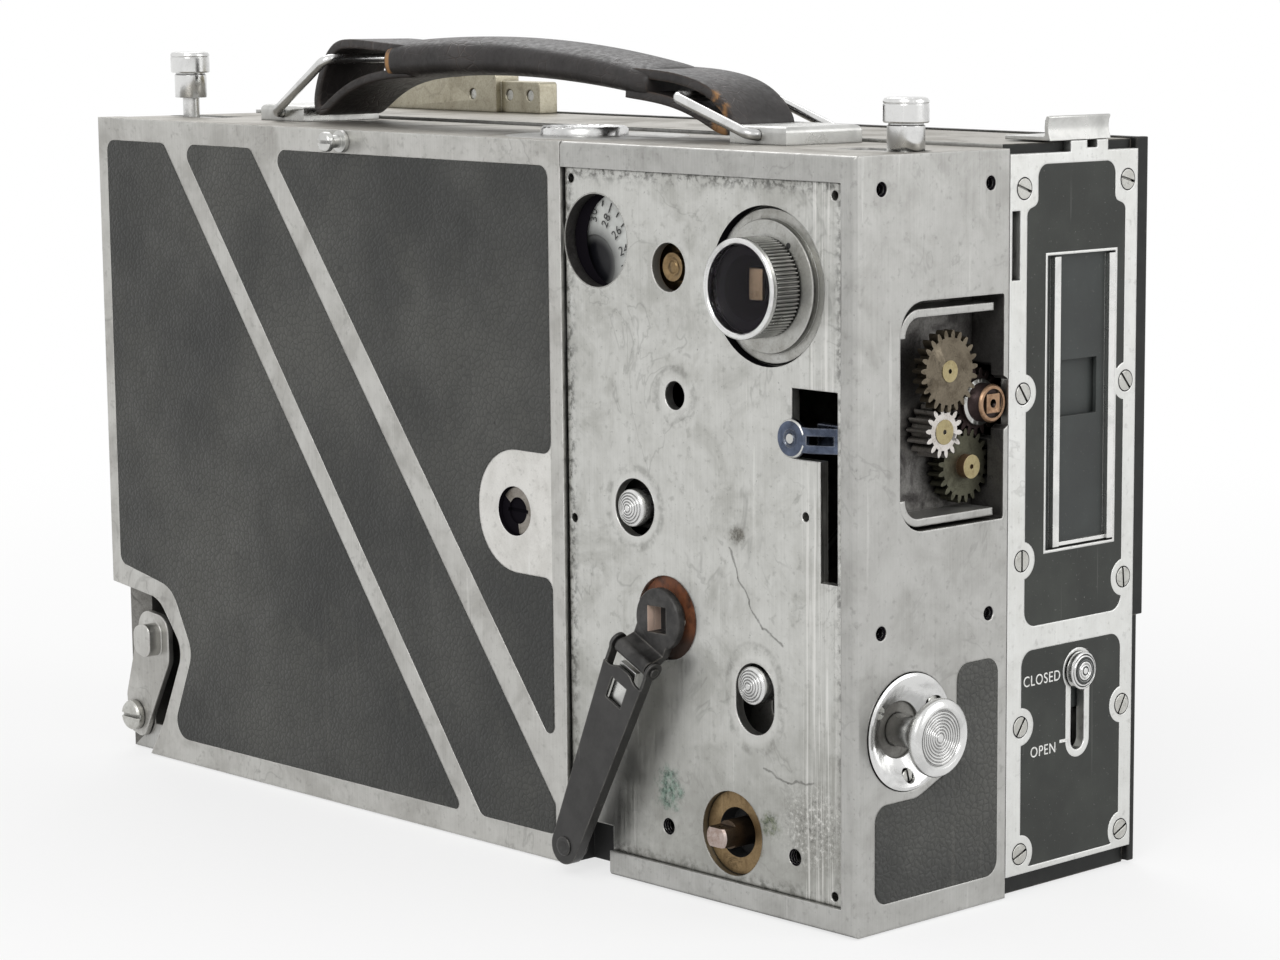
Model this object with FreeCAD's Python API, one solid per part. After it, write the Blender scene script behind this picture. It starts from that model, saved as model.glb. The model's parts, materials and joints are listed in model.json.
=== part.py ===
"""Spring-driven 16 mm movie camera with a detachable film magazine.

Millimetres. +Z is up, -Y is the lens side, -X is the crank side.
The origin is the mouth of the tripod bush, in the middle of the motor body's base.
"""

import FreeCAD
import Part

import math
import os

os.makedirs("parts", exist_ok=True)

V = FreeCAD.Vector
X_AXIS = V(1, 0, 0)
Y_AXIS = V(0, 1, 0)
Z_AXIS = V(0, 0, 1)

# Body envelope
MOTOR_WIDTH = 40.0
MAGAZINE_WIDTH = 40.0
BODY_HEIGHT = 140.0
BODY_FRONT = -116.0
BODY_REAR = 113.0
COVER_LIP = 3.0
SIDE = -MOTOR_WIDTH / 2
SEAM = MOTOR_WIDTH / 2
SEAM_GAP = 0.2
EDGE_RADIUS = 0.9

# Clearances
RUNNING_GAP = 0.06
FIT_GAP = 0.05
LOOSE_GAP = 0.3
SEAT_GAP = 0.02

# Motor housing walls
FLOOR = 6.0
BAY_FLOOR = 11.0
ROOF = 6.0
FRONT_WALL = 10.0
REAR_WALL = 8.0
INNER_WALL = 4.0
LEDGE = 3.0

# Mechanism plate, recessed in the crank side
PLATE_THICKNESS = 2.0
PLATE_RECESS = 1.0
PLATE_FRONT = -112.3
PLATE_REAR = -38.3
PLATE_LOW = 4.8
PLATE_HIGH = 135.2
PLATE_FACE = SIDE + PLATE_RECESS
PLATE_BACK = PLATE_FACE + PLATE_THICKNESS
PLATE_HOLE_RADIUS = 0.9
TAPPED_HOLE_RADIUS = 1.6
SIGHT_HOLE_RADIUS = 2.7

# Side cover and its leather
COVER_THICKNESS = 2.8
COVER_FRONT = -37.8
COVER_BACK = SIDE + COVER_THICKNESS
LEATHER_DEPTH = 0.9
LEATHER_PROUD = 0.15
LEATHER_FRONT = -34.2
LEATHER_REAR = 112.2
LEATHER_LOW = 5.2
LEATHER_HIGH = BODY_HEIGHT - 4.8
LEATHER_CORNER = 2.4
LUG_Y = -23.2
LUG_Z = 67.9
LUG_HALF_HEIGHT = 12.1
LUG_LEFT = -12.4
LUG_HOLE_RADIUS = 4.85

# Crank, given along its arm
HUB_Y = -65.6
HUB_Z = 52.1
CRANK_ANGLE = 25.5
CRANK_HOLE_RADIUS = 8.0
CRANK_BORE = 4.0
HEAD_RADIUS = 5.9
HEAD_FACE = -21.6
HEAD_BACK = -19.9
SQUARE_SIZE = 5.0
SOCKET_BOTTOM = -18.2
HINGE_REACH = 7.9
HINGE_X = -23.95
HINGE_PIN_RADIUS = 0.9
KNUCKLE_RADIUS = 1.5
KNUCKLE_HALF = 4.4
ARM_REACH = 51.5
ARM_FACE = -25.9
ARM_SHEET = 0.6
ARM_DEPTH = 2.3
ARM_HALF_TOP = 5.6
ARM_HALF_END = 3.6
ARM_WEB_START = 11.8
ARM_WEB_CROWN = 1.1
WINDOW_SIZE = 4.5
KNOB_END = -21.5
CRANK_KNOB_RADIUS = 2.7
SPINDLE_RADIUS = 1.2

# Hand shaft
HAND_Y = -83.0
HAND_Z = 13.7
HAND_HOLE_RADIUS = 8.0
HAND_SHAFT_RADIUS = 2.7
HAND_SHAFT_TIP = -23.25
HAND_RECESS_RADIUS = 4.7

# Eyepiece
EYE_Y = -92.7
EYE_Z = BODY_HEIGHT - 24.1
EYE_HOLE_RADIUS = 14.5
EYE_FLANGE_RADIUS = 14.1
EYE_RING_RADIUS = 9.1
EYE_RING_FACE = -26.3
EYE_RING_BACK = -19.6
EYE_SLEEVE_RADIUS = 7.0
EYE_LENS_RADIUS = 7.95
EYE_LENS_BACK = -23.5
EYE_BORE = 5.8
KNURL_COUNT = 64
KNURL_DEPTH = 0.4

# Speed dial and its adjuster
DIAL_Y = -42.5
DIAL_Z = BODY_HEIGHT - 23.2
DIAL_WINDOW_Y = -46.7
DIAL_WINDOW_Z = BODY_HEIGHT - 18.3
DIAL_WINDOW_RADIUS = 9.0
DIAL_RADIUS = 15.6
DIAL_HUB_RADIUS = 5.6
DIAL_FACE = -16.0
DIAL_THICKNESS = 1.2
ADJUSTER_HOLE_RADIUS = 4.55
ADJUSTER_RADIUS = 2.65
ADJUSTER_FACE = -18.0
ADJUSTER_ANGLE = 177.6
DIAL_GEAR_TEETH = 47
ADJUSTER_GEAR_TEETH = 34

# Buttons
BUTTON_RADIUS = 3.55
BUTTON_STEM = 2.0
RELEASE_Y = -56.9
RELEASE_Z = 72.1
RELEASE_HOLE_RADIUS = 5.5
RELEASE_FACE = -21.0
RELEASE_TRAVEL = 2.0
SLIDE_Y = -89.2
SLIDE_Z = 42.6
SLIDE_FACE = -20.9
SLIDE_TRAVEL = 5.2
SLIDE_HALF_WIDTH = 5.1
SLIDE_SLOT_LOW = 33.3
SLIDE_SLOT_HIGH = 46.7
BRIDGE_FACE = -12.5
BRIDGE_THICKNESS = 2.0

# Shutter lever
LEVER_Y = -100.5
LEVER_Z = 89.35
LEVER_HEAD_RADIUS = 3.5
LEVER_SHEET = 1.1
LEVER_HALF_HEIGHT = 2.3
LEVER_FACE = -20.9
LEVER_SLOT_REAR = -99.0
LEVER_SLOT_MID = -106.2
LEVER_SLOT_FRONT = -110.6
LEVER_SLOT_HIGH = 98.2
LEVER_SLOT_STEP = 85.5
LEVER_SLOT_LOW = 63.6

# Front face
FRONT_HOLE_X = 0.75
FRONT_HOLE_Z = BODY_HEIGHT - 45.5
FRONT_HOLE_SPAN_X = 28.5
FRONT_HOLE_SPAN_Z = 79.0
FRONT_HOLE_RADIUS = 1.35
FRONT_HOLE_DEPTH = 8.0
RECESS_LEFT = -8.7
RECESS_RIGHT = 18.8
RECESS_HIGH = BODY_HEIGHT - 26.2
RECESS_LOW = RECESS_HIGH - 41.5
RECESS_CORNER = 6.0
RUN_X = -6.1
RUN_Z = 36.0
DISH_RADIUS = 10.8
DISH_DEPTH = 3.2
DISH_BORE = 5.3
DISH_SCREW_CIRCLE = 8.3
DISH_SCREW_ANGLES = (272.0, 32.0, 148.0)
RUN_KNOB_RADIUS = 7.2
RUN_KNOB_FACE = -124.3
RUN_KNOB_STEM = 3.0
RUN_TRAVEL = 3.0

# Front gear train
FRONT_MODULE = 0.6
TEETH_A = 23
TEETH_B = 14
TEETH_C = 21
TEETH_D = 19
GEAR_A_X = 5.8
GEAR_A_Z = BODY_HEIGHT - 39.6
ANGLE_AB = -92.0
ANGLE_BC = -42.5
ANGLE_CD = 74.0
GEAR_A_FACE = -114.5
GEAR_B_FACE = -113.6
GEAR_C_FACE = -111.4
GEAR_A_WIDTH = 2.2
GEAR_B_WIDTH = 5.0
GEAR_C_WIDTH = 2.8
GEAR_SHAFT_RADIUS = 1.2
GEAR_SHAFT_END = -103.0
BACKLASH = 0.09
GEAR_BRIDGE_FACE = -108.0
GOVERNOR_LENGTH = 20.0
GOVERNOR_RADIUS = 6.0
COUPLING_OPENING = 5.5
COUPLING_RELIEF = 7.4
WHEEL_RELIEF = 7.3
LINER_FRONT = -115.0
LINER_THICKNESS = 1.4
LINER_CORNER = 5.0

# Winding train
WINDING_MODULE = 1.5
WINDING_PINION_TEETH = 15
TRANSFER_TEETH = 34
BARREL_TEETH = 60
WINDING_ANGLE = 10.7
WINDING_GEAR_X = -6.0
WINDING_GEAR_WIDTH = 4.0
BARREL_RADIUS = 42.0
BARREL_DEPTH = 18.0
BARREL_WALL = 1.6
ARBOR_RADIUS = 5.0
SPRING_TURNS = 9
SPRING_STRIP = 0.9

# Top
COUNTER_X = 1.2
COUNTER_Y = -24.7
COUNTER_CAP_RADIUS = 17.9
COUNTER_CAP_THICKNESS = 2.0
COUNTER_POCKET = 4.0
COUNTER_RING_Y = -20.9
COUNTER_RING_RADIUS = 8.6
COUNTER_RING_HEIGHT = 1.7
COUNTER_GLASS_RADIUS = 6.6
POST_Y = 109.0
POST_STEM = 1.8
POST_BARREL = 3.45
POST_BARREL_HEIGHT = 5.4
POST_HEAD = 4.2
POST_HEAD_HEIGHT = 4.6
POST_DEPTH = 14.0
POST_TRAVEL = 4.4
POST_GROOVE = 0.4
POST_SLOT_INNER = 94.5
POST_SLOT_OUTER = 112.7

# Handle
HANDLE_X = 8.0
HANDLE_PIVOT_RISE = 1.7
PLATE_HALF_WIDTH = 10.0
HANDLE_PLATE_OUTER = 80.5
HANDLE_PLATE_LENGTH = 15.0
HANDLE_PLATE_INNER = HANDLE_PLATE_OUTER - HANDLE_PLATE_LENGTH
HANDLE_PIVOT_Y = (HANDLE_PLATE_INNER + HANDLE_PLATE_OUTER) / 2
HANDLE_PLATE_RISE = 3.4
RING_HALF_WIDTH = 12.0
RING_LENGTH = 21.5
RING_WIRE = 1.0
RING_CORNER = 1.8
RING_ANGLE_FRONT = 18.0
RING_ANGLE_REAR = 33.0
GRIP_HALF_WIDTH = 9.0
STRAP_HALF_WIDTH = 7.9
GRIP_ROUND = 2.6

# Cover latch
LATCH_Y = 110.0
LATCH_Z = 7.6
LATCH_PLATE = 1.4
LATCH_HEAD_RADIUS = 3.3

# Tape hook
HOOK_Y = 28.6
HOOK_Z = BODY_HEIGHT - 2.3
HOOK_LENGTH = 5.0

# Tripod bush
TRIPOD_OUTER = 6.5
TRIPOD_BORE = 2.55
TRIPOD_DEPTH = 10.0
TRIPOD_BOSS = 10.0

# Crank notch in the base
NOTCH_FRONT = -50.0
NOTCH_DEPTH = 7.0
NOTCH_HEIGHT = 9.5

# Magazine
BRACKET_RISE = 8.7
CASE_LEFT = SEAM + SEAM_GAP
CASE_RIGHT = 56.3
CASE_TOP = BODY_HEIGHT + 0.7
CASE_WALL = 2.5
CASE_FRONT_WALL = 3.0
FACE_PLATE_THICKNESS = 2.0
FACE_PLATE_LOW = 3.8
FACE_PLATE_HIGH = BODY_HEIGHT - 1.1
PANEL_DEPTH = 0.8
GATE_LEFT = 30.7
GATE_RIGHT = 50.1
GATE_LOW = 64.8
GATE_HIGH = 120.0
GATE_SET_BACK = 1.1
RAIL_WIDTH = 1.7
RAIL_LEFT = 32.7
RAIL_RIGHT = 48.3
APERTURE_X = 40.4
APERTURE_Z = 94.8
APERTURE_WIDTH = 11.5
APERTURE_HEIGHT = 10.6
SLIDE_BLADE_WIDTH = 13.6
SLIDE_BLADE_THICKNESS = 0.6
SLIDE_BLADE_TOP = 102.0
SLIDE_BLADE_BOTTOM = 33.0
DARK_SLIDE_TRAVEL = 13.3
THUMB_Z = 40.8
THUMB_RADIUS = 3.55
THUMB_STEM = 1.8
THUMB_FACE = -118.0
THUMB_SEAT = 4.3
SCREW_RADIUS = 2.0
SCREW_LEFT_X = 24.1
SCREW_RIGHT_X = 53.4
SCREW_LEFT_Z = (FACE_PLATE_HIGH - 6.3, 94.9, 63.6, 32.1, 7.7)
SCREW_RIGHT_Z = (FACE_PLATE_HIGH - 5.7, 95.0, 57.1, 32.2, 7.4)
LID_THICKNESS = 3.5
LID_STEP_Z = 49.0
LID_STEP = 1.7
LID_TOP = BODY_HEIGHT + 1.0
LID_RIM = 2.5
SPOOL_RADIUS = 46.0
SPOOL_LEFT = 31.5
SPOOL_WIDTH = 19.0
SPOOL_FLANGE = 1.2
SPOOL_CORE = 16.0
SPOOL_BORE = 4.0
SUPPLY_Y = -38.0
TAKEUP_Y = 60.0
SPOOL_Z = 70.0
SPROCKET_Y = -97.0
SPROCKET_Z = 40.0
SPROCKET_RADIUS = 7.5
THUMB_LATCH_LEFT = 31.4
THUMB_LATCH_RIGHT = 48.6
THUMB_LATCH_TOP = BODY_HEIGHT + 5.6


def on_x(u, v, w=0.0):
    """Point of a side view: u along Y, v along Z, w along X."""
    return V(w, u, v)


def on_y(u, v, w=0.0):
    """Point of a front view: u along X, v along Z, w along Y."""
    return V(u, w, v)


def on_z(u, v, w=0.0):
    """Point of a top view: u along X, v along Y, w along Z."""
    return V(u, v, w)


VIEW_AXIS = {on_x: X_AXIS, on_y: Y_AXIS, on_z: Z_AXIS}


def block(x0, x1, y0, y1, z0, z1):
    """Box between two corners."""
    return Part.makeBox(x1 - x0, y1 - y0, z1 - z0, V(x0, y0, z0))


def rod(view, u, v, radius, w0, w1):
    """Cylinder square to a view, from w0 to w1."""
    return Part.makeCylinder(radius, w1 - w0, view(u, v, w0), VIEW_AXIS[view])


def tube(view, u, v, outer, inner, w0, w1):
    """Hollow cylinder square to a view."""
    return rod(view, u, v, outer, w0, w1).cut(rod(view, u, v, inner, w0 - 1, w1 + 1))


def turned(view, u, v, profile):
    """Solid of revolution from (radius, w) points, about an axis square to a view."""
    points = [view(u + r, v, w) for r, w in profile]
    face = Part.Face(Part.makePolygon(points + [points[0]]))
    return face.revolve(view(u, v, 0), VIEW_AXIS[view], 360)


def rounded_wire(view, points, radius, w):
    """Closed outline with every corner rounded by the radius, or by its own one."""
    radii = radius if isinstance(radius, (list, tuple)) else [radius] * len(points)
    edges = []
    last = None
    first = None
    count = len(points)
    for i in range(count):
        before = V(*points[i - 1], 0)
        corner = V(*points[i], 0)
        after = V(*points[(i + 1) % count], 0)
        way_in = (corner - before).normalize()
        way_out = (after - corner).normalize()
        turn = way_in.getAngle(way_out)
        if radii[i] > 0 and turn > 1e-3:
            trim = radii[i] * math.tan(turn / 2)
            start = corner - way_in * trim
            end = corner + way_out * trim
            inward = (way_out - way_in).normalize()
            middle = corner + inward * (radii[i] / math.cos(turn / 2) - radii[i])
            arc = (start, middle, end)
        else:
            arc = (corner, None, corner)
        if last is not None and (arc[0] - last).Length > 1e-6:
            edges.append(Part.makeLine(view(last.x, last.y, w), view(arc[0].x, arc[0].y, w)))
        if arc[1] is not None:
            edges.append(Part.Arc(*[view(p.x, p.y, w) for p in arc]).toShape())
        first = first or arc[0]
        last = arc[2]
    if (first - last).Length > 1e-6:
        edges.append(Part.makeLine(view(last.x, last.y, w), view(first.x, first.y, w)))
    return Part.Wire(edges)


def slab(view, points, w0, w1, radius=0.0):
    """Prism of a rounded outline, from w0 to w1."""
    face = Part.Face(rounded_wire(view, points, radius, w0))
    return face.extrude(VIEW_AXIS[view] * (w1 - w0))


def rect(u0, u1, v0, v1):
    """Corners of a rectangle."""
    return [(u0, v0), (u1, v0), (u1, v1), (u0, v1)]


def obround(view, u, v0, v1, half, w0, w1):
    """Upright slot with round ends."""
    return slab(view, rect(u - half, u + half, v0, v1), w0, w1, half * 0.999)


def fuse(first, *others):
    """One solid of several that touch."""
    shape = first
    for other in others:
        shape = shape.fuse(other)
    return shape.removeSplitter()


def cut(first, *others):
    """A solid less several others."""
    return first.cut(Part.makeCompound(list(others)))


def group(*solids):
    """Several separate solids as one node."""
    return Part.makeCompound(list(solids))


def fillet(shape, radius, test):
    """Round the straight edges whose ends pass the test."""
    edges = [e for e in shape.Edges if all(test(v.Point) for v in e.Vertexes)]
    return shape.makeFillet(radius, edges) if edges else shape


def near(value, target):
    """Whether a coordinate lies on a plane."""
    return abs(value - target) < 1e-4


# Gears

def involute_point(base_radius, radius):
    """Roll angle and polar angle of the involute at a radius."""
    if radius <= base_radius:
        return 0.0
    alpha = math.acos(base_radius / radius)
    return math.tan(alpha) - alpha


def gear(view, u, v, teeth, module, w0, w1, bore, phase=0.0):
    """Spur gear with involute flanks; phase is the angle of one tooth, in degrees."""
    teeth = int(round(teeth))
    pitch = module * teeth / 2
    base = pitch * math.cos(math.radians(20))
    tip = pitch + module
    root = pitch - 1.25 * module
    half = (math.pi * module / 2 - BACKLASH) / 2 / pitch + involute_point(base, pitch)
    start = max(root, base)
    radii = (start, (start + tip) / 2, tip)
    step = 2 * math.pi / teeth

    def polar(radius, angle):
        return view(u + radius * math.cos(angle), v + radius * math.sin(angle), w0)

    edges = []
    for k in range(teeth):
        centre = math.radians(phase) + k * step
        rise = [polar(r, centre - half + involute_point(base, r)) for r in radii]
        fall = [polar(r, centre + half - involute_point(base, r)) for r in reversed(radii)]
        foot_in = polar(root, centre - half)
        foot_out = polar(root, centre + half)
        next_foot = polar(root, centre + step - half)
        if root < base:
            edges.append(Part.makeLine(foot_in, rise[0]))
        edges.append(Part.Arc(*rise).toShape())
        edges.append(Part.makeLine(rise[-1], fall[0]))
        edges.append(Part.Arc(*fall).toShape())
        if root < base:
            edges.append(Part.makeLine(fall[-1], foot_out))
            edges.append(Part.makeLine(foot_out, next_foot))
        else:
            last = polar(start, centre + step - half + involute_point(base, start))
            edges.append(Part.makeLine(fall[-1], last))
    blank = Part.Face(Part.Wire(edges)).extrude(VIEW_AXIS[view] * (w1 - w0))
    return blank.cut(rod(view, u, v, bore, w0 - 1, w1 + 1)) if bore else blank


def mesh_distance(module, teeth_a, teeth_b):
    """Centre distance of two gears, with a hair of clearance."""
    return module * (teeth_a + teeth_b) / 2 + SEAT_GAP


def meshed_phase(phase, teeth, angle, other_teeth):
    """Tooth angle of a second gear that meshes with the first, in degrees."""
    share = ((angle - phase) * teeth / 360.0) % 1.0
    return angle + 180.0 - (0.5 - share) * 360.0 / other_teeth


def placed(u, v, distance, angle):
    """Point at a distance and angle from another in a view."""
    turn = math.radians(angle)
    return u + distance * math.cos(turn), v + distance * math.sin(turn)


DISTANCE_AB = mesh_distance(FRONT_MODULE, TEETH_A, TEETH_B)
DISTANCE_BC = mesh_distance(FRONT_MODULE, TEETH_B, TEETH_C)
DISTANCE_CD = mesh_distance(FRONT_MODULE, TEETH_C, TEETH_D)
GEAR_B_X, GEAR_B_Z = placed(GEAR_A_X, GEAR_A_Z, DISTANCE_AB, ANGLE_AB)
GEAR_C_X, GEAR_C_Z = placed(GEAR_B_X, GEAR_B_Z, DISTANCE_BC, ANGLE_BC)
GEAR_D_X, GEAR_D_Z = placed(GEAR_C_X, GEAR_C_Z, DISTANCE_CD, ANGLE_CD)

TRANSFER_Y, TRANSFER_Z = placed(
    HUB_Y, HUB_Z, mesh_distance(WINDING_MODULE, WINDING_PINION_TEETH, TRANSFER_TEETH), WINDING_ANGLE
)
BARREL_Y, BARREL_Z = placed(
    TRANSFER_Y, TRANSFER_Z, mesh_distance(WINDING_MODULE, TRANSFER_TEETH, BARREL_TEETH), WINDING_ANGLE
)
WINDING_GEAR_END = WINDING_GEAR_X + WINDING_GEAR_WIDTH
INNER_FACE = SEAM - INNER_WALL
ADJUSTER_Y, ADJUSTER_Z = placed(
    DIAL_Y, DIAL_Z, mesh_distance(FRONT_MODULE, DIAL_GEAR_TEETH, ADJUSTER_GEAR_TEETH), ADJUSTER_ANGLE
)
BRIDGE_BACK = BRIDGE_FACE + BRIDGE_THICKNESS
BRIDGE_PILLARS = ((-97.0, 50.0), (-97.0, 30.0), (-50.0, 80.0), (-74.0, 80.0))


# Housing

def front_leather_outline():
    """L-shaped panel of the front face, stepped round the run knob's dish."""
    return [(6.5, 46.5), (17.7, 46.5), (17.7, 5.1), (-15.0, 5.1), (-15.0, 23.4), (-4.0, 23.4), (6.5, 28.0)]


FRONT_LEATHER_RADII = [3.0, 3.0, 3.0, 3.0, 3.0, 5.0, 5.0]


def recess(back):
    """Gear recess of the front face, with relief for the wheels that come near the seam."""
    front = BODY_FRONT - 1
    outline = rect(RECESS_LEFT, RECESS_RIGHT, RECESS_LOW, RECESS_HIGH)
    return fuse(
        slab(on_y, outline, front, back, [RECESS_CORNER, 0.5, 0.5, RECESS_CORNER]),
        rod(on_y, GEAR_D_X, GEAR_D_Z, COUPLING_OPENING, front, back),
        rod(on_y, GEAR_D_X, GEAR_D_Z, COUPLING_RELIEF, GEAR_C_FACE - 1.4, back),
        rod(on_y, GEAR_C_X, GEAR_C_Z, WHEEL_RELIEF, GEAR_C_FACE - 0.6, back),
    )


def motor_housing():
    """Cast box that carries the motor: open on the crank side, with a recessed front gear bay."""
    shell = block(SIDE, SEAM, BODY_FRONT, BODY_REAR, 0, BODY_HEIGHT)
    shell = fillet(shell, EDGE_RADIUS, lambda p: near(p.x, SIDE))
    bay_front = BODY_FRONT + FRONT_WALL
    bay_rear = BODY_REAR - REAR_WALL
    ceiling = BODY_HEIGHT - ROOF
    bay_split = PLATE_REAR - LEDGE
    deep = INNER_FACE
    cuts = [
        block(SIDE - 1, PLATE_BACK, PLATE_FRONT, PLATE_REAR + 0.5, PLATE_LOW, PLATE_HIGH),
        block(SIDE - 1, COVER_BACK, COVER_FRONT - 0.2, BODY_REAR + 1, -1, BODY_HEIGHT + 1),
        block(PLATE_BACK - 1, deep, bay_front, bay_split, BAY_FLOOR, ceiling - 2),
        block(COVER_BACK - 1, deep, COVER_FRONT + 0.5, bay_rear, FLOOR, ceiling),
        block(PLATE_BACK + 4, deep, bay_split - 1, COVER_FRONT + 1, BAY_FLOOR, ceiling - 2),
        rod(on_x, EYE_Y, EYE_Z, EYE_HOLE_RADIUS + 0.5, SIDE, BRIDGE_FACE),
        rod(on_x, HAND_Y, HAND_Z, HAND_HOLE_RADIUS + LOOSE_GAP, SIDE, BRIDGE_FACE + 11),
        rod(on_x, DIAL_Y, DIAL_Z, DIAL_RADIUS + 0.6, SIDE + 2, BRIDGE_FACE),
        block(SIDE, BRIDGE_FACE, PLATE_FRONT + 0.8, LEVER_SLOT_REAR, LEVER_SLOT_LOW - 3, LEVER_SLOT_HIGH + 3),
        block(SIDE - 1, SIDE + NOTCH_DEPTH, NOTCH_FRONT, COVER_FRONT + 0.2, -1, NOTCH_HEIGHT),
        recess(bay_front + 1),
        rod(on_y, RUN_X, RUN_Z, DISH_RADIUS + 0.2, BODY_FRONT - 1, BODY_FRONT + DISH_DEPTH + FIT_GAP),
        rod(on_y, RUN_X, RUN_Z, RUN_KNOB_STEM + RUNNING_GAP, BODY_FRONT, bay_front + 1),
        slab(on_y, front_leather_outline(), BODY_FRONT - 1, BODY_FRONT + LEATHER_DEPTH, FRONT_LEATHER_RADII),
        rod(on_y, GEAR_D_X, GEAR_D_Z, GEAR_SHAFT_RADIUS + RUNNING_GAP, bay_front - 1, GEAR_SHAFT_END + 0.3),
        rod(on_x, HUB_Y, HUB_Z, 3.0 + RUNNING_GAP, deep - 1, deep + 2.2),
        rod(on_x, BARREL_Y, BARREL_Z, ARBOR_RADIUS + SEAT_GAP, deep - 1, deep + 2.2),
        rod(on_x, TRANSFER_Y, TRANSFER_Z, 3.0 + SEAT_GAP, deep - 1, deep + 2.2),
        rod(on_x, HAND_Y, HAND_Z, 2.0 + RUNNING_GAP, deep - 1, deep + 2.2),
        rod(on_z, COUNTER_X, COUNTER_Y, COUNTER_CAP_RADIUS + 0.1, BODY_HEIGHT - COUNTER_POCKET, BODY_HEIGHT + 1),
        rod(on_z, COUNTER_X, COUNTER_RING_Y, 1.5 + RUNNING_GAP, ceiling - 1, BODY_HEIGHT),
        rod(on_z, 0, 0, TRIPOD_OUTER + SEAT_GAP, -1, TRIPOD_DEPTH),
    ]
    for side in (-1, 1):
        y = side * POST_Y
        cuts.append(rod(on_z, 0, y, POST_STEM + RUNNING_GAP, BODY_HEIGHT - POST_DEPTH - POST_TRAVEL - 1,
                        BODY_HEIGHT + 1))
        y0, y1 = sorted((side * POST_SLOT_INNER, side * POST_SLOT_OUTER))
        groove = rect(-POST_HEAD, POST_HEAD, y0, y1)
        cuts.append(slab(on_z, groove, BODY_HEIGHT - POST_GROOVE, BODY_HEIGHT + 1, 2.0))
    for u in (-1, 1):
        for v in (-1, 1):
            x = FRONT_HOLE_X + u * FRONT_HOLE_SPAN_X / 2
            z = FRONT_HOLE_Z + v * FRONT_HOLE_SPAN_Z / 2
            cuts.append(rod(on_y, x, z, FRONT_HOLE_RADIUS, BODY_FRONT - 1, BODY_FRONT + FRONT_HOLE_DEPTH))
    boss = rod(on_z, 0, 0, TRIPOD_BOSS, FLOOR - 1, TRIPOD_DEPTH + 2.0)
    boss = boss.cut(rod(on_z, 0, 0, TRIPOD_OUTER + SEAT_GAP, -1, TRIPOD_DEPTH))
    return fuse(cut(shell, *cuts), boss)


def tripod_bush():
    """Threaded insert in the base."""
    return tube(on_z, 0, 0, TRIPOD_OUTER, TRIPOD_BORE, 0, TRIPOD_DEPTH)


# Side cover

def latch_cutout():
    """Opening of the cover round the latch lever."""
    return [(125.0, 38.5), (98.0, 35.5), (89.5, 25.0), (97.5, 8.0), (105.5, -4.0), (125.0, -4.0)]


LATCH_CUTOUT_RADII = [0, 7.0, 6.0, 6.0, 0, 0]


def cover_leather_outlines():
    """The three leather zones, between the frame and the two diagonal bars."""
    rear = [(LEATHER_REAR, LEATHER_HIGH), (91.1, LEATHER_HIGH), (-5.7, LEATHER_LOW), (94.5, LEATHER_LOW),
            (86.0, 25.0), (93.0, 38.5), (LEATHER_REAR, 42.0)]
    rear_radii = [LEATHER_CORNER, LEATHER_CORNER, 1.2, 4.0, 6.0, 8.0, LEATHER_CORNER]
    middle = [(84.9, LEATHER_HIGH), (60.0, LEATHER_HIGH), (LEATHER_FRONT, 11.3), (LEATHER_FRONT, LEATHER_LOW),
              (-11.7, LEATHER_LOW)]
    lug_low = LUG_Z - LUG_HALF_HEIGHT
    lug_high = LUG_Z + LUG_HALF_HEIGHT
    front = [(53.1, LEATHER_HIGH), (LEATHER_FRONT, LEATHER_HIGH), (LEATHER_FRONT, lug_high), (LUG_LEFT, lug_high),
             (LUG_LEFT, lug_low), (LEATHER_FRONT, lug_low), (LEATHER_FRONT, 22.3)]
    return [
        (rear, rear_radii),
        (middle, [LEATHER_CORNER, LEATHER_CORNER, 1.5, 1.5, LEATHER_CORNER]),
        (front, [LEATHER_CORNER, LEATHER_CORNER, LEATHER_CORNER, 11.5, 11.5, LEATHER_CORNER, 1.5]),
    ]


def side_cover():
    """Removable cover over the spring bay: frame, two diagonal bars and a return lip at the rear."""
    plate = block(SIDE, COVER_BACK, COVER_FRONT, BODY_REAR + COVER_LIP, 0, BODY_HEIGHT)
    lip = block(SIDE, SIDE + 2 * COVER_LIP, BODY_REAR + FIT_GAP, BODY_REAR + COVER_LIP, 0, BODY_HEIGHT)
    cover = fuse(plate, lip)
    cover = fillet(cover, EDGE_RADIUS, lambda p: near(p.x, SIDE) and not near(p.y, COVER_FRONT))
    cuts = [
        slab(on_x, latch_cutout(), SIDE - 1, SIDE + 3 * COVER_LIP, LATCH_CUTOUT_RADII),
        rod(on_x, LUG_Y, LUG_Z, LUG_HOLE_RADIUS, SIDE - 1, COVER_BACK + 1),
        rod(on_x, HOOK_Y, HOOK_Z, 1.2 + SEAT_GAP, SIDE - 1, COVER_BACK + 1),
    ]
    for outline, radii in cover_leather_outlines():
        cuts.append(slab(on_x, outline, SIDE - 1, SIDE + LEATHER_DEPTH, radii))
    return cut(cover, *cuts)


def leather_panels():
    """Leather panels let into the cover and the front face."""
    dish_room = rod(on_y, RUN_X, RUN_Z, DISH_RADIUS + 0.6, BODY_FRONT - 1, BODY_FRONT + 2)
    panels = [
        slab(on_y, front_leather_outline(), BODY_FRONT - LEATHER_PROUD, BODY_FRONT + LEATHER_DEPTH,
             FRONT_LEATHER_RADII).cut(dish_room)
    ]
    for outline, radii in cover_leather_outlines():
        panels.append(slab(on_x, outline, SIDE - LEATHER_PROUD, SIDE + LEATHER_DEPTH, radii))
    return group(*panels)


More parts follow.
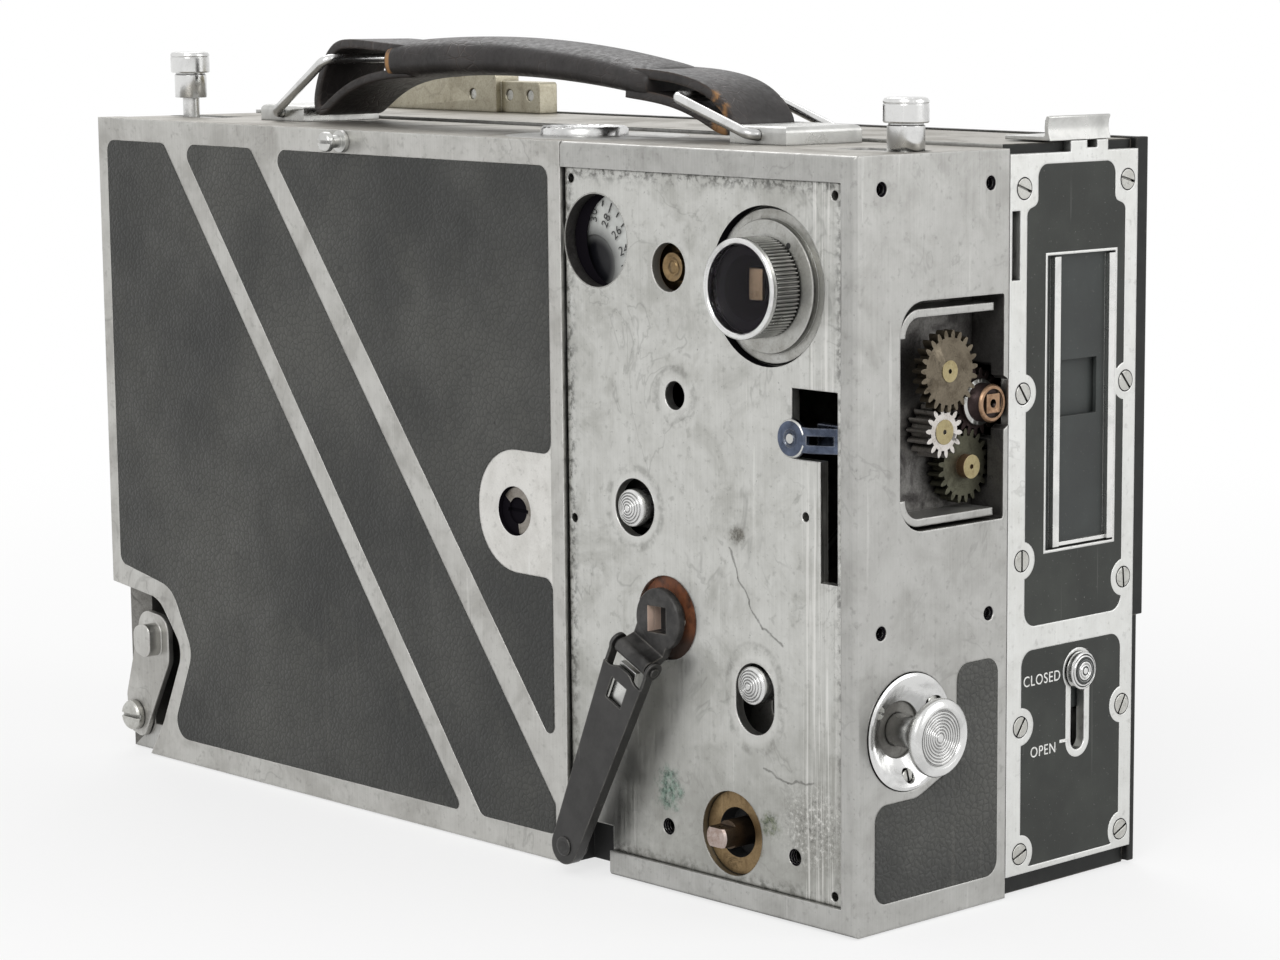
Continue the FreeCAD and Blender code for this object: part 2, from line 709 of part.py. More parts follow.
def side_screws():
    """Recessed lug screw and the pivot screw of the latch."""
    lug = turned(on_x, LUG_Y, LUG_Z, [
        (0, SIDE + 1.4), (2.6, SIDE + 1.4), (2.6, SIDE + 0.9), (LUG_HOLE_RADIUS - 0.2, SIDE + 0.9),
        (LUG_HOLE_RADIUS - 0.2, COVER_BACK - 0.2), (1.8, COVER_BACK - 0.2), (1.8, COVER_BACK - 0.05), (0, COVER_BACK - 0.05),
    ])
    lug = lug.cut(block(SIDE, SIDE + 1.8, LUG_Y - 3, LUG_Y + 3, LUG_Z - 0.35, LUG_Z + 0.35))
    face = COVER_BACK - LATCH_PLATE - 0.2
    pivot = turned(on_x, LATCH_Y, LATCH_Z, [
        (0, face - 1.8), (LATCH_HEAD_RADIUS - 0.4, face - 1.8), (LATCH_HEAD_RADIUS, face - 1.3),
        (LATCH_HEAD_RADIUS, face), (1.8, face), (1.8, COVER_BACK), (0, COVER_BACK),
    ])
    pivot = pivot.cut(block(face - 2.5, face - 1.1, LATCH_Y - 5, LATCH_Y + 5, LATCH_Z - 0.4, LATCH_Z + 0.4))
    return [lug, pivot]


def cover_latch():
    """Latch lever in the rear lower corner, with a rounded finger nub."""
    face = COVER_BACK - LATCH_PLATE - 0.1
    back = COVER_BACK - 0.1
    outline = [(113.0, 4.0), (107.5, 2.5), (97.0, 21.0), (97.0, 31.0), (107.0, 32.0), (113.5, 12.0)]
    lever = slab(on_x, outline, face, back, [2.5, 2.5, 4.0, 4.0, 4.0, 2.5])
    nub = slab(on_x, [(99.5, 21.5), (99.5, 30.0), (105.5, 28.5), (105.5, 23.0)], face - 3.2, face + 0.1, 2.2)
    lever = fuse(lever, nub)
    return lever.cut(rod(on_x, LATCH_Y, LATCH_Z, 1.8 + RUNNING_GAP, face - 1, back + 1))


def tape_hook():
    """Slotted stud for the end of a tape measure."""
    stud = turned(on_x, HOOK_Y, HOOK_Z, [
        (0, SIDE - HOOK_LENGTH), (1.7, SIDE - HOOK_LENGTH), (2.0, SIDE - HOOK_LENGTH + 0.4),
        (2.0, SIDE - HOOK_LENGTH + 1.4), (1.3, SIDE - HOOK_LENGTH + 2.0), (1.3, SIDE - 1.2),
        (2.2, SIDE - 1.0), (2.2, SIDE), (1.2, SIDE), (1.2, COVER_BACK - 0.2), (0, COVER_BACK - 0.2),
    ])
    return stud.cut(block(SIDE - HOOK_LENGTH - 1, SIDE - HOOK_LENGTH + 0.8, HOOK_Y - 3, HOOK_Y + 3,
                          HOOK_Z - 0.3, HOOK_Z + 0.3))


# Mechanism side

def mechanism_plate():
    """Plate over the movement, pierced for every control."""
    plate = block(PLATE_FACE, PLATE_BACK, PLATE_FRONT + FIT_GAP, PLATE_REAR, PLATE_LOW + FIT_GAP,
                  PLATE_HIGH - FIT_GAP)
    low, high = PLATE_FACE - 1, PLATE_BACK + 1
    cuts = [
        block(low, high, NOTCH_FRONT, PLATE_REAR + 1, 0, NOTCH_HEIGHT),
        rod(on_x, DIAL_WINDOW_Y, DIAL_WINDOW_Z, DIAL_WINDOW_RADIUS, low, high),
        rod(on_x, ADJUSTER_Y, ADJUSTER_Z, ADJUSTER_HOLE_RADIUS, low, high),
        rod(on_x, -68.2, 94.2, SIGHT_HOLE_RADIUS, low, high),
        rod(on_x, EYE_Y, EYE_Z, EYE_HOLE_RADIUS, low, high),
        rod(on_x, RELEASE_Y, RELEASE_Z, RELEASE_HOLE_RADIUS, low, high),
        rod(on_x, HUB_Y, HUB_Z, CRANK_HOLE_RADIUS, low, high),
        rod(on_x, HAND_Y, HAND_Z, HAND_HOLE_RADIUS, low, high),
        obround(on_x, SLIDE_Y, SLIDE_SLOT_LOW, SLIDE_SLOT_HIGH, SLIDE_HALF_WIDTH, low, high),
        block(low, high, LEVER_SLOT_FRONT, LEVER_SLOT_REAR, LEVER_SLOT_STEP, LEVER_SLOT_HIGH),
        block(low, high, LEVER_SLOT_FRONT, LEVER_SLOT_MID, LEVER_SLOT_LOW, LEVER_SLOT_STEP + 1),
    ]
    for y, z in ((-39.9, 133.1), (-109.9, 132.9), (-39.8, 68.3), (-102.5, 75.2), (-109.8, 6.6)):
        cuts.append(rod(on_x, y, z, PLATE_HOLE_RADIUS, low, high))
    for y in (-65.7, -99.6):
        cuts.append(rod(on_x, y, 12.1, TAPPED_HOLE_RADIUS, low, high))
    return cut(plate, *cuts)


def crank_bush():
    """Fibre bush of the winding shaft, flanged behind the plate."""
    return turned(on_x, HUB_Y, HUB_Z, [
        (CRANK_BORE + RUNNING_GAP, PLATE_FACE + 1.0), (CRANK_HOLE_RADIUS - FIT_GAP, PLATE_FACE + 1.0),
        (CRANK_HOLE_RADIUS - FIT_GAP, PLATE_BACK + FIT_GAP), (CRANK_HOLE_RADIUS + 2, PLATE_BACK + FIT_GAP),
        (CRANK_HOLE_RADIUS + 2, PLATE_BACK + 2.5), (CRANK_BORE + RUNNING_GAP, PLATE_BACK + 2.5),
    ])


def hand_shaft_bush():
    """Bronze bearing of the hand shaft, recessed round the shaft."""
    back = BRIDGE_FACE + 4 - FIT_GAP
    return turned(on_x, HAND_Y, HAND_Z, [
        (HAND_RECESS_RADIUS, SIDE + 2.4), (HAND_HOLE_RADIUS - FIT_GAP, SIDE + 2.4), (HAND_HOLE_RADIUS - FIT_GAP, back),
        (HAND_SHAFT_RADIUS + RUNNING_GAP, back), (HAND_SHAFT_RADIUS + RUNNING_GAP, SIDE + 6.0),
        (HAND_RECESS_RADIUS, SIDE + 6.0),
    ])


def movement_bridge():
    """Sub-plate behind the buttons, standing on four pillars."""
    outline = [(-101.0, 26.0), (-84.0, 26.0), (-62.0, 67.0), (-46.0, 67.0), (-46.0, 84.0), (-78.0, 84.0),
               (-101.0, 54.0)]
    plate = slab(on_x, outline, BRIDGE_FACE, BRIDGE_BACK, 3.0)
    plate = cut(
        plate,
        rod(on_x, HUB_Y, HUB_Z, CRANK_HOLE_RADIUS + 4.5, BRIDGE_FACE - 1, BRIDGE_BACK + 1),
        rod(on_x, RELEASE_Y, RELEASE_Z, BUTTON_STEM + RUNNING_GAP, BRIDGE_FACE - 1, BRIDGE_BACK + 1),
        obround(on_x, SLIDE_Y, SLIDE_Z - SLIDE_TRAVEL - BUTTON_STEM - 0.3, SLIDE_Z + BUTTON_STEM + 0.3,
                BUTTON_STEM + RUNNING_GAP, BRIDGE_FACE - 1, BRIDGE_BACK + 1),
    )
    pillars = [rod(on_x, y, z, 2.0, PLATE_BACK + SEAT_GAP, BRIDGE_FACE + 0.5) for y, z in BRIDGE_PILLARS]
    return fuse(plate, *pillars)


def button(view_u, view_v, face):
    """Round button with a stepped face on a guided stem."""
    return turned(on_x, view_u, view_v, [
        (0, face), (0.7, face), (0.7, face + 0.25), (1.6, face + 0.25), (1.6, face + 0.5), (2.5, face + 0.5),
        (2.5, face + 0.75), (BUTTON_RADIUS, face + 1.0), (BUTTON_RADIUS, face + 4.5), (BUTTON_STEM, face + 4.5),
        (BUTTON_STEM, BRIDGE_BACK + 1.5), (0, BRIDGE_BACK + 1.5),
    ])


def speed_dial():
    """Dial behind its window, on a toothed wheel."""
    back = DIAL_FACE + DIAL_THICKNESS
    dial = turned(on_x, DIAL_Y, DIAL_Z, [
        (0, DIAL_FACE + 0.9), (DIAL_HUB_RADIUS, DIAL_FACE + 0.9), (DIAL_HUB_RADIUS, DIAL_FACE + 0.5),
        (DIAL_RADIUS, DIAL_FACE), (DIAL_RADIUS, back), (0, back),
    ])
    wheel = gear(on_x, DIAL_Y, DIAL_Z, DIAL_GEAR_TEETH, FRONT_MODULE, back + 0.4, back + 1.4, 0)
    spacer = rod(on_x, DIAL_Y, DIAL_Z, 8.0, back - 0.1, back + 0.5)
    pivot = rod(on_x, DIAL_Y, DIAL_Z, 1.5, back + 1.3, BRIDGE_FACE + 6)
    return fuse(dial, spacer, wheel, pivot)


def speed_adjuster():
    """Slotted brass adjuster geared to the dial."""
    back = DIAL_FACE + DIAL_THICKNESS
    post = turned(on_x, ADJUSTER_Y, ADJUSTER_Z, [
        (0, ADJUSTER_FACE), (1.0, ADJUSTER_FACE), (1.2, ADJUSTER_FACE + 0.25), (1.7, ADJUSTER_FACE + 0.25),
        (1.9, ADJUSTER_FACE), (ADJUSTER_RADIUS, ADJUSTER_FACE), (ADJUSTER_RADIUS, back + 0.9),
        (1.5, back + 0.9), (1.5, BRIDGE_FACE + 6), (0, BRIDGE_FACE + 6),
    ])
    phase = meshed_phase(0.0, DIAL_GEAR_TEETH, ADJUSTER_ANGLE, ADJUSTER_GEAR_TEETH)
    wheel = gear(on_x, ADJUSTER_Y, ADJUSTER_Z, ADJUSTER_GEAR_TEETH, FRONT_MODULE, back + 0.4, back + 1.4, 0, phase)
    return fuse(post, wheel)


def dial_bridge():
    """Bearing strip behind the dial and its adjuster, on two pillars."""
    face = BRIDGE_FACE + 1.2
    back = face + 1.8
    middle = (DIAL_Z + ADJUSTER_Z) / 2
    strip = slab(on_x, rect(ADJUSTER_Y - 4, DIAL_Y + 4, middle - 6, middle + 6), face, back, 2.5)
    strip = cut(strip, *[
        rod(on_x, y, z, 1.5 + RUNNING_GAP, face - 1, back + 1) for y, z in ((DIAL_Y, DIAL_Z), (ADJUSTER_Y, ADJUSTER_Z))
    ])
    pillars = [rod(on_x, (DIAL_Y + ADJUSTER_Y) / 2, middle + s * 18.5, 1.6, PLATE_BACK + SEAT_GAP, back) for s in (-1,)]
    arm = slab(on_x, rect(-59.0, -54.4, middle - 20.5, middle - 5), face, back, 1.0)
    return fuse(strip, arm, *pillars)


def shutter_lever():
    """Lever of the variable shutter: ringed head outside, arm sloping in through the slot, foot behind the plate."""
    rim = LEVER_FACE + 0.3
    head = turned(on_x, LEVER_Y, LEVER_Z, [
        (0, LEVER_FACE - 0.15), (0.9, LEVER_FACE - 0.15), (0.9, rim), (1.6, rim), (1.6, LEVER_FACE),
        (LEVER_HEAD_RADIUS - 0.3, LEVER_FACE), (LEVER_HEAD_RADIUS, rim),
        (LEVER_HEAD_RADIUS, LEVER_FACE + LEVER_SHEET), (0, LEVER_FACE + LEVER_SHEET),
    ])
    front = LEVER_SLOT_FRONT + 0.3
    knee = LEVER_Y - LEVER_HEAD_RADIUS - 1.2
    skin = 0.8
    profile = [(LEVER_FACE + 0.2, LEVER_Y), (LEVER_FACE + 0.2, knee), (PLATE_BACK - 0.8, front),
               (PLATE_BACK + 2.0, front), (PLATE_BACK + 2.0, front + skin), (PLATE_BACK - 0.5, front + skin),
               (LEVER_FACE + LEVER_SHEET, knee + 0.4), (LEVER_FACE + LEVER_SHEET, LEVER_Y)]
    points = [V(x, y, LEVER_Z - LEVER_HALF_HEIGHT) for x, y in profile]
    arm = Part.Face(Part.makePolygon(points + [points[0]])).extrude(Z_AXIS * (2 * LEVER_HALF_HEIGHT))
    middle = (knee + front) / 2
    slot = block(LEVER_FACE - 1, PLATE_BACK, middle - 1.3, knee + 0.9, LEVER_Z - 0.8, LEVER_Z + 0.8)
    foot = block(PLATE_BACK + LOOSE_GAP, PLATE_BACK + 2.0, front, LEVER_SLOT_MID + 3, LEVER_Z - 2.6, LEVER_Z + 2.6)
    return fuse(head, arm.cut(slot), foot)


# Eyepiece

def eyepiece_tube():
    """Flanged tube that the focusing ring turns on."""
    front = EYE_LENS_BACK + 0.3
    return turned(on_x, EYE_Y, EYE_Z, [
        (EYE_BORE, front), (EYE_SLEEVE_RADIUS, front), (EYE_SLEEVE_RADIUS, PLATE_FACE - 0.3),
        (12.0, PLATE_FACE - 0.3), (12.4, PLATE_FACE + 0.1), (EYE_FLANGE_RADIUS, PLATE_FACE + 0.1),
        (EYE_FLANGE_RADIUS, PLATE_BACK + FIT_GAP), (EYE_HOLE_RADIUS + 0.3, PLATE_BACK + FIT_GAP),
        (EYE_HOLE_RADIUS + 0.3, PLATE_BACK + 1.6), (EYE_SLEEVE_RADIUS + 1, PLATE_BACK + 1.6),
        (EYE_SLEEVE_RADIUS + 1, PLATE_BACK + 22.0), (EYE_BORE, PLATE_BACK + 22.0),
    ])


def eyepiece_ring():
    """Knurled focusing ring."""
    points = []
    for k in range(2 * KNURL_COUNT):
        angle = math.pi * k / KNURL_COUNT
        radius = EYE_RING_RADIUS if k % 2 else EYE_RING_RADIUS - KNURL_DEPTH
        points.append((EYE_Y + radius * math.cos(angle), EYE_Z + radius * math.sin(angle)))
    knurl = slab(on_x, points, EYE_RING_FACE + 1.0, EYE_RING_BACK)
    lip = turned(on_x, EYE_Y, EYE_Z, [
        (0, EYE_RING_FACE), (EYE_RING_RADIUS - 0.6, EYE_RING_FACE), (EYE_RING_RADIUS, EYE_RING_FACE + 0.4),
        (EYE_RING_RADIUS, EYE_RING_FACE + 1.1), (0, EYE_RING_FACE + 1.1),
    ])
    ring = fuse(knurl, lip)
    return cut(
        ring,
        rod(on_x, EYE_Y, EYE_Z, EYE_LENS_RADIUS + FIT_GAP, EYE_RING_FACE - 1, EYE_LENS_BACK),
        rod(on_x, EYE_Y, EYE_Z, EYE_SLEEVE_RADIUS + RUNNING_GAP, EYE_LENS_BACK - 1, EYE_RING_BACK + 1),
    )


def eyepiece_lens():
    """Eye lens, domed to the outside."""
    front = EYE_RING_FACE + 0.5
    rise = 1.1
    edge = front + rise
    axis_point = on_x(EYE_Y, EYE_Z, front)
    crown = on_x(EYE_Y + EYE_LENS_RADIUS * 0.55, EYE_Z, front + rise * 0.3)
    rim = on_x(EYE_Y + EYE_LENS_RADIUS, EYE_Z, edge)
    back_rim = on_x(EYE_Y + EYE_LENS_RADIUS, EYE_Z, EYE_LENS_BACK - SEAT_GAP)
    back = on_x(EYE_Y, EYE_Z, EYE_LENS_BACK - SEAT_GAP)
    edges = [
        Part.Arc(axis_point, crown, rim).toShape(),
        Part.makeLine(rim, back_rim),
        Part.makeLine(back_rim, back),
        Part.makeLine(back, axis_point),
    ]
    return Part.Face(Part.Wire(edges)).revolve(on_x(EYE_Y, EYE_Z, 0), X_AXIS, 360)


# Winding crank: built hanging straight down from the hub, then swung to its stowed angle

def swung(shape):
    """Swing a crank piece from straight down to the stowed angle."""
    turned_shape = shape.copy()
    turned_shape.rotate(on_x(HUB_Y, HUB_Z, 0), X_AXIS, CRANK_ANGLE)
    return turned_shape


def square_socket(front, back):
    """Square socket in the middle of the hub, between two depths."""
    half = SQUARE_SIZE / 2
    return block(front, back, HUB_Y - half, HUB_Y + half, HUB_Z - half, HUB_Z + half)


def crank_head():
    """Disc brazed to the shaft's end, with a square hole over its socket and the hinge knuckle."""
    disc = rod(on_x, HUB_Y, HUB_Z, HEAD_RADIUS, HEAD_FACE, HEAD_BACK)
    disc = fillet(disc, 0.5, lambda p: near(p.x, HEAD_FACE))
    low = HUB_Z - HINGE_REACH
    neck = [(HEAD_FACE, HUB_Z - 3.6), (HEAD_BACK, HUB_Z - 3.6), (HEAD_BACK, HUB_Z - 5.6), (HINGE_X + 1.1, low - 1.0),
            (HINGE_X, low), (HINGE_X + 0.3, low + 1.45), (HEAD_FACE, HUB_Z - 5.5)]
    points = [V(x, HUB_Y - KNUCKLE_HALF, z) for x, z in neck]
    tongue = Part.Face(Part.makePolygon(points + [points[0]])).extrude(Y_AXIS * (2 * KNUCKLE_HALF))
    knuckle = Part.makeCylinder(KNUCKLE_RADIUS, 2 * KNUCKLE_HALF, V(HINGE_X, HUB_Y - KNUCKLE_HALF, low), Y_AXIS)
    head = fuse(disc, tongue, knuckle)
    bore = Part.makeCylinder(HINGE_PIN_RADIUS + RUNNING_GAP, 20, V(HINGE_X, HUB_Y - 10, low), Y_AXIS)
    return swung(cut(head, bore)).cut(square_socket(HEAD_FACE - 1, HEAD_BACK + 1))


def winding_shaft():
    """Winding shaft with a square socket in its end and its pinion in the spring bay."""
    shaft = rod(on_x, HUB_Y, HUB_Z, CRANK_BORE, HEAD_BACK + SEAT_GAP, INNER_FACE - 0.5)
    spigot = rod(on_x, HUB_Y, HUB_Z, 3.0, INNER_FACE - 1, INNER_FACE + 2.0)
    pinion = gear(on_x, HUB_Y, HUB_Z, WINDING_PINION_TEETH, WINDING_MODULE, WINDING_GEAR_X, WINDING_GEAR_END, 0,
                  WINDING_ANGLE)
    return fuse(shaft, spigot, pinion).cut(square_socket(HEAD_BACK - 1, SOCKET_BOTTOM))


def crank_arm():
    """Channel-section arm with hinge ears, a window and a round end."""
    hinge_z = HUB_Z - HINGE_REACH
    end_z = HUB_Z - ARM_REACH
    top_z = HUB_Z - ARM_WEB_START

    def body(shrink):
        top, low = ARM_HALF_TOP - shrink, ARM_HALF_END - shrink
        crown = top_z + ARM_WEB_CROWN
        return [(HUB_Y - top, top_z), (HUB_Y - 3.6, top_z), (HUB_Y - 1.6, crown), (HUB_Y + 1.6, crown),
                (HUB_Y + 3.6, top_z), (HUB_Y + top, top_z), (HUB_Y + low, end_z), (HUB_Y + low, end_z - low),
                (HUB_Y - low, end_z - low), (HUB_Y - low, end_z)]

    end_round = ARM_HALF_END * 0.999
    inner_round = (ARM_HALF_END - ARM_SHEET) * 0.999
    inner_face = ARM_FACE + ARM_SHEET
    edge = ARM_FACE + ARM_DEPTH
    shell = slab(on_x, body(0), ARM_FACE, edge, [0, 2, 2, 2, 2, 0, 0, end_round, end_round, 0])
    hollow = slab(on_x, body(ARM_SHEET), inner_face, edge + 1, [0, 2, 2, 2, 2, 0, 0, inner_round, inner_round, 0])
    mouth = block(inner_face, edge + 1, HUB_Y - ARM_HALF_TOP + ARM_SHEET, HUB_Y + ARM_HALF_TOP - ARM_SHEET,
                  top_z - 1, top_z + 3)
    half = WINDOW_SIZE / 2
    window_z = HUB_Z - 2 * HINGE_REACH
    window = block(ARM_FACE - 1, inner_face + 1, HUB_Y - half, HUB_Y + half, window_z - half, window_z + half)
    rivet_hole = rod(on_x, HUB_Y, end_z, SPINDLE_RADIUS + SEAT_GAP, ARM_FACE - 1, inner_face + 1)
    ears = []
    for side in (-1, 1):
        outer = HUB_Y + side * ARM_HALF_TOP
        y0 = min(outer, outer - side * ARM_SHEET)
        plate = block(ARM_FACE + 0.3, edge, y0, y0 + ARM_SHEET, top_z - 0.5, hinge_z)
        eye = Part.makeCylinder(1.9, ARM_SHEET, V(HINGE_X, y0, hinge_z), Y_AXIS)
        ears.append(plate)
        ears.append(eye)
    pin_hole = Part.makeCylinder(HINGE_PIN_RADIUS + SEAT_GAP, 30, V(HINGE_X, HUB_Y - 15, hinge_z), Y_AXIS)
    arm = cut(shell, hollow, mouth, window, rivet_hole)
    return swung(cut(fuse(arm, *ears), pin_hole))


def crank_pin():
    """Hinge pin held in the ears."""
    reach = ARM_HALF_TOP + 0.35
    pin = Part.makeCylinder(HINGE_PIN_RADIUS, 2 * reach, V(HINGE_X, HUB_Y - reach, HUB_Z - HINGE_REACH), Y_AXIS)
    return swung(pin)


def crank_spring():
    """Leaf spring riveted in the arm, its end by the knuckle."""
    face = ARM_FACE + ARM_SHEET + 0.5
    start = HUB_Z - HINGE_REACH - KNUCKLE_RADIUS - 0.8
    end = HUB_Z - 31.0
    leaf = block(face, face + 0.4, HUB_Y - 2.3, HUB_Y + 2.3, end, start)
    lip = block(face, face + 1.3, HUB_Y - 2.3, HUB_Y + 2.3, start - 0.4, start)
    rivet = rod(on_x, HUB_Y, end + 3, 1.3, ARM_FACE + ARM_SHEET + SEAT_GAP, face + 0.9)
    return swung(fuse(leaf, lip, rivet))


def crank_spindle():
    """Tubular rivet that the crank knob turns on."""
    return swung(turned(on_x, HUB_Y, HUB_Z - ARM_REACH, [
        (0, ARM_FACE - 0.1), (0.8, ARM_FACE - 0.1), (1.2, ARM_FACE - 0.4), (1.9, ARM_FACE - 0.25),
        (1.9, ARM_FACE - SEAT_GAP), (SPINDLE_RADIUS, ARM_FACE - SEAT_GAP), (SPINDLE_RADIUS, KNOB_END + 0.05), (0, KNOB_END + 0.05),
    ]))


def crank_knob():
    """Short turning knob at the end of the arm, tucked inside the channel."""
    start = ARM_FACE + ARM_SHEET + 0.15
    return swung(turned(on_x, HUB_Y, HUB_Z - ARM_REACH, [
        (SPINDLE_RADIUS + RUNNING_GAP, start), (CRANK_KNOB_RADIUS - 0.5, start), (CRANK_KNOB_RADIUS, start + 0.6),
        (CRANK_KNOB_RADIUS - 0.3, (start + KNOB_END) / 2), (CRANK_KNOB_RADIUS, KNOB_END - 0.6),
        (CRANK_KNOB_RADIUS - 0.5, KNOB_END), (SPINDLE_RADIUS + RUNNING_GAP, KNOB_END),
    ]))


def hand_shaft():
    """Hand-crank shaft with a flatted, cross-drilled end."""
    shaft = turned(on_x, HAND_Y, HAND_Z, [
        (0, HAND_SHAFT_TIP), (HAND_SHAFT_RADIUS - 0.4, HAND_SHAFT_TIP), (HAND_SHAFT_RADIUS, HAND_SHAFT_TIP + 0.4),
        (HAND_SHAFT_RADIUS, BRIDGE_FACE + 5), (6.0, BRIDGE_FACE + 5), (6.0, BRIDGE_FACE + 9), (2.0, BRIDGE_FACE + 9),
        (2.0, INNER_FACE + 2.0), (0, INNER_FACE + 2.0),
    ])
    tip = HAND_SHAFT_TIP - 1
    flats = [block(tip, HAND_SHAFT_TIP + 3.2, HAND_Y - 4, HAND_Y + 4, HAND_Z + s * 3.2 - 1.4, HAND_Z + s * 3.2 + 1.4)
             for s in (-1, 1)]
    hole = Part.makeCylinder(0.6, 8, V(HAND_SHAFT_TIP + 1.6, HAND_Y, HAND_Z - 4), Z_AXIS)
    return cut(shaft, hole, *flats)


# Spring motor

def transfer_gear():
    """Idler between the winding pinion and the spring barrel."""
    phase = meshed_phase(WINDING_ANGLE, WINDING_PINION_TEETH, WINDING_ANGLE, TRANSFER_TEETH)
    wheel = gear(on_x, TRANSFER_Y, TRANSFER_Z, TRANSFER_TEETH, WINDING_MODULE, WINDING_GEAR_X, WINDING_GEAR_END,
                 3.0 + RUNNING_GAP, phase)
    hub = tube(on_x, TRANSFER_Y, TRANSFER_Z, 8.0, 3.0 + RUNNING_GAP, WINDING_GEAR_END - 0.1, WINDING_GEAR_END + 4)
    return fuse(wheel, hub)


def spring_barrel():
    """Toothed barrel that holds the mainspring."""
    first = meshed_phase(WINDING_ANGLE, WINDING_PINION_TEETH, WINDING_ANGLE, TRANSFER_TEETH)
    phase = meshed_phase(first, TRANSFER_TEETH, WINDING_ANGLE, BARREL_TEETH)
    wheel = gear(on_x, BARREL_Y, BARREL_Z, BARREL_TEETH, WINDING_MODULE, WINDING_GEAR_X, WINDING_GEAR_END,
                 ARBOR_RADIUS + RUNNING_GAP, phase)
    drum = tube(on_x, BARREL_Y, BARREL_Z, BARREL_RADIUS, BARREL_RADIUS - BARREL_WALL, WINDING_GEAR_END - 0.1,
                WINDING_GEAR_END + BARREL_DEPTH - 2)
    return fuse(wheel, drum)


def mainspring():
    """Coiled power spring in the barrel, from the arbor's sleeve to the barrel wall."""
    inner = ARBOR_RADIUS + 3.0
    outer = BARREL_RADIUS - BARREL_WALL - 0.6
    face = WINDING_GEAR_END + 0.3
    depth = BARREL_DEPTH - 4.0
    segments = SPRING_TURNS * 2
    pitch = (outer - inner - SPRING_STRIP) / segments
    walls = ([], [])
    for k in range(segments + 1):
        sign = 1 if k % 2 == 0 else -1
        radius = inner + pitch * k
        walls[0].append(V(face, BARREL_Y + sign * radius, BARREL_Z))
        walls[1].append(V(face, BARREL_Y + sign * (radius + SPRING_STRIP), BARREL_Z))
    edges = []
    for side, wall in enumerate(walls):
        for k in range(segments):
            start, end = wall[k], wall[k + 1]
            centre = (start + end) * 0.5
            radius = (end - start).Length / 2
            up = 1 if k % 2 == 0 else -1
            edges.append(Part.Arc(start, centre + Z_AXIS * (up * radius), end).toShape())
    edges.append(Part.makeLine(walls[0][0], walls[1][0]))
    edges.append(Part.makeLine(walls[0][-1], walls[1][-1]))
    wire = Part.Wire(Part.__sortEdges__(edges))
    return Part.Face(wire).extrude(X_AXIS * depth)


def motor_studs():
    """Fixed arbor of the barrel and stud of the idler, seated in the housing's inner wall."""
    arbor = turned(on_x, BARREL_Y, BARREL_Z, [
        (0, WINDING_GEAR_X - 3.0), (ARBOR_RADIUS + 3, WINDING_GEAR_X - 3.0), (ARBOR_RADIUS + 3, WINDING_GEAR_X - 0.3),
        (ARBOR_RADIUS, WINDING_GEAR_X - 0.3), (ARBOR_RADIUS, INNER_FACE + 2.0), (0, INNER_FACE + 2.0),
    ])
    stud = turned(on_x, TRANSFER_Y, TRANSFER_Z, [
        (0, WINDING_GEAR_X - 2.0), (5.0, WINDING_GEAR_X - 2.0), (5.0, WINDING_GEAR_X - 0.3),
        (3.0, WINDING_GEAR_X - 0.3), (3.0, INNER_FACE + 2.0), (0, INNER_FACE + 2.0),
    ])
    return group(arbor, stud)


# Front gear bay

def gear_bridge():
    """Bearing plate at the back of the gear bay, with its bright liner strips."""
    back = BODY_FRONT + FRONT_WALL
    plate = slab(on_y, rect(RECESS_LEFT + FIT_GAP, RECESS_RIGHT - FIT_GAP, RECESS_LOW + FIT_GAP,
                            RECESS_HIGH - FIT_GAP), GEAR_BRIDGE_FACE, back, [RECESS_CORNER, 1, 1, RECESS_CORNER])
    left, low, high = RECESS_LEFT + 0.9, RECESS_LOW + 0.7, RECESS_HIGH - 1.6
    band = cut(
        slab(on_y, rect(left, SEAM, low, high), LINER_FRONT, GEAR_BRIDGE_FACE + 0.5, [LINER_CORNER, 0, 0, LINER_CORNER]),
        slab(on_y, rect(left + LINER_THICKNESS, SEAM + 1, low + LINER_THICKNESS, high - LINER_THICKNESS),
             LINER_FRONT - 1, GEAR_BRIDGE_FACE + 1, [LINER_CORNER - LINER_THICKNESS, 0, 0, LINER_CORNER - LINER_THICKNESS]),
        block(left - 1, SEAM + 1, LINER_FRONT - 1, GEAR_BRIDGE_FACE + 1, low + LINER_CORNER, high - LINER_CORNER),
        block(SEAM - 3.0, SEAM + 1, LINER_FRONT - 1, GEAR_BRIDGE_FACE + 1, low - 1, high + 1),
    )
    bores = [
        rod(on_y, x, z, GEAR_SHAFT_RADIUS + RUNNING_GAP, GEAR_BRIDGE_FACE - 1, back + 1)
        for x, z in ((GEAR_A_X, GEAR_A_Z), (GEAR_B_X, GEAR_B_Z), (GEAR_C_X, GEAR_C_Z), (GEAR_D_X, GEAR_D_Z))
    ]
    return cut(fuse(plate, band), *bores)


